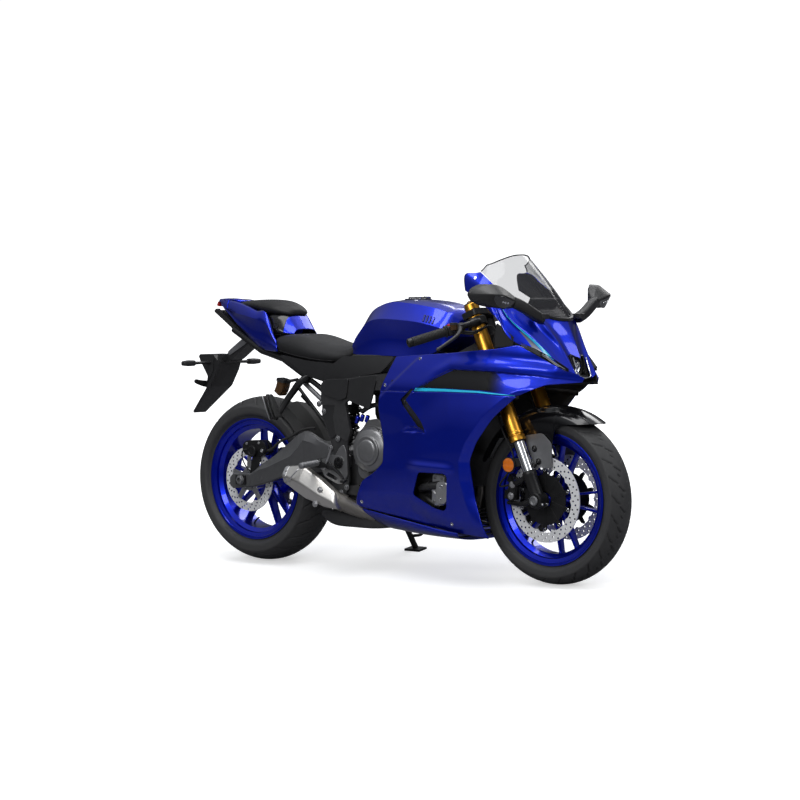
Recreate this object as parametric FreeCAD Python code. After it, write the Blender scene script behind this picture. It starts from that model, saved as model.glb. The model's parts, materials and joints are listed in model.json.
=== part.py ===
"""A middleweight sport bike with a full fairing, leaning on its side stand.

The pieces are drawn with the bike upright: X runs forward from the rear
axle, Y to the rider's left and Z up from the road. The last section leans
the whole bike over to its left and sets it on the floor.
"""
import FreeCAD, Part
import math
import os
from FreeCAD import Placement, Rotation, Vector

# Driving dimensions, in millimetres and degrees
WHEELBASE = 1395.0
LEAN = 10.0
RAKE = 23.7
TRAIL = 90.0

FRONT_TYRE_RADIUS = 300.0
FRONT_TYRE_WIDTH = 120.0
FRONT_CROWN = 28.0
FRONT_RIM_WIDTH = 88.9
REAR_TYRE_RADIUS = 315.0
REAR_TYRE_WIDTH = 180.0
REAR_CROWN = 36.0
REAR_RIM_WIDTH = 139.7
TYRE_WALL = 9.0
RIM_SEAT = 215.9
RIM_FLANGE = 232.0
RIM_LIP = 5.5
RIM_WALL = 7.0
SPOKE_PAIRS = 5
SPOKE_PAIR_GAP = 73.0
SPOKE_WIDTH = 12.0
FRONT_SPOKE_TURN = 19.0
REAR_SPOKE_TURN = 6.0

AXLE_RADIUS = 12.5
AXLE_BORE = 8.0
FRONT_HUB_RADIUS = 36.0
FRONT_HUB_HALF = 57.0
REAR_HUB_RADIUS = 42.0
REAR_HUB_RIGHT = 95.2
REAR_HUB_LEFT = 112.0

FRONT_DISC_RADIUS = 149.0
FRONT_DISC_INNER = 112.0
FRONT_DISC_MIDDLE = 68.0
DISC_THICKNESS = 4.6
REAR_DISC_RADIUS = 122.5
REAR_DISC_INNER = 88.0
REAR_DISC_MIDDLE = 98.0
PAD_GAP = 0.9

CHAIN_PITCH = 15.875
CHAIN_LINE = 105.0
CHAIN_WIDTH = 17.0
CHAIN_PLATE = 14.0
REAR_TEETH = 42
FRONT_TEETH = 16
OUTPUT_SHAFT = (592.0, 392.0)

FORK_SPACING = 210.0
FORK_OUTER_RADIUS = 27.0
FORK_INNER_RADIUS = 20.5
FORK_FOOT_RADIUS = 24.0
FORK_FOOT_TOP = 106.0
FORK_OUTER_BOTTOM = 219.0
FORK_TOP = 735.0
LOWER_CLAMP = (470.0, 505.0)
UPPER_CLAMP = (690.0, 712.0)
STEM_RADIUS = 15.0
HEAD_TUBE_RADIUS = 30.0

ARM_INNER = 116.0
ARM_OUTER = 142.0
PLATE_INNER = 144.3
PLATE_OUTER = 152.0
PIVOT = (514.0, 399.0)
PIVOT_RADIUS = 24.0
SPOOL_AT = (98.0, 326.0)
SPOOL_RADIUS = 4.0
SPOOL_DEPTH = 18.0
COLLECTOR_RADIUS = 24.0

PANEL_WALL = 3.5
SCREEN_WALL = 3.0
SEAT_GAP = 0.3
RUNNING_GAP = 0.05

CAP_CENTRE = 768.0
CAP_RADIUS = 36.0
CAP_HINGE_RADIUS = 3.0

STAND_PIVOT = Vector(482.0, 160.0, 283.0)
STAND_FOOT = Vector(520.0, 268.0, 54.0)
STAND_FOLDED = Vector(-265.0, 34.0, 8.0)
STAND_RADIUS = 11.0
STAND_BOSS = 16.0
STAND_BOLT = 6.0

# Where the axles and the steering axis stand, worked out from the sizes above
REAR_AXLE = Vector(0, 0, REAR_TYRE_RADIUS)
FRONT_AXLE = Vector(WHEELBASE, 0, FRONT_TYRE_RADIUS)
STEER_GROUND = Vector(WHEELBASE + TRAIL, 0, 0)
STEER_TURN = Rotation(Vector(0, 1, 0), -RAKE)
TO_FORK = Placement(STEER_GROUND, STEER_TURN)
AXLE_IN_FORK = TO_FORK.inverse().multVec(FRONT_AXLE)
FORK_OFFSET = AXLE_IN_FORK.x
AXLE_HEIGHT = AXLE_IN_FORK.z
LEG = FORK_SPACING / 2
ACROSS = Vector(0, 1, 0)


# Shape helpers
def direction(start, end):
    """The unit vector from start to end."""
    way = end - start
    return way / way.Length


def rounded_wire(points, radii, closed=True):
    """Straight runs between points, each corner rounded by a tangent arc of its own radius."""
    count = len(points)
    arcs = {}
    for i, corner in enumerate(points):
        radius = radii[i] if isinstance(radii, list) else radii
        if not closed and i in (0, count - 1):
            continue
        before = points[i - 1]
        after = points[(i + 1) % count]
        back = direction(corner, before)
        ahead = direction(corner, after)
        half = back.getAngle(ahead) / 2
        if radius <= 0 or half > 1.5705:
            continue
        shortest = min((before - corner).Length, (after - corner).Length)
        reach = min(radius / math.tan(half), 0.45 * shortest)
        bend = reach * math.tan(half)
        middle = direction(Vector(0, 0, 0), back + ahead) * (bend / math.sin(half) - bend)
        arcs[i] = (corner + back * reach, corner + middle, corner + ahead * reach)
    edges = []
    for i in range(count):
        if i in arcs:
            edges.append(Part.Arc(*arcs[i]).toShape())
        if i == count - 1 and not closed:
            break
        following = (i + 1) % count
        start = arcs[i][2] if i in arcs else points[i]
        end = arcs[following][0] if following in arcs else points[following]
        if (end - start).Length > 0.001:
            edges.append(Part.LineSegment(start, end).toShape())
    return Part.Wire(edges)


def side_prism(outline, y_start, y_end, radius=0.0):
    """A flat outline of (x, z) pairs seen from the side, carried across the bike."""
    corners = [Vector(x, y_start, z) for x, z in outline]
    face = Part.Face(rounded_wire(corners, radius))
    return face.extrude(Vector(0, y_end - y_start, 0))


def plan_prism(outline, z_start, z_end, radius=0.0):
    """A flat outline of (x, y) pairs seen from above, carried upwards."""
    corners = [Vector(x, y, z_start) for x, y in outline]
    face = Part.Face(rounded_wire(corners, radius))
    return face.extrude(Vector(0, 0, z_end - z_start))


def rod(start, end, radius):
    """A round bar between two points."""
    return Part.makeCylinder(radius, (end - start).Length, start, end - start)


def ring(centre, axis, outer, inner, length):
    """A tube that starts at centre and runs along axis."""
    solid = Part.makeCylinder(outer, length, centre, axis)
    return solid.cut(Part.makeCylinder(inner, length, centre, axis))


def tube(points, radius, bend):
    """A round bar bent along straight runs joined by tangent arcs."""
    path = rounded_wire(points, bend, closed=False)
    circle = Part.Wire(Part.makeCircle(radius, points[0], direction(points[0], points[1])))
    return path.makePipeShell([circle], True, True)


def turned(profile, axle, start=0.0, sweep=360.0):
    """A profile of wires or edges in the plane above the axle, turned about it."""
    face = Part.Face(profile)
    face.rotate(Vector(0, 0, 0), ACROSS, start)
    face.translate(axle)
    return face.revolve(axle, ACROSS, sweep)


def around_axle(points, radius=0.0):
    """A closed wire of (y, r) pairs, r above the axle and y across."""
    return rounded_wire([Vector(0, y, r) for y, r in points], radius)


def loft(sections, radii=None):
    """A solid through closed sections: straight between polygons, smooth between rounded ones."""
    if radii is None:
        return Part.makeLoft([Part.makePolygon(points + [points[0]]) for points in sections], True, True)
    return Part.makeLoft([rounded_wire(points, radii) for points in sections], True, False)


def evened(points, count):
    """As many points, evenly spaced along the smooth curve through the given ones."""
    curve = Part.BSplineCurve()
    curve.interpolate(points)
    return curve.discretize(count)


def surface_through(rows):
    """A smooth surface through a grid of points."""
    surface = Part.BSplineSurface()
    surface.interpolate(rows)
    return surface


def even_grid(rows, count_along, count_across):
    """A grid with evenly spaced points on the smooth curves through another grid."""
    wide = [evened(row, count_across) for row in rows]
    columns = [evened([row[j] for row in wide], count_along) for j in range(count_across)]
    return [[column[i] for column in columns] for i in range(count_along)]


def slab(rows, wall):
    """A wall of even thickness behind a smooth surface through a grid of points."""
    last_row = len(rows) - 1
    last = len(rows[0]) - 1
    behind = []
    for i, row in enumerate(rows):
        line = []
        for j, point in enumerate(row):
            along = rows[min(i + 1, last_row)][j] - rows[max(i - 1, 0)][j]
            across = row[min(j + 1, last)] - row[max(j - 1, 0)]
            normal = along.cross(across)
            line.append(point - normal / normal.Length * wall)
        behind.append(line)
    front = surface_through(rows)
    back = surface_through(behind)
    faces = [front.toShape(), back.toShape()]
    for low_high in (0, 1):
        faces.append(Part.makeRuledSurface(front.uIso(low_high).toShape(), back.uIso(low_high).toShape()))
        faces.append(Part.makeRuledSurface(front.vIso(low_high).toShape(), back.vIso(low_high).toShape()))
    shell = Part.makeShell(faces)
    shell.sewShape()
    solid = Part.makeSolid(shell)
    if solid.Volume < 0:
        solid.reverse()
    return solid


def smooth(pairs, t):
    """The value at t of a smooth curve through (t, value) pairs, without overshoot."""
    if t <= pairs[0][0]:
        return pairs[0][1]
    if t >= pairs[-1][0]:
        return pairs[-1][1]
    slopes = []
    for (a, va), (b, vb) in zip(pairs, pairs[1:]):
        slopes.append((vb - va) / (b - a))
    tangents = [slopes[0]]
    for left, right in zip(slopes, slopes[1:]):
        tangents.append(2 * left * right / (left + right) if left * right > 0 else 0.0)
    tangents.append(slopes[-1])
    for i, ((a, va), (b, vb)) in enumerate(zip(pairs, pairs[1:])):
        if t <= b:
            span = b - a
            s = (t - a) / span
            start = (1 + 2 * s) * (1 - s) ** 2 * va + s * (1 - s) ** 2 * span * tangents[i]
            return start + s * s * (3 - 2 * s) * vb + s * s * (s - 1) * span * tangents[i + 1]


def mirrored(shape):
    """The same shape on the other side of the bike."""
    return shape.mirror(Vector(0, 0, 0), ACROSS)


def both_sides(shape):
    """A shape and its mirror image, as two solids of one piece."""
    return Part.makeCompound([shape, mirrored(shape)])


def fuse(first, *others):
    """One solid from several that touch."""
    return first.fuse(list(others)).removeSplitter()


def mirror_rows(half):
    """A grid from side to side, from one that starts at the middle of the bike."""
    return [[Vector(p.x, -p.y, p.z) for p in reversed(row[1:])] + row for row in half]


# Wheels
def tyre(radius, width, crown, rim_width, axle):
    """A tubeless tyre: round tread, bulging sidewalls and beads inside the flanges."""
    half = width / 2
    edge = 0.985 * half
    shoulder = radius - crown
    bead = rim_width / 2 - SEAT_GAP
    seat = RIM_SEAT + SEAT_GAP
    flange = RIM_FLANGE + 2 * SEAT_GAP
    inner_edge = edge - TYRE_WALL
    points = [
        (bead - 10, seat),
        (bead, seat),
        (bead, flange),
        (half - 2.5, flange + 0.45 * (shoulder - flange)),
        (edge, shoulder),
    ]

    def at(y, r):
        return Vector(0, y, r)

    def half_outline(side):
        heel = [at(side * y, r) for y, r in points]
        wall = [at(side * inner_edge, shoulder - 2), at(side * (half - TYRE_WALL - 4), 250),
                at(side * (bead - 8), 233)]
        outside = [Part.LineSegment(heel[0], heel[1]), Part.LineSegment(heel[1], heel[2])]
        outside.append(Part.Arc(heel[2], heel[3], heel[4]))
        inside = [Part.Arc(*wall), Part.LineSegment(wall[2], heel[0])]
        return outside + inside

    tread = Part.Arc(at(-edge, shoulder), at(0, radius), at(edge, shoulder))
    lining = Part.Arc(at(-inner_edge, shoulder - 2), at(0, radius - TYRE_WALL), at(inner_edge, shoulder - 2))
    parts = half_outline(1) + half_outline(-1) + [tread, lining]
    edges = Part.sortEdges([piece.toShape() for piece in parts])[0]
    return turned(Part.Wire(edges), axle)


def rim(rim_width, hub, spoke_hub_depth, spoke_rim_depth, axle, first_turn):
    """A cast wheel: a rim with a drop centre, five pairs of thin spokes and a hub."""
    half = rim_width / 2
    well = half - 24
    outline = [
        (half + RIM_LIP, RIM_FLANGE),
        (half, RIM_FLANGE - 1),
        (half, RIM_SEAT),
        (half - 14, RIM_SEAT - 1.5),
        (well, RIM_SEAT - 19),
    ]
    under = [
        (well, RIM_SEAT - 19 - RIM_WALL),
        (half - 12, RIM_SEAT - 2 - RIM_WALL),
        (half, RIM_SEAT - 1 - RIM_WALL),
        (half + RIM_LIP, RIM_FLANGE - 8),
    ]
    right = [(-y, r) for y, r in reversed(outline)]
    right_under = [(-y, r) for y, r in reversed(under)]
    barrel = turned(around_axle(outline + right + right_under + under), axle)
    pieces = [hub]
    reach = RIM_SEAT - 19 - RIM_WALL / 2
    for pair in range(SPOKE_PAIRS):
        for side in (-1, 1):
            sections = []
            for height, offset, depth in (
                (28.0, 9.0 * side, spoke_hub_depth),
                (reach, SPOKE_PAIR_GAP / 2 * side, spoke_rim_depth),
            ):
                sections.append(spoke_section(height, offset, depth))
            spoke = loft(sections)
            spoke.rotate(Vector(0, 0, 0), ACROSS, first_turn + 360.0 / SPOKE_PAIRS * pair)
            spoke.translate(axle)
            pieces.append(spoke)
    return fuse(barrel, *pieces)


def spoke_section(height, offset, depth):
    """A bevelled rectangle across a spoke."""
    wide = SPOKE_WIDTH / 2
    deep = depth / 2
    bevel = 3.0
    pairs = [
        (wide, deep - bevel), (wide - bevel, deep), (bevel - wide, deep), (-wide, deep - bevel),
        (-wide, bevel - deep), (bevel - wide, -deep), (wide - bevel, -deep), (wide, bevel - deep),
    ]
    return [Vector(offset + x, y, height) for x, y in pairs]


def front_hub():
    """A plain tube with a running fit on the axle."""
    start = FRONT_AXLE - ACROSS * FRONT_HUB_HALF
    return ring(start, ACROSS, FRONT_HUB_RADIUS, AXLE_RADIUS + RUNNING_GAP, 2 * FRONT_HUB_HALF)


def rear_hub():
    """The hub, wider on the left, where the sprocket's carrier is."""
    bore = AXLE_RADIUS + RUNNING_GAP
    core = ring(REAR_AXLE - ACROSS * REAR_HUB_RIGHT, ACROSS, REAR_HUB_RADIUS, bore, REAR_HUB_RIGHT + 60)
    carrier = ring(REAR_AXLE + ACROSS * 60, ACROSS, 68.0, bore, CHAIN_LINE - 4 - 60)
    neck = ring(REAR_AXLE + ACROSS * 60, ACROSS, 26.0, bore, REAR_HUB_LEFT - 60)
    return core.fuse([carrier, neck])


def brake_disc(axle, middle, outer, inner, seat_inner, seat_outer, seat, arms):
    """A rotor on a carrier with open arms; seat is the hub's face, across the bike."""
    side = 1 if middle > 0 else -1
    thin = DISC_THICKNESS / 2
    rotor = ring(axle + ACROSS * (middle - thin), ACROSS, outer, inner, 2 * thin)
    near = min(seat, middle + side * thin)
    far = max(seat, middle + side * thin)
    flange = ring(axle + ACROSS * near, ACROSS, seat_outer, seat_inner, far - near)
    pieces = [flange]
    for arm in range(arms):
        blade = Part.makeBox(16, 2 * thin, inner + 3 - seat_outer + 4, Vector(-8, middle - thin, seat_outer - 4))
        blade.rotate(Vector(0, 0, 0), ACROSS, 360.0 / arms * arm)
        blade.translate(axle)
        pieces.append(blade)
    return fuse(rotor, *pieces)


def front_discs():
    """The two front discs, each bolted to one end of the hub."""
    seat = FRONT_HUB_HALF + SEAT_GAP
    left = brake_disc(
        FRONT_AXLE, FRONT_DISC_MIDDLE, FRONT_DISC_RADIUS, FRONT_DISC_INNER,
        FRONT_HUB_RADIUS - 12, FRONT_HUB_RADIUS + 14, seat, 10,
    )
    return both_sides(left)


def rear_disc():
    """The rear disc, on the hub's right end."""
    return brake_disc(
        REAR_AXLE, -REAR_DISC_MIDDLE, REAR_DISC_RADIUS, REAR_DISC_INNER,
        AXLE_RADIUS + 12, REAR_HUB_RADIUS, -REAR_HUB_RIGHT - SEAT_GAP, 5,
    )


def pitch_radius(teeth):
    """Where the chain's pins run round a sprocket."""
    return CHAIN_PITCH / 2 / math.sin(math.pi / teeth)


def rear_sprocket():
    """A toothed ring that stays just inside the chain's rollers, so it turns freely."""
    tip = pitch_radius(REAR_TEETH) - CHAIN_PITCH * 0.35
    root = tip - 6
    points = []
    for tooth in range(REAR_TEETH):
        for share, radius in ((0.0, root), (0.3, root), (0.5, tip), (0.8, tip)):
            angle = 2 * math.pi * (tooth + share) / REAR_TEETH
            points.append(Vector(radius * math.cos(angle), 0, radius * math.sin(angle)))
    teeth = Part.Face(Part.makePolygon(points + [points[0]])).extrude(Vector(0, 7, 0))
    bore = Part.makeCylinder(27, 7, Vector(0, 0, 0), ACROSS)
    windows = []
    for k in range(6):
        window = Part.makeCylinder(12, 7, Vector(82, 0, 0), ACROSS)
        window.rotate(Vector(0, 0, 0), ACROSS, 60 * k)
        windows.append(window)
    plate = teeth.cut([bore] + windows)
    plate.translate(REAR_AXLE + ACROSS * (CHAIN_LINE - 3.5))
    return plate


# Chain and swingarm
def belt_loop(grow, low, high):
    """The chain's closed path, offset outwards by grow, as a solid from low to high across."""
    rear = Vector(0, 0, REAR_TYRE_RADIUS)
    front = Vector(OUTPUT_SHAFT[0], 0, OUTPUT_SHAFT[1])
    big = pitch_radius(REAR_TEETH) + grow
    small = pitch_radius(FRONT_TEETH) + grow
    line = front - rear
    tilt = math.atan2(line.z, line.x)
    spread = math.acos((big - small) / line.Length)

    def at(centre, radius, angle):
        return Vector(centre.x + radius * math.cos(angle), low, centre.z + radius * math.sin(angle))

    up = tilt + spread
    down = tilt - spread
    edges = [
        Part.Arc(at(rear, big, up), at(rear, big, tilt + math.pi), at(rear, big, down)).toShape(),
        Part.LineSegment(at(rear, big, down), at(front, small, down)).toShape(),
        Part.Arc(at(front, small, down), at(front, small, tilt), at(front, small, up)).toShape(),
        Part.LineSegment(at(front, small, up), at(rear, big, up)).toShape(),
    ]
    return Part.Face(Part.Wire(edges)).extrude(Vector(0, high - low, 0))


def drive_chain():
    """The chain as one loop: a band of rollers between two bands of side plates."""
    half = CHAIN_PLATE / 2
    roller = 5.1
    low = CHAIN_LINE - CHAIN_WIDTH / 2
    high = CHAIN_LINE + CHAIN_WIDTH / 2
    plates = belt_loop(half, low, high).cut(belt_loop(-half, low, high))
    groove_low = CHAIN_LINE - 4.4
    groove_high = CHAIN_LINE + 4.4
    inner = belt_loop(-roller, groove_low, groove_high).cut(belt_loop(-half - 1, groove_low, groove_high))
    outer = belt_loop(half + 1, groove_low, groove_high).cut(belt_loop(roller, groove_low, groove_high))
    return plates.cut([inner, outer])


ARM_OUTLINE = [
    (-62, 335), (-60, 281), (80, 284), (188, 330), (330, 352), (480, 368), (540, 384),
    (542, 424), (500, 446), (400, 478), (330, 504), (290, 500), (165, 436), (40, 348),
]
BRACE_OUTLINE = [(345, 372), (480, 378), (500, 400), (480, 440), (400, 470), (345, 470)]


def spool_point(side):
    """Where the paddock stand's screw enters the arm."""
    return Vector(SPOOL_AT[0], side * (ARM_OUTER + 2), SPOOL_AT[1])


def swingarm():
    """Two box arms joined ahead of the tyre, with bosses for the axle, the pivot and the stand screws."""
    arm = side_prism(ARM_OUTLINE, ARM_INNER, ARM_OUTER, 14)
    window = side_prism([(120, 330), (200, 352), (215, 405), (180, 400)], ARM_INNER, ARM_OUTER, 6)
    pivot = Vector(PIVOT[0], 0, PIVOT[1])
    boss = rod(pivot + ACROSS * (ARM_INNER - 20), pivot + ACROSS * (PLATE_INNER - SEAT_GAP), PIVOT_RADIUS)
    left_boss = rod(REAR_AXLE + ACROSS * (REAR_HUB_LEFT + SEAT_GAP), REAR_AXLE + ACROSS * ARM_INNER, 18)
    right_boss = rod(REAR_AXLE - ACROSS * ARM_INNER,
                     REAR_AXLE - ACROSS * (REAR_HUB_RIGHT + DISC_THICKNESS + 3), 18)
    brace = side_prism(BRACE_OUTLINE, -ARM_INNER, ARM_INNER, 14)
    left = arm.cut(window).fuse([boss, left_boss])
    right = mirrored(arm.cut(window)).fuse([mirrored(boss), right_boss])
    pads = [rod(spool_point(side), spool_point(side) - ACROSS * side * 12, 13) for side in (-1, 1)]
    holes = [rod(spool_point(side), spool_point(side) - ACROSS * side * SPOOL_DEPTH, SPOOL_RADIUS)
             for side in (-1, 1)]
    body = fuse(left, right, brace, *pads)
    chain_room = side_prism([(330, 340), (520, 350), (520, 460), (330, 460)], 94, ARM_INNER)
    bore = rod(REAR_AXLE - ACROSS * 160, REAR_AXLE + ACROSS * 160, AXLE_RADIUS + RUNNING_GAP)
    shock_room = side_prism([(335, 360), (440, 360), (440, 480), (335, 480)], -32, 32)
    return body.cut([chain_room, bore, shock_room] + holes)


def rear_axle():
    """A hollow axle with a nut and adjuster plate at each end."""
    reach = ARM_OUTER + 16
    shaft = rod(REAR_AXLE - ACROSS * reach, REAR_AXLE + ACROSS * reach, AXLE_RADIUS)
    plates = []
    for side in (-1, 1):
        start = min(side * (ARM_OUTER + SEAT_GAP), side * (ARM_OUTER + 8))
        outline = [(-26, 297), (26, 297), (26, 333), (-26, 333)]
        plates.append(side_prism(outline, start, start + 8 - SEAT_GAP, 4))
    hole = rod(REAR_AXLE - ACROSS * reach, REAR_AXLE + ACROSS * reach, AXLE_BORE)
    return fuse(shaft, *plates).cut(hole)


def side_stand_lug():
    """The lug on the left frame plate and the bolt that carry the side stand."""
    axis = stand_axis()
    lug = rod(STAND_PIVOT - axis * 25, STAND_PIVOT, 13)
    bolt = rod(STAND_PIVOT, STAND_PIVOT + axis * (STAND_BOSS + 2 * SEAT_GAP), STAND_BOLT)
    head = rod(STAND_PIVOT + axis * (STAND_BOSS + 2 * SEAT_GAP), STAND_PIVOT + axis * (STAND_BOSS + 6), 10)
    return lug.fuse([bolt, head])


# Frame and engine
PLATE_OUTLINE = [
    (429, 693), (600, 716), (640, 690), (628, 652), (545, 622), (572, 510), (552, 468),
    (560, 336), (540, 272), (470, 262), (462, 300), (486, 345), (492, 422), (470, 478), (428, 565),
]
SPAR_SECTIONS = [
    (1132, 30, 822, 36, 96), (1080, 66, 786, 34, 92), (1000, 118, 746, 28, 74),
    (820, 158, 706, 22, 60), (600, 158, 690, 14, 54),
]


def box_section(x, y, z, wide, high):
    """A rectangle across the bike."""
    return [
        Vector(x, y - wide / 2, z - high / 2), Vector(x, y + wide / 2, z - high / 2),
        Vector(x, y + wide / 2, z + high / 2), Vector(x, y - wide / 2, z + high / 2),
    ]


def head_point(height):
    """A point on the steering axis, height along it above the road."""
    return TO_FORK.multVec(Vector(0, 0, height))


def main_frame():
    """Head tube, two spars and the plates that carry the swingarm."""
    low = AXLE_HEIGHT + LOWER_CLAMP[1] + SEAT_GAP
    high = AXLE_HEIGHT + UPPER_CLAMP[0] - SEAT_GAP
    up = STEER_TURN.multVec(Vector(0, 0, 1))
    head = Part.makeCylinder(HEAD_TUBE_RADIUS, high - low, head_point(low), up)
    bore = Part.makeCylinder(STEM_RADIUS + RUNNING_GAP, high - low + 40, head_point(low - 20), up)
    spar = loft([box_section(*section) for section in SPAR_SECTIONS])
    plate = side_prism(PLATE_OUTLINE, PLATE_INNER, PLATE_OUTER + 6, 12)
    thin = side_prism([(400, 200), (660, 200), (660, 610), (400, 610)], PLATE_OUTER, PLATE_OUTER + 8)
    plate = plate.cut(thin)
    lower_tie = rod(Vector(520, -PLATE_INNER - 2, 292), Vector(520, PLATE_INNER + 2, 292), 14)
    upper_tie = rod(Vector(470, -PLATE_INNER - 2, 655), Vector(470, PLATE_INNER + 2, 655), 16)
    body = fuse(head, spar, mirrored(spar), plate, mirrored(plate), lower_tie, upper_tie, side_stand_lug())
    return body.cut(bore)


def engine_block():
    """Crankcase and forward-leaning cylinders, as one closed mass."""
    crankcase = side_prism(
        [(578, 330), (600, 262), (660, 226), (900, 226), (975, 270), (985, 400), (960, 470), (760, 512),
         (620, 500), (584, 440)], -132, 132, 16)
    cylinders = side_prism(
        [(770, 470), (960, 430), (992, 560), (975, 655), (850, 690), (790, 640)], -118, 118, 14)
    reach = PLATE_INNER - SEAT_GAP
    foot = side_prism([(536, 286), (604, 280), (604, 322), (536, 314)], -reach, reach, 10)
    ears = [side_prism([(872, 640), (930, 640), (922, 722), (884, 722)], side * 96, side * 140, 8)
            for side in (-1, 1)]
    chain_room = belt_loop(CHAIN_PLATE / 2 + 4, CHAIN_LINE - 14, 140)
    return fuse(crankcase, cylinders, foot, *ears).cut(chain_room)


def cover(centre, radius, start, depth, side):
    """A domed cover on the crankcase: a flange and a smaller round cap."""
    wall = [(0, start), (radius, start), (radius, start + 9), (radius - 10, start + 14),
            (radius - 14, start + depth - 6), (radius - 24, start + depth), (0, start + depth)]
    profile = rounded_wire([Vector(r, y, 0) for r, y in wall], 0)
    dome = Part.Face(profile).revolve(Vector(0, 0, 0), ACROSS, 360)
    dome.translate(Vector(centre[0], 0, centre[1]))
    return dome if side > 0 else mirrored(dome)


def engine_covers():
    """Clutch and pump covers on the right, generator and sprocket covers on the left."""
    clutch = cover((672, 456), 84, 132, 46, -1)
    lobe = side_prism([(600, 372), (745, 372), (735, 430), (610, 430)], -141, -132, 12)
    generator = cover((790, 410), 78, 132, 40, 1)
    sprocket_cover = side_prism(
        [(560, 350), (640, 350), (660, 400), (640, 450), (560, 446)], 132, 152, 10)
    sprocket_cover = sprocket_cover.cut(belt_loop(CHAIN_PLATE / 2 + 3, 90, 120))
    pump = side_prism([(968, 268), (1012, 268), (1018, 372), (972, 376)], -166, -132, 8)
    return Part.makeCompound([fuse(clutch, lobe), generator, sprocket_cover, pump])


def radiator():
    """A core between two side tanks, leaning forward at the top."""
    lean = 9.0
    core = Part.makeBox(26, 260, 250, Vector(-13, -130, 0))
    frames = [Part.makeBox(34, 18, 262, Vector(-17, side * 139 - 9, -6)) for side in (-1, 1)]
    body = fuse(core, *frames)
    body.rotate(Vector(0, 0, 0), ACROSS, lean)
    body.translate(Vector(1042, 0, 330))
    brackets = [rod(Vector(984, side * 92, 556), Vector(1066, side * 92, 556), 7) for side in (-1, 1)]
    return fuse(body, *brackets)


HEADER = [(968, 48, 590), (1004, 50, 566), (1006, 50, 300), (985, 46, 202), (900, 30, 199), (800, 20, 199)]


COLLECTOR = [(830, 0, 199), (740, -8, 199), (660, -70, 202), (590, -126, 222), (530, -188, 266)]


def collector_pipe(radius):
    """The pipe from the headers' joint to the muffler."""
    return tube([Vector(*point) for point in COLLECTOR], radius, 40)


def exhaust_pipes():
    """Two header pipes that join under the engine and lead to the muffler on the right."""
    headers = []
    for side in (-1, 1):
        points = [Vector(x, side * y, z) for x, y, z in HEADER]
        headers.append(tube(points, 18, 34))
    return fuse(collector_pipe(COLLECTOR_RADIUS), *headers)


MUFFLER_SECTIONS = [
    (286, [(-206, 379), (-226, 356), (-214, 331), (-174, 327), (-160, 350), (-172, 378)]),
    (384, [(-202, 390), (-232, 334), (-215, 272), (-172, 264), (-159, 330), (-170, 388)]),
    (505, [(-202, 325), (-231, 276), (-215, 236), (-172, 232), (-159, 276), (-170, 322)]),
    (548, [(-204, 300), (-222, 268), (-208, 238), (-176, 236), (-162, 266), (-172, 298)]),
]


def muffler():
    """A short faceted silencer beside the swingarm."""
    sections = [[Vector(x, y, z) for y, z in points] for x, points in MUFFLER_SECTIONS]
    body = loft(sections)
    outlet = rod(Vector(276, -188, 352), Vector(330, -188, 352), 17)
    return body.fuse(outlet).cut(rod(Vector(270, -188, 352), Vector(320, -188, 352), 14))


# Fairing: half widths of the bodywork at some heights, each as (x, half width) pairs
FAIRING_WIDTHS = {
    140: [(600, 112), (900, 146), (1215, 166)],
    200: [(600, 138), (900, 164), (1215, 178)],
    260: [(600, 158), (900, 178), (1215, 188)],
    400: [(640, 170), (900, 196), (1160, 206)],
    500: [(740, 178), (950, 203), (1191, 212)],
    600: [(730, 184), (1000, 208), (1270, 214)],
    680: [(740, 186), (1000, 206), (1250, 204), (1357, 187), (1440, 144), (1552, 48)],
    740: [(760, 176), (1000, 194), (1200, 190), (1344, 162), (1440, 116), (1545, 38)],
    830: [(790, 150), (925, 160), (1100, 170), (1250, 166), (1344, 150), (1460, 96)],
}
SKIN_X = [585, 690, 800, 910, 1020, 1130, 1230, 1330, 1420, 1490, 1552]
SKIN_Z = [140, 200, 260, 330, 400, 500, 600, 680, 740, 785, 840]
UPPER_OUTLINE = [
    (737, 669), (796, 792), (925, 801), (1050, 806), (1180, 817), (1262, 823), (1344, 836),
    (1440, 788), (1500, 752), (1546, 722), (1540, 708), (1443, 700), (1357, 660), (1200, 668),
    (1050, 670), (900, 669),
]
LOWER_OUTLINE = [
    (738, 668), (731, 606), (750, 483), (749, 409), (700, 372), (636, 341), (594, 266),
    (590, 244), (1041, 176),
    (1215, 160), (1170, 301), (1157, 429), (1191, 496), (1260, 578), (1355, 659),
    (1200, 667.5), (1050, 669.5), (900, 668.5),
]
SIDE_WINDOW = [(927, 384), (1050, 384), (1062, 372), (1046, 262), (1034, 250), (985, 258), (892, 302)]
VENT_SLOT = [(915, 680), (900, 680), (846, 640), (856, 621), (928, 548), (968, 528), (948, 560), (872, 640)]


def half_width(x, z):
    """How far the bodywork stands from the middle of the bike."""
    column = [(height, smooth(pairs, x)) for height, pairs in FAIRING_WIDTHS.items()]
    return smooth(column, z)


def fairing_skin():
    """The whole left side of the bodywork, before it is cut to its panels."""
    rows = [[Vector(x, half_width(x, z), z) for z in SKIN_Z] for x in SKIN_X]
    return slab(rows, -PANEL_WALL)


def fairing_panels(skin):
    """The upper and lower panels of one side, with the window and the vent slot."""
    upper = skin.common(side_prism(UPPER_OUTLINE, 10, 260, 12))
    lower = skin.common(side_prism(LOWER_OUTLINE, 90, 260, 14))
    window = side_prism(SIDE_WINDOW, 90, 260, 10)
    slot = side_prism(VENT_SLOT, 90, 260, 3)
    return upper.cut(slot), lower.cut([window, slot])


STAYS = [(800, 150, 704, 186), (940, 112, 470, 210)]


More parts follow.
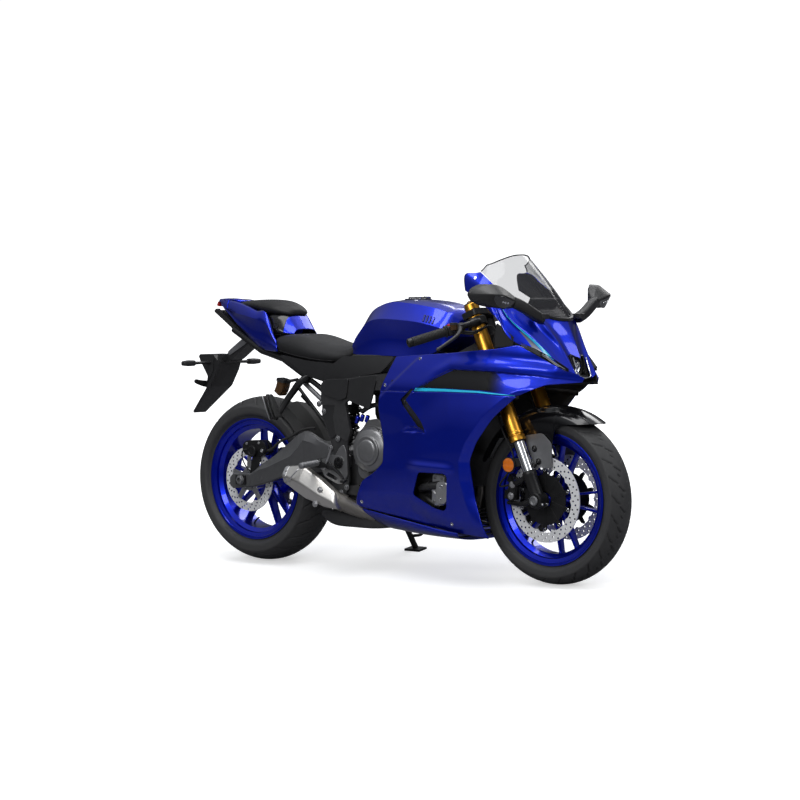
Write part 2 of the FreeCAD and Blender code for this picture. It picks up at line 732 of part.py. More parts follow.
def fairing_stays():
    """Short brackets from the frame and the engine to the inside of the panels."""
    bars = [rod(Vector(x, inner, z), Vector(x, outer, z), 6) for x, inner, z, outer in STAYS]
    return Part.makeCompound([bar for plain in bars for bar in (plain, mirrored(plain))])


BELLY_ROWS = [
    [(706, 0, 159), (706, 50, 161), (690, 100, 177), (604, 138, 238)],
    [(760, 0, 155), (760, 52, 157), (752, 106, 170), (720, 150, 221)],
    [(880, 0, 150), (880, 60, 151), (880, 120, 160), (880, 161, 199)],
    [(1040, 0, 146), (1040, 66, 147), (1040, 130, 153), (1040, 167, 177)],
    [(1085, 0, 146), (1085, 68, 147), (1085, 132, 152), (1085, 170, 174)],
]


def belly_cowl():
    """The pan under the engine, from one lower panel to the other, cut away round the collector."""
    return slab(mirror_rows(rows_of(BELLY_ROWS)), PANEL_WALL).cut(collector_pipe(COLLECTOR_RADIUS + 6))


NOSE_ROWS = [
    [(1443, 0, 919), (1426, 50, 923), (1388, 92, 941), (1330, 126, 970), (1270, 144, 1012),
     (1215, 144, 1058), (1164, 132, 1090)],
    [(1470, 0, 859), (1452, 50, 864), (1420, 88, 885), (1352, 130, 926), (1282, 152, 966),
     (1218, 156, 1024), (1147, 145, 1075)],
    [(1495, 0, 799), (1478, 46, 806), (1450, 80, 836), (1378, 130, 880), (1292, 158, 924),
     (1226, 165, 985), (1128, 152, 1052)],
    [(1526, 0, 716), (1519, 42, 722), (1500, 82, 752), (1408, 128, 812), (1310, 156, 862),
     (1256, 168, 918), (1112, 154, 1026)],
]


def rows_of(table):
    """Vectors from a table of coordinates."""
    return [[Vector(*point) for point in row] for row in table]


def nose_cowl():
    """The nose with the lamp's recess and the two ears beside the screen."""
    shell = slab(mirror_rows(even_grid(rows_of(NOSE_ROWS), 5, 8)), PANEL_WALL)
    recess = plan_prism([(1440, -34), (1440, 34), (1560, 44), (1560, -44)], 700, 802, 8)
    return shell.cut(recess)


def headlamp():
    """A single projector in a dark housing inside the recess."""
    housing = plan_prism([(1420, -30), (1420, 30), (1470, 32), (1496, 40), (1496, -40), (1470, -32)], 722, 796, 4)
    lens = Part.makeSphere(27, Vector(1478, 0, 764))
    return housing.fuse(lens)


LAMP_STRIP = [
    (1348, 141, 838, 14), (1400, 130, 815, 18), (1450, 108, 786, 20), (1508, 80, 750, 10),
]


def position_lamps():
    """A slim running lamp on each side, between the nose and the upper panel."""
    sections = []
    for x, y, z, high in LAMP_STRIP:
        sections.append([
            Vector(x, y, z - high / 2), Vector(x, y, z + high / 2),
            Vector(x - 14, y - 14, z + high / 2), Vector(x - 14, y - 14, z - high / 2),
        ])
    return both_sides(loft(sections))


SCREEN_ROWS = [
    [(1443, 0, 921), (1426, 50, 925), (1388, 91, 943), (1330, 125, 972), (1270, 143, 1014),
     (1215, 143, 1060), (1166, 131, 1092)],
    [(1384, 0, 1003), (1370, 46, 1005), (1336, 84, 1014), (1286, 116, 1030),
     (1238, 132, 1058), (1200, 132, 1083), (1170, 124, 1099)],
    [(1318, 0, 1080), (1306, 42, 1080), (1278, 78, 1078), (1244, 104, 1080),
     (1212, 118, 1090), (1188, 120, 1101), (1172, 116, 1107)],
    [(1246, 0, 1150), (1240, 38, 1147), (1226, 68, 1138), (1208, 88, 1128), (1192, 100, 1120),
     (1182, 106, 1116), (1174, 108, 1114)],
]


def windscreen():
    """A clear double-curved screen set on the nose."""
    return slab(mirror_rows(even_grid(rows_of(SCREEN_ROWS), 5, 7)), SCREEN_WALL)


def nose_lip():
    """The black lip under the lamp that joins the two upper panels."""
    low = 700.0
    high = 709.0
    outer = [(x, half_width(x, high) - 1.3 * PANEL_WALL) for x in (1440, 1480, 1515, 1545)]
    inner = [(1540, 18), (1500, 44), (1462, 82), (1424, 116)]
    left = outer + [(1562, 12)]
    right = [(x, -y) for x, y in reversed(left)]
    inside = [(x, -y) for x, y in reversed(inner)] + inner
    return plan_prism(left + right + inside, low, high)


def cockpit_cover():
    """The black inner cheeks between the nose and the upper panels."""
    rows = [
        [(1262, 163, 912), (1254, 160, 870), (1249, 157, 830)],
        [(1300, 156, 886), (1294, 154, 858), (1290, 152, 830)],
        [(1326, 150, 864), (1324, 149, 850), (1322, 148, 834)],
    ]
    return both_sides(slab(rows_of(rows), -PANEL_WALL))


def instrument():
    """The display and its bracket behind the screen."""
    case = Part.makeBox(26, 150, 84, Vector(-13, -75, -42))
    case = case.makeFillet(8, [e for e in case.Edges if abs(e.Vertexes[0].X - e.Vertexes[1].X) > 20])
    case.rotate(Vector(0, 0, 0), ACROSS, -28)
    case.translate(Vector(1312, 0, 962))
    return case


def cowl_stay():
    """The tubular stay that carries nose, mirrors and instrument from the head tube."""
    bars = []
    for side in (-1, 1):
        points = [Vector(1146, side * 10, 777), Vector(1286, side * 48, 828), Vector(1380, side * 104, 926)]
        bars.extend(rod(start, end, 8) for start, end in zip(points, points[1:]))
        bars.append(Part.makeSphere(8, points[1]))
    cross = rod(Vector(1290, -52, 832), Vector(1290, 52, 832), 7)
    post = rod(Vector(1290, 0, 832), Vector(1318, 0, 950), 7)
    return fuse(cross, post, *bars)


MIRROR_SECTIONS = [
    (262, 1392, 978, 18, 15), (282, 1372, 992, 30, 24), (310, 1342, 1004, 40, 33), (336, 1300, 1008, 34, 30),
    (352, 1272, 1010, 14, 15),
]


def mirrors():
    """Two mirrors on short arms, with a lamp pocket in each front face."""
    head = []
    for y, x, z, deep, high in MIRROR_SECTIONS:
        ring_points = []
        for angle in (0.4, 1.2, 1.94, 2.74, 3.54, 4.34, 5.08, 5.88):
            ring_points.append(Vector(x + deep * math.cos(angle), y, z + high * math.sin(angle)))
        head.append(ring_points)
    arm = tube([Vector(1398, 104, 938), Vector(1412, 150, 940), Vector(1392, 272, 980)], 11, 30)
    foot = plan_prism([(1352, 92), (1440, 78), (1428, 124), (1372, 128)], 924, 944, 8)
    return both_sides(loft(head, 12).fuse(arm).fuse(foot).removeSplitter())


# Tank, seats and tail: sections across the bike
TANK_SECTIONS = [
    (532, 96, 799, 98, 822, 62, 852, 862), (575, 106, 797, 112, 862, 66, 910, 926),
    (655, 120, 795, 132, 918, 84, 968, 984), (760, 132, 793, 147, 921, 98, 982, 997),
    (870, 140, 793, 152, 919, 100, 976, 990), (968, 145, 812, 151, 900, 96, 956, 971),
    (1006, 132, 846, 139, 894, 86, 940, 954), (1022, 112, 862, 120, 888, 70, 918, 930),
]
TANK_RADII = [14, 12, 45, 60]


def tank_section(x, low_y, low_z, wide_y, wide_z, top_y, top_z, crown_z):
    """Across the tank: flat below, widest at the crease, then a shoulder up to the crown."""
    side = [(low_y, low_z), (wide_y, wide_z), (top_y, top_z), (top_y * 0.5, crown_z)]
    other = [(-y, z) for y, z in reversed(side)]
    return [Vector(x, y, z) for y, z in side + other]


def fuel_tank():
    """The tank, with a seat for the filler's ring."""
    body = loft([tank_section(*section) for section in TANK_SECTIONS], TANK_RADII + TANK_RADII[::-1])
    seat = Part.makeCylinder(CAP_RADIUS + 14, 20, Vector(CAP_CENTRE, 0, filler_top() - 8))
    return body.cut(seat)


def filler_top():
    """How high the filler ring's seat is."""
    return smooth([(section[0], section[-1]) for section in TANK_SECTIONS], CAP_CENTRE)


def filler_ring():
    """The ring round the filler, with a hinge lug at the rear, clear of the lid."""
    top = filler_top()
    centre = Vector(CAP_CENTRE, 0, top - 8)
    base = ring(centre, Vector(0, 0, 1), CAP_RADIUS + 12, CAP_RADIUS - 10, 9)
    hinge = cap_hinge()
    pin = rod(hinge - ACROSS * 16, hinge + ACROSS * 16, CAP_HINGE_RADIUS)
    lugs = []
    for side in (-1, 1):
        lug = Part.makeBox(8, 5, hinge.z - top + 4, Vector(hinge.x - 4, side * 13.5 - 2.5, top - 3))
        lugs.append(lug)
    return fuse(base, pin, *lugs)


def cap_hinge():
    """The middle of the lid's hinge pin."""
    return Vector(CAP_CENTRE + CAP_RADIUS + 6.5, 0, filler_top() + 7.5)


def fuel_cap():
    """The round lid with its hinge barrel."""
    top = filler_top()
    lid = Part.makeCylinder(CAP_RADIUS, 7, Vector(CAP_CENTRE, 0, top + 1 + SEAT_GAP))
    hinge = cap_hinge()
    barrel = ring(hinge - ACROSS * 10, ACROSS, 5.5, CAP_HINGE_RADIUS + RUNNING_GAP, 20)
    tongue = Part.makeBox(hinge.x - CAP_CENTRE - 12, 20, 4, Vector(CAP_CENTRE + 12, -10, top + 4))
    pin_room = rod(hinge - ACROSS * 12, hinge + ACROSS * 12, CAP_HINGE_RADIUS + RUNNING_GAP)
    return fuse(lid, barrel, tongue.cut(pin_room))


RIDER_SEAT = [
    (150, 118, 812, 122, 842, 98, 858, 860), (236, 128, 795, 132, 840, 100, 866, 870),
    (330, 130, 779, 134, 812, 100, 844, 850), (430, 120, 769, 126, 796, 84, 820, 824),
    (500, 100, 772, 106, 800, 62, 824, 830), (545, 78, 802, 84, 822, 44, 846, 852),
]
SEAT_RADII = [8, 16, 26, 60]
PASSENGER_SEAT = [
    (-92, 44, 972, 56, 984, 30, 994, 996), (40, 76, 956, 86, 972, 54, 996, 1000),
    (160, 84, 934, 92, 950, 60, 986, 992), (236, 56, 916, 66, 926, 42, 948, 954),
]


def seat_section(x, low_y, low_z, wide_y, wide_z, top_y, top_z, crown_z):
    """Across a seat: a flat pan, rolled sides and a gently crowned top."""
    side = [(low_y, low_z), (wide_y, wide_z), (top_y, top_z), (top_y * 0.4, crown_z)]
    other = [(-y, z) for y, z in reversed(side)]
    return [Vector(x, y, z) for y, z in side + other]


def padded_loft(sections):
    """A solid through seat sections, with soft corners."""
    return loft([seat_section(*section) for section in sections], SEAT_RADII + SEAT_RADII[::-1])


TAIL_SECTIONS = [
    (-228, 22, 974, 30, 984, 24, 998, 1003), (-174, 46, 934, 62, 962, 44, 996, 1003),
    (-60, 72, 872, 92, 944, 66, 986, 996), (40, 98, 822, 112, 930, 84, 974, 984),
    (112, 112, 808, 122, 924, 92, 956, 964), (176, 122, 803, 134, 842, 96, 866, 872),
]


def tail_cowl():
    """The hollow tail unit, open below."""
    wall = PANEL_WALL + 1
    inner = []
    for x, low_y, low_z, wide_y, wide_z, top_y, top_z, crown_z in TAIL_SECTIONS[1:]:
        inner.append((
            x, low_y - wall, low_z - 20, wide_y - wall, wide_z, top_y - wall, top_z - wall, crown_z - wall))
    return padded_loft(TAIL_SECTIONS).cut(padded_loft(inner))


def hump_cover():
    """The gloss cover under the front of the passenger's seat."""
    sections = [
        (120, 84, 862, 104, 884, 78, 930, 940), (176, 84, 860, 98, 880, 70, 930, 938),
        (232, 60, 868, 72, 874, 56, 886, 890),
    ]
    return padded_loft(sections)


def undertray():
    """The black tray under the seats, with the wheel's inner guard."""
    outline = [(-205, 968), (-108, 906), (-50, 868), (60, 812), (180, 790), (330, 768), (455, 764), (455, 744),
               (300, 742), (150, 762), (40, 792), (-70, 852), (-130, 896), (-222, 958)]
    return side_prism(outline, -62, 62, 6)


def seat_rail():
    """The two rails under the seats, tied across."""
    rail = tube([Vector(560, 134, 700), Vector(440, 128, 716), Vector(250, 100, 764), Vector(60, 84, 806),
                 Vector(-110, 62, 886)], 13, 60)
    stay = tube([Vector(452, 134, 640), Vector(380, 122, 680), Vector(190, 98, 770)], 10, 50)
    tie = rod(Vector(300, -110, 728), Vector(300, 110, 728), 8)
    return fuse(rail, stay, mirrored(rail), mirrored(stay), tie)


COVER_ROWS = [
    [(150, 126, 806), (150, 124, 780), (150, 120, 754)],
    [(330, 134, 806), (330, 134, 750), (330, 128, 700)],
    [(540, 142, 806), (540, 148, 740), (540, 146, 680)],
    [(700, 146, 806), (700, 158, 740), (700, 160, 680)],
    [(810, 148, 806), (810, 162, 740), (810, 164, 680)],
]
SIDE_COVER = [(166, 799), (260, 784), (352, 771), (480, 763), (530, 790), (792, 792), (726, 734), (640, 722),
              (430, 694), (330, 716), (250, 762)]


LOWER_COVER = [(716, 720), (676, 600), (560, 634), (640, 655), (648, 676)]


def side_covers():
    """The satin covers below the seat and the tank."""
    skin = slab(rows_of(COVER_ROWS), -PANEL_WALL)
    upper = skin.common(side_prism(SIDE_COVER, 60, 200, 8))
    lower = side_prism(LOWER_COVER, PLATE_OUTER + 13, PLATE_OUTER + 19, 8)
    return Part.makeCompound([upper, lower, mirrored(upper), mirrored(lower)])


def tail_lamp():
    """The red lamp in the tail's tip."""
    outline = [(-228.3, 974), (-244, 978), (-238, 994), (-228.3, 998)]
    return side_prism(outline, -24, 24, 2)


HOLDER_ARM = [(-45, 868), (-30, 852), (-150, 772), (-196, 752), (-210, 770), (-166, 800)]
HOLDER_BOARD = [
    (-196, 756), (-230, 790), (-300, 792), (-309, 780), (-248, 700), (-266, 660), (-374, 562),
    (-366, 555), (-244, 664), (-206, 730),
]


def plate_holder():
    """The arm and the blank back board for the number plate."""
    arm = side_prism(HOLDER_ARM, -34, 34, 6)
    board = side_prism(HOLDER_BOARD, -62, 62, 4)
    neck = side_prism([(-196, 756), (-230, 790), (-180, 790), (-160, 764)], -34, 34, 4)
    return fuse(arm, board, neck)


def rear_indicators():
    """Two indicators on short stalks beside the plate holder."""
    stalk = rod(Vector(-244, 62 + SEAT_GAP, 757), Vector(-244, 150, 757), 6)
    lamp = Part.makeBox(24, 64, 26, Vector(-252, 150, 744))
    lamp = lamp.makeFillet(9, [e for e in lamp.Edges if abs(e.Vertexes[0].Y - e.Vertexes[1].Y) > 30])
    return both_sides(stalk.fuse(lamp))


def rear_caliper():
    """The rear brake caliper over the top of its disc."""
    inside = REAR_DISC_MIDDLE + DISC_THICKNESS / 2
    outline = [(-30, 404), (72, 404), (80, 440), (40, 458), (-20, 450)]
    body = side_prism(outline, -112, -84, 8)
    room = Part.makeCylinder(REAR_DISC_RADIUS + 5, DISC_THICKNESS + 2 * PAD_GAP + 0.2,
                             REAR_AXLE - ACROSS * (inside + PAD_GAP + 0.1), ACROSS)
    hanger = side_prism([(20, 330), (60, 340), (74, 430), (40, 446), (30, 380)], -115.7, -108, 6)
    room_wide = Part.makeCylinder(REAR_DISC_RADIUS + 5, 14, REAR_AXLE - ACROSS * 108, ACROSS)
    return body.cut(room).fuse(hanger.cut(room_wide))


def rear_shock():
    """The damper and its spring, between the swingarm and the frame's upper tie."""
    low = Vector(392, 0, 396)
    high = Vector(469, 0, 646)
    way = direction(low, high)
    body = rod(low, high, 14)
    spring = rod(low + way * 60, high - way * 58, 27)
    bolt = rod(Vector(396, -36, 410), Vector(396, 36, 410), 7)
    return fuse(body, spring, bolt)


def hugger():
    """The guard over the front of the rear tyre."""
    outline = [(-94, 300), (-68, 327), (0, 338), (68, 327), (94, 300),
               (90, 300), (66, 323), (0, 334), (-66, 323), (-90, 300)]
    guard = turned(around_axle(outline), REAR_AXLE, 28, 40)
    lugs = [rod(Vector(282, side * 72, 466), Vector(282, side * (ARM_INNER - SEAT_GAP), 466), 7)
            for side in (-1, 1)]
    return fuse(guard, *lugs)


def rider_footrests():
    """The heel plates with the rider's footrests, gear lever and brake pedal."""
    plate = side_prism([(404, 388), (430, 372), (512, 330), (540, 345), (530, 420), (470, 424), (420, 414)],
                       PLATE_OUTER + SEAT_GAP, PLATE_OUTER + 8, 10)
    peg = rod(Vector(420, PLATE_OUTER + 4, 398), Vector(440, 286, 392), 12)
    pedal = tube([Vector(470, PLATE_OUTER + 14, 388), Vector(560, 196, 352), Vector(590, 226, 340)], 6, 16)
    pin = rod(Vector(470, PLATE_OUTER + 4, 388), Vector(470, PLATE_OUTER + 20, 388), 9)
    return both_sides(fuse(plate, peg, pedal, pin))


def passenger_footrests():
    """The passenger's footrests on hangers below the seat rail."""
    hanger = side_prism([(352, 690), (312, 712), (200, 640), (178, 566), (206, 556), (236, 620)],
                        PLATE_INNER - 4, PLATE_INNER + 4, 10)
    boss = rod(Vector(330, 118, 696), Vector(330, PLATE_INNER, 696), 10)
    peg = rod(Vector(192, PLATE_INNER, 566), Vector(176, 226, 600), 11)
    return both_sides(fuse(hanger, boss, peg))


# Steering, drawn about its own axis: X forward, Z up the axis from the road
def in_fork(shape):
    """Carries a shape from the steering's own frame to the bike's."""
    placed = shape.copy()
    placed.Placement = TO_FORK.multiply(placed.Placement)
    return placed


def leg_point(height, side=1):
    """A point on a fork leg, height above the axle along the leg."""
    return Vector(FORK_OFFSET, side * LEG, AXLE_HEIGHT + height)


UP = Vector(0, 0, 1)


def clamp_plate(low, high, wide, waist):
    """A plate round both fork legs and the stem."""
    reach = LEG + wide
    outline = [
        (FORK_OFFSET + wide, reach), (FORK_OFFSET - wide, reach), (FORK_OFFSET - wide, LEG - wide),
        (-waist, 26), (-waist, -26), (FORK_OFFSET - wide, wide - LEG), (FORK_OFFSET - wide, -reach),
        (FORK_OFFSET + wide, -reach), (FORK_OFFSET + wide, wide - LEG), (FORK_OFFSET + wide - 16, -30),
        (FORK_OFFSET + wide - 16, 30), (FORK_OFFSET + wide, LEG - wide),
    ]
    plate = plan_prism(outline, AXLE_HEIGHT + low, AXLE_HEIGHT + high, 12)
    holes = []
    for side in (-1, 1):
        holes.append(Part.makeCylinder(FORK_OUTER_RADIUS + RUNNING_GAP, high - low + 2,
                                       leg_point(low - 1, side), UP))
    return plate.cut(holes)


def triple_clamps():
    """The two clamps and the stem that turns in the head tube."""
    lower = clamp_plate(LOWER_CLAMP[0], LOWER_CLAMP[1], 36, 26)
    upper = clamp_plate(UPPER_CLAMP[0], UPPER_CLAMP[1], 34, 26)
    start = AXLE_HEIGHT + LOWER_CLAMP[0]
    stem = Part.makeCylinder(STEM_RADIUS, AXLE_HEIGHT + UPPER_CLAMP[1] - start, Vector(0, 0, start), UP)
    nut = Part.makeCylinder(20, 8, Vector(0, 0, AXLE_HEIGHT + UPPER_CLAMP[1]), UP)
    hole = Part.makeCylinder(8, 320, Vector(0, 0, start - 10), UP)
    return fuse(lower, upper, stem, nut).cut(hole)


def fork_outers():
    """The two outer tubes with their caps."""
    length = FORK_TOP - FORK_OUTER_BOTTOM
    outer = Part.makeCylinder(FORK_OUTER_RADIUS, length, leg_point(FORK_OUTER_BOTTOM), UP)
    collar = Part.makeCylinder(FORK_OUTER_RADIUS + 2, 26, leg_point(FORK_OUTER_BOTTOM), UP)
    cap = Part.makeCylinder(12, 12, leg_point(FORK_TOP), UP)
    bore = Part.makeCylinder(FORK_INNER_RADIUS + RUNNING_GAP, length - 60, leg_point(FORK_OUTER_BOTTOM), UP)
    return both_sides(fuse(outer, collar, cap).cut(bore))


def fork_inners():
    """The chromed inner tubes, from the feet up into the outer tubes."""
    start = FORK_FOOT_TOP + SEAT_GAP
    return both_sides(Part.makeCylinder(FORK_INNER_RADIUS, 380 - start, leg_point(start), UP))


def fork_feet():
    """The feet with the axle clamps and the caliper lugs."""
    foot = Part.makeCylinder(FORK_FOOT_RADIUS, FORK_FOOT_TOP - 30, leg_point(30), UP)
    clamp = Part.makeCylinder(FORK_FOOT_RADIUS - 2, 48, leg_point(0) - ACROSS * 24, ACROSS)
    block = Part.makeBox(38, 40, 44, leg_point(0) + Vector(-19, -20, 0))
    spacer = Part.makeCylinder(17, LEG - 24 - FRONT_HUB_HALF - SEAT_GAP,
                               Vector(FORK_OFFSET, FRONT_HUB_HALF + SEAT_GAP, AXLE_HEIGHT), ACROSS)
    bore = Part.makeCylinder(AXLE_RADIUS + RUNNING_GAP, 120, Vector(FORK_OFFSET, 40, AXLE_HEIGHT), ACROSS)
    lugs = []
    for height in (14, 92):
        lugs.append(Part.makeBox(60, 16, 14, leg_point(height) + Vector(-78, -18, -7)))
    return both_sides(fuse(foot, clamp, block, spacer, *lugs).cut(bore))


def front_axle():
    """The hollow front axle, clamped in both feet."""
    reach = LEG + 30
    start = Vector(FORK_OFFSET, -reach, AXLE_HEIGHT)
    return ring(start, ACROSS, AXLE_RADIUS, AXLE_BORE, 2 * reach)


def front_calipers():
    """Radial calipers that straddle the discs behind the fork legs."""
    half = DISC_THICKNESS / 2 + PAD_GAP
    profile = [(46, 110), (98, 110), (100, 150), (92, 172), (54, 172), (46, 150)]
    body = turned(around_axle(profile, 6), FRONT_AXLE, -92, 34)
    room = Part.makeCylinder(FRONT_DISC_RADIUS + 5, 2 * half,
                             FRONT_AXLE + ACROSS * (FRONT_DISC_MIDDLE - half), ACROSS)
    return both_sides(body.cut(room))


FENDER = [
    (-72, 188), (-74, 296), (-52, 316), (0, 327), (52, 316), (74, 296), (72, 188),
    (69, 188), (71, 294), (50, 313), (0, 323), (-50, 313), (-71, 294), (-69, 188),
]
FENDER_TRIM = [
    (1040, 300), (1110, 412), (1142, 428), (1185, 506), (1304, 518), (1322, 478), (1424, 478),
    (1440, 548), (1470, 562), (1620, 566), (1700, 300),
]


def front_fender():
    """The front mudguard, with the tongue on each side that its stay plates hold."""
    shell = turned(around_axle(FENDER), FRONT_AXLE, -66, 102)
    return shell.cut(side_prism(FENDER_TRIM, -90, 90, 8))


STAY_OUTLINE = [(1312, 520), (1392, 532), (1432, 496), (1432, 408), (1362, 412), (1330, 470)]


def fender_stays():
    """The grey plates that bolt the mudguard to the fork feet."""
    plate = side_prism(STAY_OUTLINE, 76, 80, 10)
    spacers = [rod(Vector(x, 71, z), Vector(x, 78, z), 7) for x, z in ((1345, 504), (1400, 504))]
    lug = rod(Vector(1362, 80, 424), Vector(1362, 88, 424), 8)
    return both_sides(fuse(plate, lug, *spacers))


BAR_ROOT = Vector(1152.0, 134.0, 917.0)
GRIP_START = Vector(1092.0, 236.0, 883.0)
GRIP_END = Vector(1030.0, 343.0, 848.0)
BAR_RADIUS = 11.0
GRIP_RADIUS = 17.0
POT_FOOT = Vector(1136.0, -246.0, 888.0)
POT_RADIUS = 14.0


def handlebars():
    """The clip-on bars, clamped below the upper clamp, with their end weights."""
    low = UPPER_CLAMP[0] - 36
    clamp = ring(TO_FORK.multVec(leg_point(low)), STEER_TURN.multVec(UP), 36, FORK_OUTER_RADIUS + RUNNING_GAP, 30)
    bar = rod(BAR_ROOT, GRIP_END, BAR_RADIUS)
    lug = rod(BAR_ROOT + Vector(-14, -14, -4), BAR_ROOT + direction(BAR_ROOT, GRIP_END) * 20, 15)
    keep = rod(TO_FORK.multVec(leg_point(low - 20)), TO_FORK.multVec(leg_point(low + 80)),
               FORK_OUTER_RADIUS + RUNNING_GAP)
    weight = rod(GRIP_END + direction(GRIP_START, GRIP_END) * SEAT_GAP,
                 GRIP_END + direction(GRIP_START, GRIP_END) * 18, 16)
    return both_sides(fuse(clamp, bar, lug.cut(keep), weight))


def grips():
    """The rubber grips round the bars."""
    way = direction(GRIP_START, GRIP_END)
    length = (GRIP_END - GRIP_START).Length
    return both_sides(ring(GRIP_START, way, GRIP_RADIUS, BAR_RADIUS + RUNNING_GAP, length))


def controls():
    """Switch cases and lever perches on the bars, with the levers and the brake's reservoir."""
    way = direction(GRIP_START, GRIP_END)
    case = ring(GRIP_START - way * 46, way, 23, BAR_RADIUS + RUNNING_GAP, 44)
    perch = rod(GRIP_START - way * 40, GRIP_START - way * 40 + Vector(24, 10, 8), 12)
    root = GRIP_START - way * 40 + Vector(22, 8, 5)
    lever = tube([root, Vector(1168, 262, 872), Vector(1140, 334, 824)], 7, 30)
    room = rod(GRIP_START - way * 70, GRIP_START + way * 20, BAR_RADIUS + RUNNING_GAP)
    left = fuse(case, perch.cut(room), lever)
    right = mirrored(left)
    pot = Part.makeCylinder(POT_RADIUS, 26, POT_FOOT)
    stalk = rod(POT_FOOT + Vector(0, 0, 9), Vector(1118, -210, 896), 7)
    return Part.makeCompound([left, fuse(right, pot, stalk)])


# Side stand
def stand_axis():
    """The pivot's axis: at right angles to the stand when it is down and when it is folded."""
    down = direction(STAND_PIVOT, STAND_FOOT)
    folded = direction(Vector(0, 0, 0), STAND_FOLDED)
    return direction(Vector(0, 0, 0), down.cross(folded))


def ground_height(y):
    """The floor's height in the upright frame, at a distance y to the left."""
    lean = math.radians(LEAN)
    tread = ((REAR_TYRE_WIDTH * 0.4925) ** 2 + REAR_CROWN ** 2) / (2 * REAR_CROWN)
    sunk = tread * (1 - math.cos(lean))
    return (y * math.sin(lean) - sunk) / math.cos(lean)


def side_stand():
    """The leg, the pivot boss and a foot whose sole lies flat on the floor."""
    axis = stand_axis()
    boss = rod(STAND_PIVOT + axis * SEAT_GAP, STAND_PIVOT + axis * (STAND_BOSS + SEAT_GAP), 14)
    leg = rod(STAND_PIVOT + axis * (STAND_BOSS / 2), STAND_FOOT, 7)
    bore = rod(STAND_PIVOT - axis, STAND_PIVOT + axis * (STAND_BOSS + 4), STAND_BOLT + RUNNING_GAP)
    room = rod(STAND_PIVOT - axis * 6, STAND_PIVOT + axis * SEAT_GAP, 20)
    sole = Part.makeBox(74, 46, 8, Vector(-37, -23, 0))
    sole.rotate(Vector(0, 0, 0), Vector(1, 0, 0), LEAN)
    foot_y = STAND_FOOT.y
    sole.translate(Vector(STAND_FOOT.x, foot_y, ground_height(foot_y)))
    shank = rod(STAND_PIVOT + direction(STAND_PIVOT, STAND_FOOT) * 22, STAND_FOOT, STAND_RADIUS)
    return fuse(boss, leg, shank, sole).cut([bore, room])


GIVES_WAY = [
    ("engine_block", ["main_frame"]),
    ("radiator", ["engine_block"]),
    ("rear_shock", ["main_frame", "swingarm"]),
    ("belly_cowl", ["lower_fairing"]),
    ("fairing_stays", ["main_frame", "engine_block", "upper_fairing", "lower_fairing"]),
    ("exhaust_pipes", ["engine_block", "muffler"]),
    ("fuel_tank", ["main_frame"]),
    ("rider_seat", ["fuel_tank"]),
    ("hump_cover", ["rider_seat", "passenger_seat"]),
    ("tail_cowl", ["passenger_seat", "hump_cover", "rider_seat"]),
    ("undertray", ["rider_seat", "passenger_seat", "hump_cover", "tail_cowl", "plate_holder"]),
    ("seat_rail", ["main_frame", "rider_seat", "tail_cowl", "undertray"]),
    ("side_covers", ["main_frame", "seat_rail", "rider_seat", "fuel_tank"]),
    ("passenger_footrests", ["seat_rail"]),
    ("nose_lip", ["upper_fairing"]),
    ("nose_cowl", ["upper_fairing"]),
    ("windscreen", ["nose_cowl"]),
    ("position_lamps", ["nose_cowl", "upper_fairing"]),
    ("cockpit_cover", ["nose_cowl", "upper_fairing"]),
    ("headlamp", ["nose_cowl"]),
    ("mirrors", ["nose_cowl", "windscreen"]),
    ("cowl_stay", ["instrument", "mirrors", "nose_cowl", "main_frame"]),
    ("front_calipers", ["fork_feet"]),
    ("fender_stays", ["fork_feet", "fork_outers", "front_fender"]),
    ("grips", ["handlebars"]),
    ("controls", ["handlebars", "grips"]),
]


def seated(pieces):
    """Cuts each piece back to the faces of its neighbours, so that it seats on them."""
    for name, neighbours in GIVES_WAY:
        whole = []
        for solid in pieces[name].Solids:
            for cutter in (other for neighbour in neighbours for other in pieces[neighbour].Solids):
                if solid.BoundBox.intersect(cutter.BoundBox):
                    solid = max(solid.cut(cutter).Solids, key=lambda part: part.Volume)
            whole.append(solid)
        pieces[name] = whole[0] if len(whole) == 1 else Part.makeCompound(whole)
    return pieces


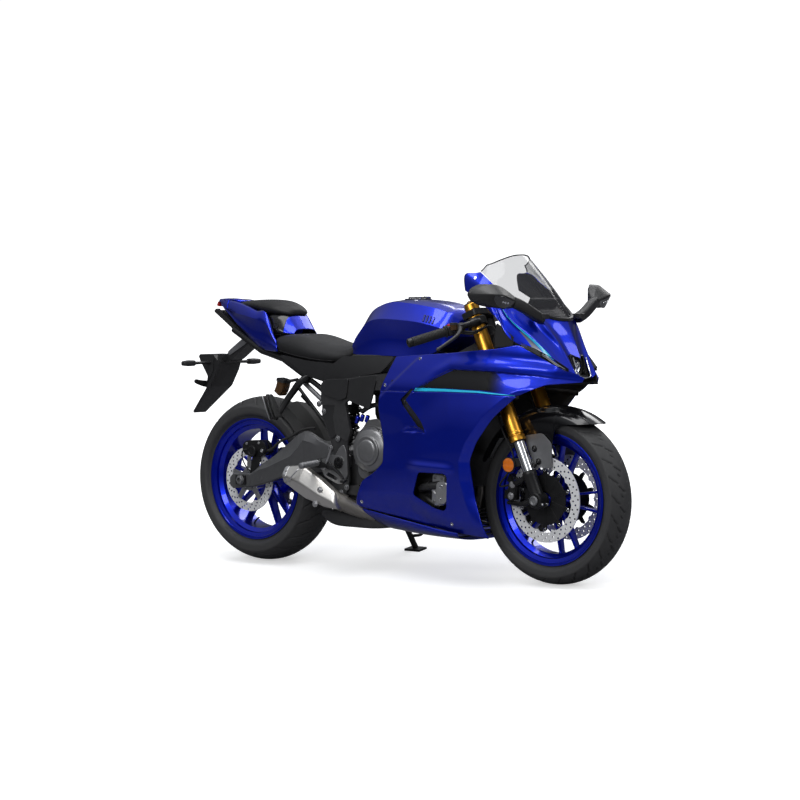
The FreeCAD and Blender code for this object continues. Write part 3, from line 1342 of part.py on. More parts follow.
def build():
    """Every piece by its name, with the bike upright."""
    pieces = {}
    pieces["front_tyre"] = tyre(FRONT_TYRE_RADIUS, FRONT_TYRE_WIDTH, FRONT_CROWN, FRONT_RIM_WIDTH, FRONT_AXLE)
    pieces["rear_tyre"] = tyre(REAR_TYRE_RADIUS, REAR_TYRE_WIDTH, REAR_CROWN, REAR_RIM_WIDTH, REAR_AXLE)
    pieces["front_rim"] = rim(FRONT_RIM_WIDTH, front_hub(), 40, 24, FRONT_AXLE, FRONT_SPOKE_TURN)
    pieces["rear_rim"] = rim(REAR_RIM_WIDTH, rear_hub(), 44, 30, REAR_AXLE, REAR_SPOKE_TURN)
    pieces["front_discs"] = front_discs()
    pieces["rear_disc"] = rear_disc()
    pieces["rear_sprocket"] = rear_sprocket()
    pieces["drive_chain"] = drive_chain()
    pieces["swingarm"] = swingarm()
    pieces["rear_axle"] = rear_axle()
    pieces["main_frame"] = main_frame()
    pieces["engine_block"] = engine_block()
    pieces["engine_covers"] = engine_covers()
    pieces["radiator"] = radiator()
    pieces["exhaust_pipes"] = exhaust_pipes()
    pieces["muffler"] = muffler()
    upper, lower = fairing_panels(fairing_skin())
    pieces["upper_fairing"] = both_sides(upper)
    pieces["lower_fairing"] = both_sides(lower)
    pieces["fairing_stays"] = fairing_stays()
    pieces["belly_cowl"] = belly_cowl()
    pieces["nose_cowl"] = nose_cowl()
    pieces["nose_lip"] = nose_lip()
    pieces["headlamp"] = headlamp()
    pieces["position_lamps"] = position_lamps()
    pieces["windscreen"] = windscreen()
    pieces["cockpit_cover"] = cockpit_cover()
    pieces["instrument"] = instrument()
    pieces["cowl_stay"] = cowl_stay()
    pieces["mirrors"] = mirrors()
    pieces["fuel_tank"] = fuel_tank()
    pieces["filler_ring"] = filler_ring()
    pieces["fuel_cap"] = fuel_cap()
    pieces["rider_seat"] = padded_loft(RIDER_SEAT)
    pieces["passenger_seat"] = padded_loft(PASSENGER_SEAT)
    pieces["tail_cowl"] = tail_cowl()
    pieces["hump_cover"] = hump_cover()
    pieces["undertray"] = undertray()
    pieces["seat_rail"] = seat_rail()
    pieces["side_covers"] = side_covers()
    pieces["tail_lamp"] = tail_lamp()
    pieces["plate_holder"] = plate_holder()
    pieces["rear_indicators"] = rear_indicators()
    pieces["rear_caliper"] = rear_caliper()
    pieces["rear_shock"] = rear_shock()
    pieces["hugger"] = hugger()
    pieces["rider_footrests"] = rider_footrests()
    pieces["passenger_footrests"] = passenger_footrests()
    pieces["triple_clamps"] = in_fork(triple_clamps())
    pieces["fork_outers"] = in_fork(fork_outers())
    pieces["fork_inners"] = in_fork(fork_inners())
    pieces["fork_feet"] = in_fork(fork_feet())
    pieces["front_axle"] = in_fork(front_axle())
    pieces["front_calipers"] = front_calipers()
    pieces["front_fender"] = front_fender()
    pieces["fender_stays"] = fender_stays()
    pieces["handlebars"] = handlebars()
    pieces["grips"] = grips()
    pieces["controls"] = controls()
    pieces["side_stand"] = side_stand()
    return seated(pieces)


def lean_placement(pieces):
    """Leans the bike to its left and centres its box on the floor."""
    tilt = Placement(Vector(0, 0, 0), Rotation(Vector(1, 0, 0), -LEAN))
    whole = Part.makeCompound(list(pieces.values()))
    whole.Placement = tilt
    box = whole.optimalBoundingBox(False)
    shift = Vector(-(box.XMin + box.XMax) / 2, -(box.YMin + box.YMax) / 2, -box.ZMin)
    return Placement(shift, tilt.Rotation)


if __name__ == "__main__":
    os.makedirs("parts", exist_ok=True)
    upright = build()
    lean = lean_placement(upright)
    for name, shape in upright.items():
        leaned = shape.copy()
        leaned.Placement = lean.multiply(leaned.Placement)
        leaned.exportStep(f"parts/{name}.step")
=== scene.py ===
# %% [markdown]
# # A full-fairing sport bike on its side stand
#
# The CAD model fixes where every piece is. Here each piece gets the shape and the finish that
# the eye expects. Most shapes are grids of points worked out with numpy: two numbers, u and v,
# run over the surface, and a formula turns them into a place.
#
# ## Loading the frame
#
# The imported model comes in first.

# %% Load the frame
import bpy
import json
import math
import numpy as np
from mathutils import Matrix


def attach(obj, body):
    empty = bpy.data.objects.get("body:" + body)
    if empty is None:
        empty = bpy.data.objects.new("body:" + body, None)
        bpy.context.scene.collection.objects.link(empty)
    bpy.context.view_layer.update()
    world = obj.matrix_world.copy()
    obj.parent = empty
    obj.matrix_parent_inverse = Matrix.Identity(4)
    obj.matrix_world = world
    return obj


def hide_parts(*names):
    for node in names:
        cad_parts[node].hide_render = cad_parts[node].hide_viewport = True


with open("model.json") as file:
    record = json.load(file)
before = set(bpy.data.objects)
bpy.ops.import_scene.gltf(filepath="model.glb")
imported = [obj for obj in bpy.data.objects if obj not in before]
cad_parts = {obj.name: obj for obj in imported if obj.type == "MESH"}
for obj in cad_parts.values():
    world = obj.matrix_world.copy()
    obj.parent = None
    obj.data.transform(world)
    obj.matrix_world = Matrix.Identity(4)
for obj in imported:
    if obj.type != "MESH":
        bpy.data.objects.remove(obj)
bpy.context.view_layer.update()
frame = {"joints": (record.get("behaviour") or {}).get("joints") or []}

# %% [markdown]
# ## Upright numbers for a leaning bike
#
# The bike stands on its side stand, so it leans. Its sizes are easier to read upright: X forward
# from the rear axle, Y to the rider's left, Z up from the road, all in millimetres. One small
# function carries upright points into the leaning frame. It reads the lean from the axle of
# the rear wheel.

# %% From upright millimetres to the leaning frame
joints = {joint["name"]: joint for joint in frame["joints"]}
rear_joint = joints["rear_wheel_spin"]
axle_way = np.array(rear_joint["axis"])
LEAN = math.atan2(-axle_way[2], axle_way[1])
REAR_AXLE = np.array([0.0, 0.0, 315.0])
FRONT_AXLE = np.array([1395.0, 0.0, 300.0])
TILT = np.array(Matrix.Rotation(-LEAN, 3, "X"))
SHIFT = np.array(rear_joint["pos_m"]) - TILT @ REAR_AXLE / 1000


def place(points):
    """Upright millimetres to metres in the leaning frame: turned about X, then shifted."""
    return np.asarray(points, float) / 1000 @ TILT.T + SHIFT


error = np.linalg.norm(place(FRONT_AXLE) - np.array(joints["front_wheel_spin"]["pos_m"]))
print("lean", round(math.degrees(LEAN), 2), "front axle off by", round(error * 1000, 3), "mm")

# %% [markdown]
# ## Curves, grids and meshes
#
# A designer gives a few points, and a smooth line or surface runs through them. The line here
# is a natural cubic spline over the length of its chords, read at even steps.

# %% Smooth lines and surfaces


def spline(knots, values, at):
    """A natural cubic spline: values at knots, read at the places in at. Works on whole arrays."""
    knots = np.asarray(knots, float)
    values = np.asarray(values, float)
    steps = np.diff(knots)
    count = len(knots)
    system = np.eye(count)
    bends = np.zeros_like(values)
    inner = np.arange(1, count - 1)
    system[inner, inner - 1] = steps[:-1]
    system[inner, inner] = 2 * (steps[:-1] + steps[1:])
    system[inner, inner + 1] = steps[1:]
    wide = steps.reshape((-1,) + (1,) * (values.ndim - 1))
    slopes = np.diff(values, axis=0) / wide
    bends[1:-1] = 6 * np.diff(slopes, axis=0)
    second = np.linalg.solve(system, bends.reshape(count, -1)).reshape(values.shape)
    cell = np.clip(np.searchsorted(knots, at, side="right") - 1, 0, count - 2)
    shape = (-1,) + (1,) * (values.ndim - 1)
    b = ((at - knots[cell]) / steps[cell]).reshape(shape)
    a = 1 - b
    h = steps[cell].reshape(shape)
    bent = ((a ** 3 - a) * second[cell] + (b ** 3 - b) * second[cell + 1]) * h ** 2 / 6
    return a * values[cell] + b * values[cell + 1] + bent


def chords(points):
    """The length along a row of points, from its start to each of them."""
    steps = np.linalg.norm(np.diff(points, axis=0), axis=-1)
    return np.concatenate([[0.0], np.cumsum(steps)])


def curve(points, count, closed=False):
    """Evenly spaced places on the smooth line through a few points."""
    points = np.asarray(points, float)
    if closed:
        loop = np.concatenate([points[-3:], points, points[:4]])
        along = chords(loop)
        fine = spline(along, loop, np.linspace(along[3], along[3 + len(points)], count * 4 + 1))
        length = chords(fine)
        even = np.linspace(0, length[-1], count + 1)[:-1]
    else:
        along = chords(points)
        fine = spline(along, points, np.linspace(0, along[-1], count * 4 + 1))
        length = chords(fine)
        even = np.linspace(0, length[-1], count)
    return np.stack([np.interp(even, length, fine[:, k]) for k in range(points.shape[1])], axis=1)


def superellipse(power, count):
    """Points round |x|^p + |y|^p = 1: a circle for p = 2, a rounded square for more."""
    t = 2 * math.pi * np.arange(count) / count
    way = np.stack([np.cos(t), np.sin(t)], 1)
    return np.sign(way) * np.abs(way) ** (2 / power)


def quads(rows, columns, wrap_rows=False, wrap_columns=False):
    """The four corners of each cell of a grid, as whole index arrays."""
    i, j = np.meshgrid(np.arange(rows if wrap_rows else rows - 1),
                       np.arange(columns if wrap_columns else columns - 1), indexing="ij")
    i = i.ravel()
    j = j.ravel()
    below = (i + 1) % rows
    right = (j + 1) % columns
    return np.stack([i * columns + j, below * columns + j, below * columns + right, i * columns + right],
                    1).tolist()


def sheet(grid, wrap_rows=False, wrap_columns=False):
    """A grid of points as vertices and faces."""
    rows, columns = grid.shape[:2]
    return grid.reshape(-1, 3), quads(rows, columns, wrap_rows, wrap_columns)


def capped(grid):
    """A closed tube of rings: the grid wraps round, and a flat face ends it at both sides."""
    rows, columns = grid.shape[:2]
    points, faces = sheet(grid, wrap_columns=True)
    first = list(range(columns))
    last = [(rows - 1) * columns + k for k in range(columns)]
    return points, faces + [first, last[::-1]]


def join(*shapes):
    """Several shapes as one list of vertices and faces."""
    points = []
    faces = []
    start = 0
    for vertices, cells in shapes:
        points.append(vertices)
        faces.extend([[corner + start for corner in cell] for cell in cells])
        start += len(vertices)
    return np.concatenate(points), faces


def mirrored(shape):
    """The same shape on the bike's other side, its faces turned so that they point outwards."""
    points, faces = shape
    return points * [1, -1, 1], [cell[::-1] for cell in faces]


def both(shape):
    """A shape and its mirror image."""
    return join(shape, mirrored(shape))


print(
    "a spline through 3 points, read at 5:",
    curve([[0, 0, 0], [1, 1, 0], [2, 0, 0]], 5).round(2).tolist())

# %% [markdown]
# ## Four ways to make a piece
#
# Most pieces of a bike are one of four forms: a profile turned about an axle, a section carried
# along a path, an outline cut from plate, or a loft through sections. Each gets one function.

# %% Turned, swept, cut and lofted forms


def axes_along(way):
    """Two unit directions at right angles to a way, and the way itself."""
    way = np.asarray(way, float)
    way = way / np.linalg.norm(way)
    helper = np.array([0.0, 0.0, 1.0]) if abs(way[2]) < 0.9 else np.array([1.0, 0.0, 0.0])
    first = np.cross(helper, way)
    first = first / np.linalg.norm(first)
    return first, np.cross(way, first), way


def lathe(profile, centre, way=(0, 1, 0), steps=64, start=0.0, sweep=360.0):
    """A profile of (distance along the axle, radius) turned about it: angle by place."""
    first, second, along = axes_along(way)
    profile = np.asarray(profile, float)
    full = abs(sweep) >= 360
    count = steps if full else steps + 1
    angle = np.radians(start + sweep * np.arange(count) / steps)
    spoke = np.cos(angle)[:, None] * first + np.sin(angle)[:, None] * second
    grid = centre + profile[None, :, :1] * along + profile[None, :, 1:] * spoke[:, None, :]
    return sheet(grid, wrap_rows=full)


def section_frames(path):
    """The forward, side and up directions along a path, with the twist kept small."""
    path = np.asarray(path, float)
    ahead = np.gradient(path, axis=0)
    ahead = ahead / np.linalg.norm(ahead, axis=1, keepdims=True)
    helper = np.array([0.0, 0.0, 1.0])
    if np.abs(ahead[:, 2]).max() > 0.93:
        helper = np.array(
            [1.0, 0.0, 0.0]) if np.abs(ahead[:, 0]).max() < 0.93 else np.array([0.0, 1.0, 0.0])
    side = np.cross(helper, ahead)
    side = side / np.linalg.norm(side, axis=1, keepdims=True)
    return side, np.cross(ahead, side)


def tube(points, radius, around=16, along=None, smooth=True):
    """A round bar along a path. The radius is one number, or one for each point of the path."""
    path = curve(
        points, along or 8 * len(points)) if smooth and len(points) > 2 else np.asarray(points, float)
    side, up = section_frames(path)
    angle = 2 * math.pi * np.arange(around) / around
    given = np.atleast_1d(np.asarray(radius, float))
    at = np.linspace(0, len(given) - 1, len(path))
    size = np.interp(at, np.arange(len(given)), given)[:, None, None]
    ring = np.cos(angle)[None, :, None] * side[:, None] + np.sin(angle)[None, :, None] * up[:, None]
    return capped((path[:, None] + size * ring)[:, ::-1])


def corners(outline, radius, steps=5):
    """An outline with each corner replaced by a small arc (a quadratic curve between two tangents)."""
    outline = np.asarray(outline, float)
    before = np.roll(outline, 1, axis=0) - outline
    after = np.roll(outline, -1, axis=0) - outline
    reach_before = np.linalg.norm(before, axis=1, keepdims=True)
    reach_after = np.linalg.norm(after, axis=1, keepdims=True)
    reach = np.minimum(np.minimum(reach_before, reach_after) * 0.45, radius)
    start = outline + before / reach_before * reach
    end = outline + after / reach_after * reach
    t = np.linspace(0, 1, steps)[None, :, None]
    arc = (1 - t) ** 2 * start[:, None] + 2 * t * (1 - t) * outline[:, None] + t ** 2 * end[:, None]
    return arc.reshape(-1, outline.shape[1])


def turn_sign(outline):
    """Plus one if an outline of (x, z) pairs runs anticlockwise, else minus one."""
    x, z = outline[:, 0], outline[:, 1]
    return 1 if np.sum(x * np.roll(z, -1) - np.roll(x, -1) * z) > 0 else -1


def plate(outline, y_low, y_high, radius=4.0, steps=5):
    """An outline of (x, z) pairs cut from plate, from y_low to y_high."""
    outline = corners(outline, radius, steps) if radius else np.asarray(outline, float)
    if turn_sign(outline) > 0:
        outline = outline[::-1]
    count = len(outline)
    near = np.stack([outline[:, 0], np.full(count, float(y_low)), outline[:, 1]], 1)
    far = near + [0, y_high - y_low, 0]
    grid = np.stack([near, far])
    points, faces = sheet(grid, wrap_columns=True)
    return points, [cell[::-1] for cell in faces] + [
        list(range(count))[::-1], list(range(count, 2 * count))
    ]


def moved(shape, turn_axis, degrees, about):
    """A shape turned about an axis through a point."""
    points, faces = shape
    turn = np.array(Matrix.Rotation(math.radians(degrees), 3, turn_axis))
    return (points - about) @ turn.T + about, faces


def shifted(shape, by):
    """A shape moved by a step."""
    return shape[0] + np.asarray(by, float), shape[1]


def repeated(shape, copies, centre, turn=360.0, axis=(0, 1, 0)):
    """A shape and its copies, spread evenly about an axle."""
    step = turn / copies
    return join(*[moved(shape, axis, step * k, centre) for k in range(copies)])


def bolt(at, way, radius=5.0, head=4.0, socket=True):
    """A cap screw: a turned head with a chamfer and a hexagonal socket; at is where it seats."""
    rim = [(0, radius * 0.96), (0, radius), (head * 0.8, radius), (head, radius * 0.86)]
    inner = radius * 0.55 if socket else 0.02
    profile = rim + [(head, inner), (head * 0.35 if socket else head, inner), (head * 0.35, 0.02)]
    return lathe(profile, np.asarray(at, float), way, steps=12)


print("a bolt has", len(bolt((0, 0, 0), (0, 1, 0))[1]), "faces")
# %% [markdown]
# ## From a shape to a piece
#
# A finished piece is one mesh object at the origin. Its vertices carry the place, doubles at
# seams and poles are merged, and a closed shell has its faces turned outwards. Solidify gives a
# panel its wall, and Bevel rounds edges so that they catch the light.

# %% Make a piece
import bmesh

made = []
# the share of faces that a thinned panel keeps: all of its outer skin, a fifth of its hidden inner one
THINNED_SHARE = 0.6
DOUBLES = 2e-5
NO_AREA = 1e-12


def piece(name, shape, body, finish, stands_for=(), wall=0.0, bevel=0.0, rounds=2, smooth=1, fold=35.0,
          cut_with=(), inside=None, thinned=False):
    """A mesh object from a shape in upright millimetres, with its finish, that rides on a body."""
    points, faces = shape
    mesh = bpy.data.meshes.new(name)
    mesh.from_pydata(place(points).tolist(), [], faces)
    work = bmesh.new()
    work.from_mesh(mesh)
    bmesh.ops.remove_doubles(work, verts=work.verts, dist=DOUBLES)
    flat = [face for face in work.faces if face.calc_area() < NO_AREA]
    bmesh.ops.delete(work, geom=flat, context="FACES_ONLY")
    if not any(edge.is_boundary for edge in work.edges):
        bmesh.ops.recalc_face_normals(work, faces=work.faces)
    work.to_mesh(mesh)
    work.free()
    if smooth:
        mesh.shade_smooth()
        mesh.set_sharp_from_angle(angle=math.radians(fold))
    mesh.materials.append(finish)
    if inside:
        mesh.materials.append(inside)
    thing = bpy.data.objects.new(name, mesh)
    bpy.context.scene.collection.objects.link(thing)
    if wall:
        skin = thing.modifiers.new("wall", "SOLIDIFY")
        skin.thickness = abs(wall) / 1000
        skin.offset = -1.0 if wall > 0 else 1.0
        skin.use_even_offset = True
        skin.material_offset = 1 if inside else 0
        if thinned:
            thing.vertex_groups.new(name="inner_skin")
            skin.shell_vertex_group = "inner_skin"
            fewer = thing.modifiers.new("fewer", "DECIMATE")
            fewer.vertex_group = "inner_skin"
            fewer.ratio = THINNED_SHARE
    for cutter in cut_with:
        hole = thing.modifiers.new("hole", "BOOLEAN")
        hole.operation = "DIFFERENCE"
        hole.solver = "EXACT"
        hole.object = cutter
    if bevel:
        edge = thing.modifiers.new("edge", "BEVEL")
        edge.width = bevel / 1000
        edge.segments = rounds
        edge.limit_method = "ANGLE"
        edge.angle_limit = math.radians(fold)
        edge.harden_normals = True
    if cut_with:
        apply_modifiers(thing)
    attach(thing, body)
    for node in stands_for:
        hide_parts(node)
    made.append(name)
    return thing


def apply_modifiers(thing):
    """Bakes a piece's modifiers into its mesh."""
    bpy.context.view_layer.update()
    view = bpy.context.evaluated_depsgraph_get()
    baked = bpy.data.meshes.new_from_object(thing.evaluated_get(view), depsgraph=view)
    thing.modifiers.clear()
    thing.data = baked


def cutter(shape, slot=0):
    """A hidden shape that cuts a hole; the hole's walls take the piece's material of that slot."""
    mesh = bpy.data.meshes.new("cutter")
    mesh.from_pydata(place(shape[0]).tolist(), [], shape[1])
    work = bmesh.new()
    work.from_mesh(mesh)
    bmesh.ops.remove_doubles(work, verts=work.verts, dist=DOUBLES / 2)
    bmesh.ops.recalc_face_normals(work, faces=work.faces)
    work.to_mesh(mesh)
    work.free()
    mesh.polygons.foreach_set("material_index", np.full(len(mesh.polygons), slot, dtype=np.int32))
    thing = bpy.data.objects.new("cutter", mesh)
    bpy.context.scene.collection.objects.link(thing)
    return thing


def remove(*things):
    """Deletes helper objects."""
    for thing in things:
        bpy.data.objects.remove(thing)


print("pieces so far:", len(made))

# %% [markdown]
# ## Effects that several finishes share
#
# Grain, tone and brushing are node groups. Each has named inputs, so every finish sets its own
# scale and strength. They read Object coordinates, which are metres on this bike.

# %% Node groups


def group(name, inputs, outputs):
    """An empty shader group with its sockets; inputs are (name, kind, default)."""
    tree = bpy.data.node_groups.new(name, "ShaderNodeTree")
    for label, kind, default in inputs:
        socket = tree.interface.new_socket(label, in_out="INPUT", socket_type=kind)
        if default is not None:
            socket.default_value = default
    for label, kind in outputs:
        tree.interface.new_socket(label, in_out="OUTPUT", socket_type=kind)
    given = tree.nodes.new("NodeGroupInput")
    return tree, given.outputs, tree.nodes.new("NodeGroupOutput").inputs


def node(tree, kind, operation=None, **values):
    """A shader node with plain values on its sockets; second= is for a Math node's second socket."""
    new_node = tree.nodes.new("ShaderNode" + kind)
    if operation:
        new_node.operation = operation
    for label, value in values.items():
        new_node.inputs[1 if label == "second" else label.replace("_", " ")].default_value = value
    return new_node


def wire(tree, *pairs):
    """Links each pair of sockets, from an output to an input."""
    for start, end in pairs:
        tree.links.new(start, end)


NUMBER = "NodeSocketFloat"
COLOUR = "NodeSocketColor"
VECTOR = "NodeSocketVector"


def grain_group():
    """Fine noise as a bump: a moulded or cast surface."""
    tree, given, out = group("grain", [("Scale", NUMBER, 900.0), ("Strength", NUMBER, 0.2),
                                       ("Roughness", NUMBER, 0.5), ("Spread", NUMBER, 0.1)],
                             [("Normal", VECTOR), ("Roughness", NUMBER)])
    on_bike = node(tree, "TexCoord").outputs["Object"]
    noise = node(tree, "TexNoise", Detail=3.0)
    bump = node(tree, "Bump", Distance=0.0006)
    wide = node(tree, "TexNoise", Scale=14.0)
    vary = node(tree, "Math", "MULTIPLY_ADD")
    centred = node(tree, "Math", "SUBTRACT", second=0.5)
    wire(tree, (on_bike, noise.inputs["Vector"]), (on_bike, wide.inputs["Vector"]),
         (given["Scale"], noise.inputs["Scale"]), (noise.outputs["Fac"], bump.inputs["Height"]),
         (given["Strength"], bump.inputs["Strength"]), (wide.outputs["Fac"], centred.inputs[0]),
         (centred.outputs[0], vary.inputs[0]), (given["Spread"], vary.inputs[1]),
         (given["Roughness"], vary.inputs[2]), (bump.outputs["Normal"], out["Normal"]),
         (vary.outputs[0], out["Roughness"]))
    return tree


def tone_group():
    """Two close colours that drift into each other over the surface."""
    tree, given, out = group(
        "tone", [("First", COLOUR, None), ("Second", COLOUR, None), ("Scale", NUMBER, 20.0)],
        [("Color", COLOUR)])
    on_bike = node(tree, "TexCoord").outputs["Object"]
    noise = node(tree, "TexNoise", Detail=4.0)
    mix = node(tree, "Mix")
    mix.data_type = "RGBA"
    wire(tree, (on_bike, noise.inputs["Vector"]), (given["Scale"], noise.inputs["Scale"]),
         (noise.outputs["Fac"], mix.inputs["Factor"]), (given["First"], mix.inputs["A"]),
         (given["Second"], mix.inputs["B"]), (mix.outputs["Result"], out["Color"]))
    return tree


def cells_group():
    """Small cells as a bump: metal flake when tiny and weak, leather grain when larger."""
    tree, given, out = group(
        "cells", [("Scale", NUMBER, 1500.0), ("Strength", NUMBER, 0.1)], [("Normal", VECTOR)])
    on_bike = node(tree, "TexCoord").outputs["Object"]
    cells = node(tree, "TexVoronoi")
    cells.feature = "SMOOTH_F1"
    bump = node(tree, "Bump", Distance=0.0008)
    wire(tree, (on_bike, cells.inputs["Vector"]), (given["Scale"], cells.inputs["Scale"]),
         (cells.outputs["Distance"], bump.inputs["Height"]), (given["Strength"], bump.inputs["Strength"]),
         (bump.outputs["Normal"], out["Normal"]))
    return tree


def brushed_group():
    """Noise stretched along one way: the lines that a belt or a lathe leaves."""
    tree, given, out = group(
        "brushed",
        [
            ("Stretch", VECTOR, (40.0, 900.0, 900.0)), ("Strength", NUMBER, 0.15),
            ("Roughness", NUMBER, 0.3)
        ],
        [("Normal", VECTOR), ("Roughness", NUMBER)])
    on_bike = node(tree, "TexCoord").outputs["Object"]
    scaled = node(tree, "VectorMath", "MULTIPLY")
    noise = node(tree, "TexNoise", Scale=1.0, Detail=3.0)
    bump = node(tree, "Bump", Distance=0.0004)
    vary = node(tree, "Math", "MULTIPLY_ADD", second=0.12)
    wire(tree, (on_bike, scaled.inputs[0]), (given["Stretch"], scaled.inputs[1]),
         (scaled.outputs["Vector"], noise.inputs["Vector"]), (noise.outputs["Fac"], bump.inputs["Height"]),
         (given["Strength"], bump.inputs["Strength"]), (noise.outputs["Fac"], vary.inputs[0]),
         (given["Roughness"], vary.inputs[2]), (bump.outputs["Normal"], out["Normal"]),
         (vary.outputs[0], out["Roughness"]))
    return tree


EFFECTS = {"grain": grain_group(), "tone": tone_group(), "cells": cells_group(), "brushed": brushed_group()}
print("shared effects:", sorted(EFFECTS))

# %% [markdown]
# ## The finishes
#
# A finish is one material. It starts from plain values on the shader's sockets, and the shared
# effects add what changes over the surface: grain, drifting tone, flake or brushing.

# %% Finishes


def effect(material, name, **values):
    """Places a shared effect in a material and sets its inputs."""
    node = material.node_tree.nodes.new("ShaderNodeGroup")
    node.node_tree = EFFECTS[name]
    for label, value in values.items():
        node.inputs[label].default_value = value
    return node


def finish(name, slot, colour, second=None, drift=20.0, metallic=0.0, rough=0.5, grain=None, cells=None,
           brushed=None, **sockets):
    """A material: colours drift between two tones, and grain, cells or brushing shape its surface."""
    material = bpy.data.materials.new(name)
    material.use_nodes = True
    material["slot"] = slot
    shader = material.node_tree.nodes["Principled BSDF"]
    link = material.node_tree.links.new
    shader.inputs["Metallic"].default_value = metallic
    shader.inputs["Roughness"].default_value = rough
    for label, value in sockets.items():
        shader.inputs[label.replace("_", " ")].default_value = value
    shown = (*colour, 1.0)
    shader.inputs["Base Color"].default_value = shown
    if second:
        tone = effect(material, "tone", First=shown, Second=(*second, 1.0), Scale=drift)
        link(tone.outputs["Color"], shader.inputs["Base Color"])
    if grain:
        scale, strength, spread = grain
        node = effect(material, "grain", Scale=scale, Strength=strength, Roughness=rough, Spread=spread)
        link(node.outputs["Normal"], shader.inputs["Normal"])
        link(node.outputs["Roughness"], shader.inputs["Roughness"])
    if cells:
        scale, strength = cells
        node = effect(material, "cells", Scale=scale, Strength=strength)
        link(node.outputs["Normal"], shader.inputs["Normal"])
    if brushed:
        stretch, strength = brushed
        node = effect(material, "brushed", Stretch=stretch, Strength=strength, Roughness=rough)
        link(node.outputs["Normal"], shader.inputs["Normal"])
        link(node.outputs["Roughness"], shader.inputs["Roughness"])
    return material


def facing_tint(material, edge_colour):
    """Metallic paint darkens where it turns away: Layer Weight mixes a second colour in at the edge."""
    tree = material.node_tree
    base = tree.nodes["Principled BSDF"].inputs["Base Color"]
    weight = node(tree, "LayerWeight", Blend=0.35)
    mix = node(tree, "Mix")
    mix.data_type = "RGBA"
    mix.inputs["B"].default_value = (*edge_colour, 1.0)
    wire(
        tree, (base.links[0].from_socket, mix.inputs["A"]),
        (weight.outputs["Facing"], mix.inputs["Factor"]), (mix.outputs["Result"], base))
    return material


def denser_edge(material, face_on, edge_on):
    """A clear sheet hides more where it turns away: Alpha rises with the sixth power of Facing."""
    tree = material.node_tree
    weight = node(tree, "LayerWeight", Blend=0.5)
    steep = node(tree, "Math", "POWER", second=6.0)
    share = node(tree, "MapRange", To_Min=face_on, To_Max=edge_on)
    wire(tree, (weight.outputs["Facing"], steep.inputs[0]), (steep.outputs["Value"], share.inputs["Value"]),
         (share.outputs["Result"], tree.nodes["Principled BSDF"].inputs["Alpha"]))
    return material


paint_blue = facing_tint(finish(
    "paint_blue", "blue_body", (0.0, 0.022, 0.62), (0.0, 0.017, 0.52), 9.0, metallic=0.82, rough=0.34,
    cells=(2600.0, 0.05), Coat_Weight=0.65, Coat_Roughness=0.03), (0.0, 0.002, 0.14))
rim_blue = facing_tint(finish(
    "rim_blue", "blue_metal", (0.0, 0.02, 0.68), (0.0, 0.014, 0.56), 12.0, metallic=0.85, rough=0.28,
    cells=(2600.0, 0.05), Coat_Weight=0.6, Coat_Roughness=0.05), (0.0, 0.002, 0.16))
gloss_black = finish("gloss_black", "gloss_black", (0.004, 0.004, 0.005), (0.007, 0.007, 0.008), rough=0.14,
                     grain=(700.0, 0.02, 0.04))
satin_black = finish(
    "satin_black", "satin_black", (0.012, 0.012, 0.013), (0.018, 0.018, 0.019), 30.0, rough=0.46,
    grain=(1500.0, 0.25, 0.12))
soft_black = finish("soft_black", "rubber", (0.014, 0.014, 0.015), (0.02, 0.02, 0.02), 40.0, rough=0.72,
                    grain=(1100.0, 0.3, 0.1))
tyre_rubber = finish("tyre_rubber", "tyre", (0.034, 0.034, 0.035), (0.046, 0.046, 0.047), 25.0, rough=0.62,
                     grain=(900.0, 0.35, 0.15))
seat_vinyl = finish("seat_vinyl", "seat", (0.009, 0.009, 0.01), (0.013, 0.013, 0.014), 30.0, rough=0.6,
                    cells=(900.0, 0.35), Specular_IOR_Level=0.3)
gold_tube = finish(
    "gold_tube", "gold", (0.80, 0.40, 0.055), (0.72, 0.34, 0.04), 30.0, metallic=1.0, rough=0.24,
    brushed=((60.0, 60.0, 900.0), 0.08))
chrome = finish("chrome", "chrome", (0.75, 0.76, 0.78), (0.7, 0.71, 0.73), metallic=1.0, rough=0.08,
                grain=(400.0, 0.02, 0.05))
bright_steel = finish(
    "bright_steel", "disc_steel", (0.62, 0.62, 0.63), (0.52, 0.52, 0.53), 60.0, metallic=1.0,
    rough=0.28, brushed=((500.0, 60.0, 500.0), 0.2))
muffler_steel = finish(
    "muffler_steel", "muffler_steel", (0.68, 0.66, 0.63), (0.58, 0.56, 0.53), 20.0, metallic=1.0,
    rough=0.3, brushed=((40.0, 900.0, 900.0), 0.22))
pipe_steel = finish(
    "pipe_steel", "muffler_steel", (0.3, 0.285, 0.265), (0.2, 0.185, 0.165), 18.0, metallic=0.9,
    rough=0.42, grain=(500.0, 0.15, 0.2))
disc_steel = finish("disc_steel", "disc_steel", (0.92, 0.92, 0.93), (0.82, 0.82, 0.83), 60.0, metallic=0.25,
                    rough=0.4, brushed=((500.0, 60.0, 500.0), 0.15))
cast_grey = finish(
    "cast_grey", "grey_alloy", (0.085, 0.086, 0.09), (0.11, 0.111, 0.115), 40.0, metallic=0.4,
    rough=0.42, grain=(700.0, 0.3, 0.15))
engine_grey = finish(
    "engine_grey", "engine_alloy", (0.045, 0.045, 0.047), (0.07, 0.07, 0.072), 60.0, metallic=0.6,
    rough=0.5, grain=(420.0, 0.5, 0.2))
cover_grey = finish(
    "cover_grey", "engine_alloy", (0.2, 0.2, 0.205), (0.25, 0.25, 0.255), 50.0, metallic=0.75,
    rough=0.38, grain=(650.0, 0.25, 0.15))
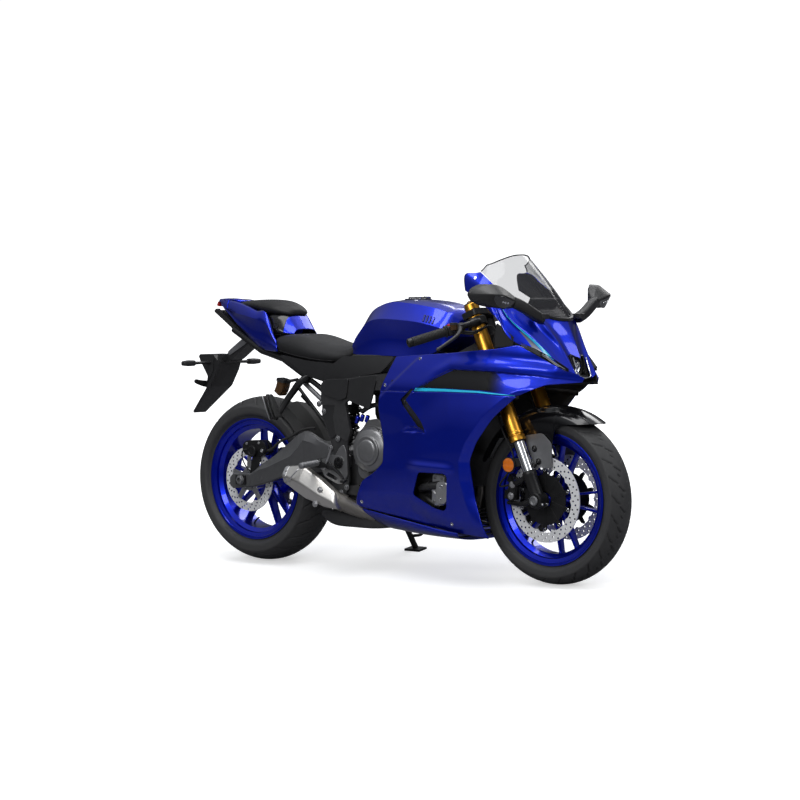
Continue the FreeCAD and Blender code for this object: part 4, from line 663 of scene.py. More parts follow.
silver_cast = finish("silver_cast", "engine_alloy", (0.4, 0.4, 0.41), (0.5, 0.5, 0.51), 50.0, metallic=0.8,
                     rough=0.34, grain=(650.0, 0.25, 0.15))
satin_grey = finish(
    "satin_grey", "grey_alloy", (0.19, 0.192, 0.2), (0.23, 0.232, 0.24), 40.0, metallic=0.55,
    rough=0.42, grain=(900.0, 0.15, 0.1))
black_metal = finish(
    "black_metal", "black_metal", (0.012, 0.012, 0.013), (0.02, 0.02, 0.021), 40.0, metallic=0.4,
    rough=0.38, grain=(800.0, 0.2, 0.15))
chain_steel = finish(
    "chain_steel", "chain_steel", (0.28, 0.26, 0.22), (0.16, 0.15, 0.13), 90.0, metallic=1.0,
    rough=0.35, grain=(600.0, 0.2, 0.2))
clear_screen = denser_edge(finish("clear_screen", "screen", (0.03, 0.03, 0.035), rough=0.03), 0.3, 0.95)
lamp_glass = finish(
    "lamp_glass", "lamp_glass", (0.93, 0.95, 0.97), rough=0.03, Transmission_Weight=1.0, IOR=1.4)
smoked_glass = finish("smoked_glass", "lamp_glass", (0.02, 0.02, 0.025), rough=0.06, Coat_Weight=1.0)
red_lens = finish("red_lens", "red_lens", (0.35, 0.004, 0.004), rough=0.12, Coat_Weight=1.0)
amber_lens = finish("amber_lens", "red_lens", (0.85, 0.2, 0.01), rough=0.15, Coat_Weight=1.0)
mirror_glass = finish("mirror_glass", "chrome", (0.8, 0.82, 0.84), metallic=1.0, rough=0.02)
cyan_stripe = finish("cyan_stripe", "blue_body", (0.02, 0.62, 0.95), (0.02, 0.58, 0.9), rough=0.3,
                     Coat_Weight=1.0, Coat_Roughness=0.04)
grey_stripe = finish(
    "grey_stripe", "blue_body", (0.2, 0.22, 0.27), (0.17, 0.19, 0.24), rough=0.25, metallic=0.3,
    Coat_Weight=1.0)
red_switch = finish("red_switch", "red_lens", (0.6, 0.012, 0.01), rough=0.35, grain=(900.0, 0.1, 0.05))
oil_amber = finish("oil_amber", "lamp_glass", (0.1, 0.05, 0.02), rough=0.2, Transmission_Weight=0.3)
print("finishes:", len(bpy.data.materials))

# %% [markdown]
# ## Camera, floor and light
#
# The camera was worked out from the two tyre circles in the photograph. It is fixed to the
# upright bike, so the bike's lean turns it too. The floor is pale and wide. Large soft lights
# stand round it as in a studio: one above, one at each side and one in front.

# %% Camera
CAMERA_AT = (6483.727, -6758.385, 981.243)
YAW = math.radians(40.67)
PITCH = math.radians(2.27)
ROLL = math.radians(-0.38)
FOCAL_PIXELS = 2430.2
FRAME_PIXELS = 800
SENSOR = 36.0

camera_data = bpy.data.cameras.new("camera")
camera_data.sensor_width = SENSOR
camera_data.lens = FOCAL_PIXELS / FRAME_PIXELS * SENSOR
camera_data.clip_end = 200.0
camera = bpy.data.objects.new("camera", camera_data)
bpy.context.scene.collection.objects.link(camera)
bpy.context.scene.camera = camera
forward = np.array([-math.sin(YAW) * math.cos(PITCH), math.cos(YAW) * math.cos(PITCH), -math.sin(PITCH)])
level = np.array([math.cos(YAW), math.sin(YAW), 0.0])
above = np.cross(level, forward)
right = math.cos(ROLL) * level + math.sin(ROLL) * above
top = -math.sin(ROLL) * level + math.cos(ROLL) * above
look = np.eye(4)
look[:3, :3] = TILT @ np.stack([right, top, -forward], 1)
look[:3, 3] = place(CAMERA_AT)
camera.matrix_world = Matrix(look.tolist())
print("camera lens", round(camera_data.lens, 1), "mm, at", place(CAMERA_AT).round(2).tolist())

# %% Floor and light


def soft_light(name, at, size, power, aim=(0.0, 0.0, 0.45), colour=(1.0, 1.0, 1.0)):
    """A rectangular lamp that points at a place on the bike."""
    lamp = bpy.data.lights.new(name, "AREA")
    lamp.shape = "RECTANGLE"
    lamp.size, lamp.size_y = size
    lamp.energy = power
    lamp.color = colour
    thing = bpy.data.objects.new(name, lamp)
    bpy.context.scene.collection.objects.link(thing)
    away = np.asarray(at, float) - np.asarray(aim, float)
    first, second, along = axes_along(away)
    turn = np.eye(4)
    turn[:3, :3] = np.stack([first, second, along], 1)
    turn[:3, 3] = at
    thing.matrix_world = Matrix(turn.tolist())
    return thing


floor_mesh = bpy.data.meshes.new("floor")
floor_mesh.from_pydata([(-60, -60, 0), (60, -60, 0), (60, 60, 0), (-60, 60, 0)], [], [(0, 1, 2, 3)])
floor = bpy.data.objects.new("floor", floor_mesh)
floor_paint = bpy.data.materials.new("floor_paint")
floor_paint.use_nodes = True
floor_nodes = floor_paint.node_tree.nodes
floor_shader = floor_nodes["Principled BSDF"]
floor_shader.inputs["Base Color"].default_value = (0.8, 0.8, 0.8, 1.0)
floor_shader.inputs["Roughness"].default_value = 0.95
floor_shader.inputs["Specular IOR Level"].default_value = 0.05
floor_shader.inputs["Emission Color"].default_value = (1.0, 1.0, 1.0, 1.0)
floor_place = floor_nodes.new("ShaderNodeTexCoord")
floor_scale = floor_nodes.new("ShaderNodeMapping")
floor_scale.inputs["Scale"].default_value = (0.26, 0.26, 0.26)
floor_fade = floor_nodes.new("ShaderNodeTexGradient")
floor_fade.gradient_type = "SPHERICAL"
floor_range = floor_nodes.new("ShaderNodeMapRange")
floor_range.inputs["To Min"].default_value = 1.0
floor_range.inputs["To Max"].default_value = 0.42
floor_dull = floor_nodes.new("ShaderNodeBsdfDiffuse")
floor_dull.inputs["Color"].default_value = (0.22, 0.22, 0.23, 1.0)
floor_seen = floor_nodes.new("ShaderNodeLightPath")
floor_mix = floor_nodes.new("ShaderNodeMixShader")
floor_link = floor_paint.node_tree.links.new
floor_link(floor_place.outputs["Object"], floor_scale.inputs["Vector"])
floor_link(floor_scale.outputs["Vector"], floor_fade.inputs["Vector"])
floor_link(floor_fade.outputs["Fac"], floor_range.inputs["Value"])
floor_link(floor_range.outputs["Result"], floor_shader.inputs["Emission Strength"])
floor_link(floor_seen.outputs["Is Camera Ray"], floor_mix.inputs[0])
floor_link(floor_dull.outputs["BSDF"], floor_mix.inputs[1])
floor_link(floor_shader.outputs["BSDF"], floor_mix.inputs[2])
floor_link(floor_mix.outputs["Shader"], floor_nodes["Material Output"].inputs["Surface"])
floor_mesh.materials.append(floor_paint)
bpy.context.scene.collection.objects.link(floor)


def studio_world():
    """White behind the bike; in reflections, dark near the floor and bright overhead."""
    world = bpy.data.worlds.new("studio")
    world.use_nodes = True
    tree = world.node_tree
    sky = tree.nodes["Background"]
    around = tree.nodes.new("ShaderNodeTexCoord")
    parts = tree.nodes.new("ShaderNodeSeparateXYZ")
    shade = tree.nodes.new("ShaderNodeValToRGB")
    shade.color_ramp.elements[0].position = 0.05
    shade.color_ramp.elements[0].color = (0.035, 0.035, 0.04, 1.0)
    shade.color_ramp.elements[1].position = 0.8
    shade.color_ramp.elements[1].color = (0.55, 0.57, 0.6, 1.0)
    white = tree.nodes.new("ShaderNodeBackground")
    seen = tree.nodes.new("ShaderNodeLightPath")
    either = tree.nodes.new("ShaderNodeMath")
    either.operation = "MAXIMUM"
    mix = tree.nodes.new("ShaderNodeMixShader")
    link = tree.links.new
    link(seen.outputs["Is Camera Ray"], either.inputs[0])
    link(seen.outputs["Is Transmission Ray"], either.inputs[1])
    link(around.outputs["Generated"], parts.inputs["Vector"])
    link(parts.outputs["Z"], shade.inputs["Fac"])
    link(shade.outputs["Color"], sky.inputs["Color"])
    link(either.outputs[0], mix.inputs[0])
    link(sky.outputs["Background"], mix.inputs[1])
    link(white.outputs["Background"], mix.inputs[2])
    link(mix.outputs["Shader"], tree.nodes["World Output"].inputs["Surface"])
    white.inputs["Color"].default_value = (1.0, 1.0, 1.0, 1.0)
    white.inputs["Strength"].default_value = 1.05
    return world


bpy.context.scene.world = studio_world()
soft_light("above", (0.2, -0.2, 3.2), (3.2, 1.5), 70)
soft_light("right", (1.2, -4.4, 3.2), (3.0, 1.0), 60)
soft_light("front", (4.6, 0.8, 2.4), (1.6, 1.2), 30)
soft_light("left", (-0.5, 3.8, 2.6), (3.0, 1.2), 50)
bpy.context.scene.view_settings.view_transform = "Standard"
print("view transform:", bpy.context.scene.view_settings.view_transform)
# %% [markdown]
# ## Tyres
#
# A sport tyre is round from edge to edge, with sickle grooves that start near the middle and
# sweep back to the shoulders. The tyre is a profile turned about the axle. The grooves are a
# height field on it: at each place (angle, distance from the middle) a smooth mask says how
# deep the groove is there, and the point moves in along its own radius.

# %% Tyres


def ramp(value, low, high):
    """0 below low, 1 above high, and a smooth step between."""
    t = np.clip((value - low) / (high - low), 0, 1)
    return t * t * (3 - 2 * t)


WALL_STEPS = 15
TREAD_STEPS = 55
TURN_STEPS = 576
GROOVE_DEEP = 5.0


def tyre(name, body, node, axle, radius, width, crown, rim_width, grooves, turn):
    """Profile over u (bead, sidewall, tread), turned over v. Depth = 5 mm times the groove's mask."""
    half = width / 2
    edge = 0.985 * half
    shoulder = radius - crown
    bead = rim_width / 2 - 0.4
    side = np.array([
        (bead - 9, 217.0), (bead - 1, 218.0), (bead, 230.0), (bead + 2.5, 238.0),
        (half - 5.0, 233 + 0.32 * (shoulder - 233)), (half - 1.5, 233 + 0.62 * (shoulder - 233)),
        (edge, shoulder)
    ])
    wall = curve(side, WALL_STEPS)
    across = np.linspace(-1, 1, TREAD_STEPS)
    bow = (edge ** 2 + crown ** 2) / (2 * crown)
    arc = across * math.asin(edge / bow)
    tread = np.stack([bow * np.sin(arc), radius - bow + bow * np.cos(arc)], 1)
    profile = np.concatenate([wall * [-1, 1], tread[1:-1], wall[::-1]])
    spread = np.concatenate([np.full(WALL_STEPS, -1.2), across[1:-1], np.full(WALL_STEPS, 1.2)])
    angle = 2 * math.pi * np.arange(TURN_STEPS) / TURN_STEPS
    theta, place_across = np.meshgrid(angle, spread, indexing="ij")
    depth = np.zeros_like(theta)
    pitch = 2 * math.pi / grooves
    away = np.abs(place_across)
    for start, end, lag, bend, wide in (
            (0.10, 0.52, 0.0, 0.34, 3.6), (0.46, 0.95, 0.42, 0.5, 3.6), (0.24, 0.44, 0.72, 0.2, 2.6)):
        half_turn = np.where(place_across > 0, 0.5, 0.0)
        sweep = bend * np.clip((away - start) / (end - start), 0, 2) ** 1.4
        phase = np.mod(turn * theta / pitch - lag - half_turn - sweep, 1.0) - 0.5
        offset = np.abs(phase) * pitch * radius
        window = ramp(away, start, start + 0.05) * (1 - ramp(away, end - 0.06, end))
        depth = np.maximum(depth, window * (1 - ramp(offset, wide * 0.55, wide * 1.15)))
    ringed = 0.35 * np.exp(
        -((np.abs(profile[:, 0]) - (half - 3.2)) / 0.9) ** 2) * (profile[:, 1] < shoulder)
    radial = profile[None, :, 1] - GROOVE_DEEP * depth
    along = profile[None, :, 0] + ringed[None] * np.sign(profile[None, :, 0])
    grid = np.stack(
        [radial * np.cos(theta), np.broadcast_to(along, radial.shape), radial * np.sin(theta)], -1)
    points, faces = sheet(grid + axle, wrap_rows=True)
    inside = np.array([
        (-bead + 9, 217.0), (-half + 14, 250.0), (-half + 16, shoulder - 4), (0, radius - 10),
        (half - 16, shoulder - 4), (half - 14, 250.0), (bead - 9, 217.0)
    ])
    lining = lathe(curve(inside, 15), axle, steps=72)
    return piece(name, join((points, faces), lining), body, tyre_rubber, [node], fold=50)


front_tyre = tyre(
    "front_tyre_detail", "front_wheel", "front_tyre", FRONT_AXLE, 300.0, 120.0, 28.0, 88.9, 26, 1)
rear_tyre = tyre(
    "rear_tyre_detail", "rear_wheel", "rear_tyre", REAR_AXLE, 315.0, 180.0, 36.0, 139.7, 24, -1)
print("tyre faces:", len(front_tyre.data.polygons), len(rear_tyre.data.polygons))

# %% [markdown]
# ## Cast wheels
#
# Each wheel is one casting: a rim with a drop centre, five pairs of thin spokes and a hub. The
# rim and the hub are turned profiles. A spoke is a loft along its own length: its section is a
# rounded rectangle that grows at both ends, where the casting flows into the rim and the hub.

# %% Cast wheels
RIM_SEAT = 215.9
RIM_FLANGE = 232.0
SPOKE_POWER = 4.0
SPOKE_STEPS = 16


def spoke(side, hub_depth, rim_depth, gap=73.0):
    """Along the spoke's height r: half width = 5.2 + flares at both ends, half depth from hub to rim."""
    height = np.concatenate([np.linspace(26, 60, 8), np.linspace(66, 170, 12), np.linspace(174, 196, 10)])
    t = (height - 26) / (196 - 26)
    centre = side * (9 + (gap / 2 - 9) * t ** 0.9)
    flare = 9.0 * ramp(height, 176, 198) ** 2 + 3.0 * (1 - ramp(height, 30, 66))
    wide = 5.2 + flare
    deep = (hub_depth + (rim_depth - hub_depth) * t) / 2 + 6.0 * ramp(height, 178, 198) ** 2
    section = superellipse(SPOKE_POWER, SPOKE_STEPS)
    grid = np.stack([centre[:, None] + wide[:, None] * section[None, :, 0],
                     deep[:, None] * section[None, :, 1],
                     np.broadcast_to(height[:, None], (len(height), len(section)))], -1)
    return capped(grid)


def cast_wheel(name, body, node, axle, rim_width, hub_profile, hub_depth, rim_depth, first_turn):
    """Turned rim and hub with five pairs of spokes."""
    half = rim_width / 2
    well = half - 24
    outer = [(half + 1.5, RIM_FLANGE - 10), (half + 5.2, RIM_FLANGE - 8), (half + 6.2, RIM_FLANGE - 3.5),
             (half + 5, RIM_FLANGE + 0.3), (half + 2, RIM_FLANGE + 0.6), (half + 0.6, RIM_FLANGE - 3),
             (half, RIM_SEAT + 1), (half - 14, RIM_SEAT - 1.5), (well, RIM_SEAT - 18)]
    under = [(well - 2, RIM_SEAT - 25), (well + 2, RIM_SEAT - 25), (half - 12, RIM_SEAT - 10),
             (half - 3, RIM_SEAT - 8), (half + 1.5, RIM_FLANGE - 10)]
    right = [(-y, r) for y, r in reversed(outer)]
    right_under = [(-y, r) for y, r in reversed(under)]
    loop = outer + right + right_under[1:] + under[:-1]
    barrel = lathe(loop + [loop[0]], axle, steps=108)
    hub = lathe(hub_profile + [hub_profile[0]], axle, steps=72)
    twins = join(spoke(1, hub_depth, rim_depth), spoke(-1, hub_depth, rim_depth))
    spokes = moved(repeated(twins, 5, np.zeros(3)), (0, 1, 0), first_turn, np.zeros(3))
    valve = tube([(0, 0, 196), (0, 3, 186), (0, 12, 176), (0, 20, 170)], [4.5, 3.6, 3.2, 3.0], 10)
    valve = shifted(moved(valve, (0, 1, 0), first_turn + 196, np.zeros(3)), axle)
    piece(name + "_valve", valve, body, soft_black)
    return piece(name, join(barrel, hub, shifted(spokes, axle)), body, rim_blue, [node], fold=40)


BORE = 12.55
front_hub = [
    (-57, BORE), (-57, 30), (-55, 34), (-40, 36), (-26, 33), (-20, 28), (20, 28), (26, 33), (40, 36),
    (55, 34), (57, 30), (57, BORE)
]
rear_hub = [
    (-95.2, BORE), (-95.2, 38), (-93, 42), (-60, 42), (-30, 36), (20, 36), (50, 44), (62, 66), (66, 68),
    (99, 68), (101, 66), (101, 26), (112, 26), (112, BORE)
]
front_wheel = cast_wheel(
    "front_rim_cast", "front_wheel", "front_rim", FRONT_AXLE, 88.9, front_hub, 46, 26, 19)
rear_wheel = cast_wheel("rear_rim_cast", "rear_wheel", "rear_rim", REAR_AXLE, 139.7, rear_hub, 52, 34, 6)
print("wheel faces:", len(front_wheel.data.polygons), len(rear_wheel.data.polygons))

# %% [markdown]
# ## Brake discs
#
# A floating disc is a thin steel ring on a dark carrier, held by a row of bright buttons. The
# ring is drilled in curved rows. Here the drill is one mesh of small rods that a Boolean takes
# away, so light comes through the holes as it does on the real disc. The holes' walls take soft
# black: painted shade for the dark inside of each drilled hole.

# %% Brake discs


DISC_THICK = 4.6
DRILL_RADIUS = 3.4


def drilled_ring(axle, middle, outer, inner, lugs, rows, per_row):
    """A ring whose inner edge comes in at each lug, and the rods that drill its curved rows."""
    steps = 240
    angle = 2 * math.pi * np.arange(steps) / steps
    lug = np.exp(-((np.mod(angle * lugs / (2 * math.pi) + 0.5, 1) - 0.5) / 0.10) ** 2)
    inner_edge = inner - 6.0 * lug
    half = DISC_THICK / 2
    radii = np.stack([
        inner_edge, inner_edge, np.full(steps, outer - 0.5), np.full(steps, float(outer)),
        np.full(steps, float(outer)), np.full(steps, outer - 0.5), inner_edge
    ], 1)
    depths = np.array([-half, half, half, half - 0.5, 0.5 - half, -half, -half])
    grid = np.stack([radii * np.cos(angle)[:, None], np.broadcast_to(depths + middle, radii.shape),
                     radii * np.sin(angle)[:, None]], -1) + axle
    ring = sheet(grid, wrap_rows=True)
    drills = []
    for row in range(per_row):
        radius = inner + 7.5 + (outer - inner - 14.5) * row / (per_row - 1)
        profile = [(-6, 0.01), (-6, DRILL_RADIUS), (6, DRILL_RADIUS), (6, 0.01)]
        rod = lathe(profile, axle + [0, middle, 0] + [radius, 0, 0], steps=10)
        drills.append(moved(repeated(rod, rows, axle), (0, 1, 0), 5.6 * row, axle))
    return ring, join(*drills)


def carrier(axle, middle, seat, inner, body_radius, button_radius, arms, arm_wide=9.0, half=2.4):
    """A dark ring with short curved arms out to the buttons, and a boss to the hub's face."""
    low, high = sorted((seat, middle))
    ring = lathe([(-half, inner), (-half, body_radius), (half, body_radius), (half, inner), (-half, inner)],
                 axle + [0, middle, 0], steps=96)
    boss = lathe(
        [(low, inner), (low, inner + 14), (high, inner + 14), (high, inner), (low, inner)], axle,
        steps=64)
    arm = plate([(-arm_wide, body_radius - 4), (arm_wide, body_radius - 4), (7.0, button_radius + 2),
                 (-7.0, button_radius + 2)], middle - half, middle + half, 4)
    ribs = plate([(-6.0, inner + 4), (6.0, inner + 4), (5.0, body_radius - 2), (-5.0, body_radius - 2)],
                 middle - half - 1, middle + half + 1, 0)
    return join(ring, boss, shifted(repeated(arm, arms, np.zeros(3)), axle),
                shifted(repeated(ribs, arms, np.zeros(3)), axle))


def buttons(axle, middle, radius, count, side):
    """Bright rivets that hold the ring to its carrier."""
    head = [(0, 0.01), (0, 6.8), (2.0, 6.8), (3.0, 5.6), (3.0, 3.2), (2.0, 3.0), (2.0, 0.01)]
    way = (0, side, 0)
    one = lathe(head, np.array([0, middle + side * 2.4, radius]), way, steps=16)
    return shifted(repeated(one, count, np.zeros(3)), axle)


for side in (-1, 1):
    label = "left" if side > 0 else "right"
    ring, drill = drilled_ring(FRONT_AXLE, side * 68.0, 149.0, 114.0, 10, 26, 3)
    # slot 1 gives the bore walls soft black: painted shade for the dark inside of each hole
    hole = cutter(drill, 1)
    piece(f"front_disc_{label}", ring, "front_wheel", disc_steel, ["front_discs"], cut_with=[hole],
          inside=soft_black)
    remove(hole)
    piece(f"front_carrier_{label}", carrier(FRONT_AXLE, side * 68.0, side * 57.3, 26.0, 88.0, 104.0, 10),
          "front_wheel", black_metal, bevel=0.6)
    piece(
        f"front_buttons_{label}", buttons(FRONT_AXLE, side * 68.0, 104.0, 10, side), "front_wheel",
        chrome)

ring, drill = drilled_ring(REAR_AXLE, -98.0, 122.5, 90.0, 5, 22, 3)
# slot 1 gives the bore walls soft black: painted shade for the dark inside of each hole
hole = cutter(drill, 1)
piece("rear_disc_ring", ring, "rear_wheel", disc_steel, ["rear_disc"], cut_with=[hole], inside=soft_black)
remove(hole)
inner_star = repeated(plate([(-13, 30), (13, 30), (9, 92), (-9, 92)], -100.3, -95.7, 6), 5, np.zeros(3))
piece("rear_disc_star", join(shifted(inner_star, REAR_AXLE), lathe(
    [(-100.3, 24.5), (-100.3, 44), (-95.5, 44), (-95.5, 24.5), (-100.3, 24.5)], REAR_AXLE, steps=64)),
    "rear_wheel", bright_steel, bevel=0.4)
rear_bolt = bolt(np.array([0, -100.3, 36.0]), (0, -1, 0), 6.0, 4.0)
piece("rear_disc_bolts", shifted(repeated(rear_bolt, 5, np.zeros(3)), REAR_AXLE), "rear_wheel", chrome)
print("disc pieces:", [name for name in made if "disc" in name])

# %% [markdown]
# ## Sprocket and chain
#
# The chain is some 120 links: pairs of waisted plates, inner and outer in turn, on rollers. Its
# path is two arcs round the sprockets and two straight runs between them. Each link is placed
# at its share of the path's length and turned along it.

# %% Sprocket and chain
CHAIN_PITCH = 15.875
CHAIN_LINE = 105.0
SPROCKET_BACK = (0.0, 315.0, CHAIN_PITCH / 2 / math.sin(math.pi / 42))
SPROCKET_FRONT = (592.0, 392.0, CHAIN_PITCH / 2 / math.sin(math.pi / 16))


def chain_path(count=4000):
    """The pins' closed path: an arc, a tangent run, an arc and a tangent run, at even steps."""
    (x0, z0, big), (x1, z1, small) = SPROCKET_BACK, SPROCKET_FRONT
    tilt = math.atan2(z1 - z0, x1 - x0)
    spread = math.acos((big - small) / math.hypot(x1 - x0, z1 - z0))
    back = np.linspace(tilt + spread, tilt + 2 * math.pi - spread, 400)
    front = np.linspace(tilt - spread, tilt + spread, 160)
    around_back = np.stack([x0 + big * np.cos(back), z0 + big * np.sin(back)], 1)
    around_front = np.stack([x1 + small * np.cos(front), z1 + small * np.sin(front)], 1)
    loop = np.concatenate([around_back, around_front, around_back[:1]])
    length = chords(loop)
    even = np.linspace(0, length[-1], count + 1)
    return np.stack(
        [np.interp(even, length, loop[:, 0]), np.interp(even, length, loop[:, 1])], 1), length[-1]


path, chain_length = chain_path()
links = 2 * round(chain_length / CHAIN_PITCH / 2)
pins = path[np.round(np.arange(links + 1) * (len(path) - 1) / links).astype(int)]
waist = np.array([(-1.0, 7.0), (4.0, 6.6), (8.0, 4.6), (11.9, 6.6), (16.9, 7.0), (21.5, 4.0), (22.9, 0.0)])
half_plate = np.concatenate([waist, (waist * [1, -1])[::-1][1:], [(-5.6, -4.0), (-7.0, 0.0), (-5.6, 4.0)]])


def link_plate(y_low, thick):
    """The waisted plate of one link, from its first pin along X."""
    return plate(half_plate, y_low, y_low + thick, 0)


inner_link = join(link_plate(CHAIN_LINE - 5.9, 1.6), link_plate(CHAIN_LINE + 4.3, 1.6))
outer_link = join(link_plate(CHAIN_LINE - 7.8, 1.6), link_plate(CHAIN_LINE + 6.2, 1.6))
roller = lathe([
    (CHAIN_LINE - 8.4, 0.01), (CHAIN_LINE - 8.4, 2.6), (CHAIN_LINE - 4.2, 2.6), (CHAIN_LINE - 4.2, 5.0),
    (CHAIN_LINE + 4.2, 5.0), (CHAIN_LINE + 4.2, 2.6), (CHAIN_LINE + 8.4, 2.6), (CHAIN_LINE + 8.4, 0.01)
], np.zeros(3), steps=8)
link_shapes = {0: [], 1: []}
for k in range(links):
    here, there = pins[k], pins[k + 1]
    angle = -math.degrees(math.atan2(there[1] - here[1], there[0] - here[0]))
    at = np.array([here[0], 0.0, here[1]])
    link_shapes[k % 2].append(
        shifted(
            moved(join(outer_link if k % 2 else inner_link, roller), (0, 1, 0), angle, np.zeros(3)), at)
    )
piece(
    "chain_links", join(*link_shapes[0], *link_shapes[1]), "chassis", chain_steel, ["drive_chain"],
    fold=30)


def toothed(teeth, tip, root, thick, y_low, centre):
    """A sprocket's outline: the radius swings between root and tip once for each tooth."""
    angle = 2 * math.pi * np.arange(teeth * 10) / (teeth * 10)
    wave = np.clip(0.5 + 0.85 * np.cos(angle * teeth), 0, 1)
    radius = root + (tip - root) * wave
    outline = np.stack([centre[0] + radius * np.cos(angle), centre[2] + radius * np.sin(angle)], 1)
    return plate(outline, y_low, y_low + thick, 0)


sprocket = toothed(42, 100.6, 96.0, 7.0, CHAIN_LINE - 3.5, REAR_AXLE)
windows = [
    lathe(
        [(90, 0.01), (90, 15.0), (120, 15.0), (120, 0.01)],
        REAR_AXLE + [82 * math.cos(a), 0, 82 * math.sin(a)], steps=24)
    for a in np.radians(np.arange(0, 360, 45) + 22)
]
windows.append(lathe([(90, 0.01), (90, 27.0), (120, 27.0), (120, 0.01)], REAR_AXLE, steps=48))
hole = cutter(join(*windows))
piece("sprocket_teeth", sprocket, "rear_wheel", chain_steel, ["rear_sprocket"], cut_with=[hole], bevel=0.4)
remove(hole)
nuts = lathe(
    [(0, 0.01), (0, 9.0), (6, 9.0), (7, 7.5), (7, 0.01)], np.array([0, CHAIN_LINE + 3.5, 58.0]), steps=6
)
piece("sprocket_nuts", shifted(repeated(nuts, 6, np.zeros(3)), REAR_AXLE), "rear_wheel", chrome)
print("chain links:", links, "of", round(chain_length / links, 3), "mm")
# %% [markdown]
# ## Side fairing
#
# The fairing is a thin moulded shell. Its width is given by a few curves, each at one height, and
# a smooth blend between them. On top of that lies the relief that makes it look pressed: a step
# under the shoulder, a fold at the rear, a turned-in front edge and a scoop at the vent. All of
# it is one height field y(x, z), so it can be sampled anywhere, also for the stripes.

# %% Width and relief of the fairing


def eased(knots, values, at):
    """A smooth curve without overshoot through values at knots; values may differ for each place."""
    knots = np.asarray(knots, float)
    values = np.asarray(values, float)
    if values.ndim == 1:
        values = np.broadcast_to(values[:, None], (len(knots), at.size))
    at = np.clip(at, knots[0], knots[-1])
    slopes = np.diff(values, axis=0) / np.diff(knots)[:, None]
    product = slopes[:-1] * slopes[1:]
    total = slopes[:-1] + slopes[1:]
    middle = np.where(product > 0, 2 * product / np.where(total == 0, 1, total), 0)
    tangents = np.concatenate([slopes[:1], middle, slopes[-1:]])
    cell = np.clip(np.searchsorted(knots, at, side="right") - 1, 0, len(knots) - 2)
    k = np.arange(at.size)
    span = knots[cell + 1] - knots[cell]
    s = (at - knots[cell]) / span
    start = (1 + 2 * s) * (1 - s) ** 2 * values[cell, k] + s * (1 - s) ** 2 * span * tangents[cell, k]
    end = s * s * (3 - 2 * s) * values[cell + 1, k] + s * s * (s - 1) * span * tangents[cell + 1, k]
    return start + end


FAIRING_WIDTHS = {
    140: [(600, 112), (900, 146), (1215, 166)],
    200: [(600, 138), (900, 164), (1215, 178)],
    260: [(600, 158), (900, 178), (1215, 188)],
    400: [(640, 170), (900, 196), (1160, 206)],
    500: [(740, 178), (950, 203), (1191, 212)],
    600: [(730, 184), (1000, 208), (1270, 214)],
    680: [(740, 186), (1000, 206), (1250, 204), (1357, 187), (1440, 144), (1552, 48)],
    740: [(760, 176), (1000, 194), (1200, 190), (1344, 162), (1440, 116), (1545, 38)],
    830: [(790, 150), (925, 160), (1100, 170), (1250, 166), (1344, 150), (1460, 96)],
}


def half_width(x, z):
    """Each curve gives a width at x for its own height; the blend over the heights is read at z."""
    flat_x = np.asarray(x, float).ravel()
    columns = [eased(*zip(*pairs), flat_x) for pairs in FAIRING_WIDTHS.values()]
    wide = eased(list(FAIRING_WIDTHS), np.stack(columns), np.asarray(z, float).ravel())
    return wide.reshape(np.shape(x))


def bump(value, middle, spread):
    """A soft hill: 1 in the middle, gone at about twice its spread."""
    return np.exp(-((value - middle) / spread) ** 2)


SHOULDER = [(843, 638), (950, 694), (1008, 725), (1074, 753), (1260, 747), (1400, 736), (1552, 714)]
SLOT_EDGE = [(528, 968), (575, 905), (621, 853), (638, 846), (694, 950)]
FRONT_EDGE = [
    (158, 1215), (301, 1170), (360, 1158), (429, 1157), (496, 1191), (578, 1260), (661, 1357),
    (707, 1443)
]
LOW_FOLD = [(590, 300), (750, 312), (870, 306), (960, 262), (1040, 235), (1215, 212)]


def relief(x, z):
    """The sum of the pressed forms, in millimetres outwards."""
    shoulder = np.interp(x, *zip(*SHOULDER))
    below = shoulder - z
    behind_slot = x - np.interp(z, *zip(*SLOT_EDGE))
    inside = ramp(behind_slot, 0, 8) * ramp(x, 846, 960)
    depth = 9 * (1 - 0.85 * ramp(x, 1300, 1500))
    step = -depth * inside * ramp(below, 0, 7) * (1 - ramp(below, 70, 210))
    crown = 4.5 * bump(z, shoulder + 18, 17) * ramp(x, 930, 1050)
    hollow = -3.0 * bump(z, shoulder + 48, 16) * ramp(x, 1000, 1150) * (1 - ramp(x, 1400, 1500))
    over = (z - 645) * (905 - 750) - (x - 750) * (772 - 645)
    over = over / math.hypot(155, 127)
    rear = -5.0 * ramp(over, 0, 18) * ramp(z, 640, 660)
    away = (np.interp(z, *zip(*FRONT_EDGE)) - x) * 0.8
    turned_in = -17 * np.clip(1 - away / 30, 0, 1) * ramp(z, 170, 330) * (1 - ramp(z, 640, 700))
    lip = 6.5 * bump(z, 404 - 0.04 * (x - 980), 13) * ramp(x, 860, 930) * (1 - ramp(x, 1040, 1110))
    fold = -13 * ramp(np.interp(x, *zip(*LOW_FOLD)) - z, 0, 75)
    share = np.clip((x - 840) / 128, 0, 1)
    top = 527 + 20 * np.sin(math.pi * share)
    scoop = -10 * share * ramp(z, 524, 527) * (
        1 - ramp(z, top - 4, top)) * (1 - ramp(x, 962, 970)) * (x > 840)
    return step + crown + hollow + rear + turned_in + lip + fold + scoop


def on_fairing(x, z, lift=0.0, side=-1):
    """Points on the fairing's skin; side is minus one on the rider's right."""
    return np.stack([x, side * (half_width(x, z) + relief(x, z) + lift), z], -1)


print("fairing half width at the middle:", half_width(np.array([1000.0]), np.array([500.0])).round(1))

# %% [markdown]
# A panel has four edges. A grid between them comes from a Coons patch: the blend of the two long
# edges plus the blend of the two short ones, less the blend of the four corners.

# %% Panels between four edges


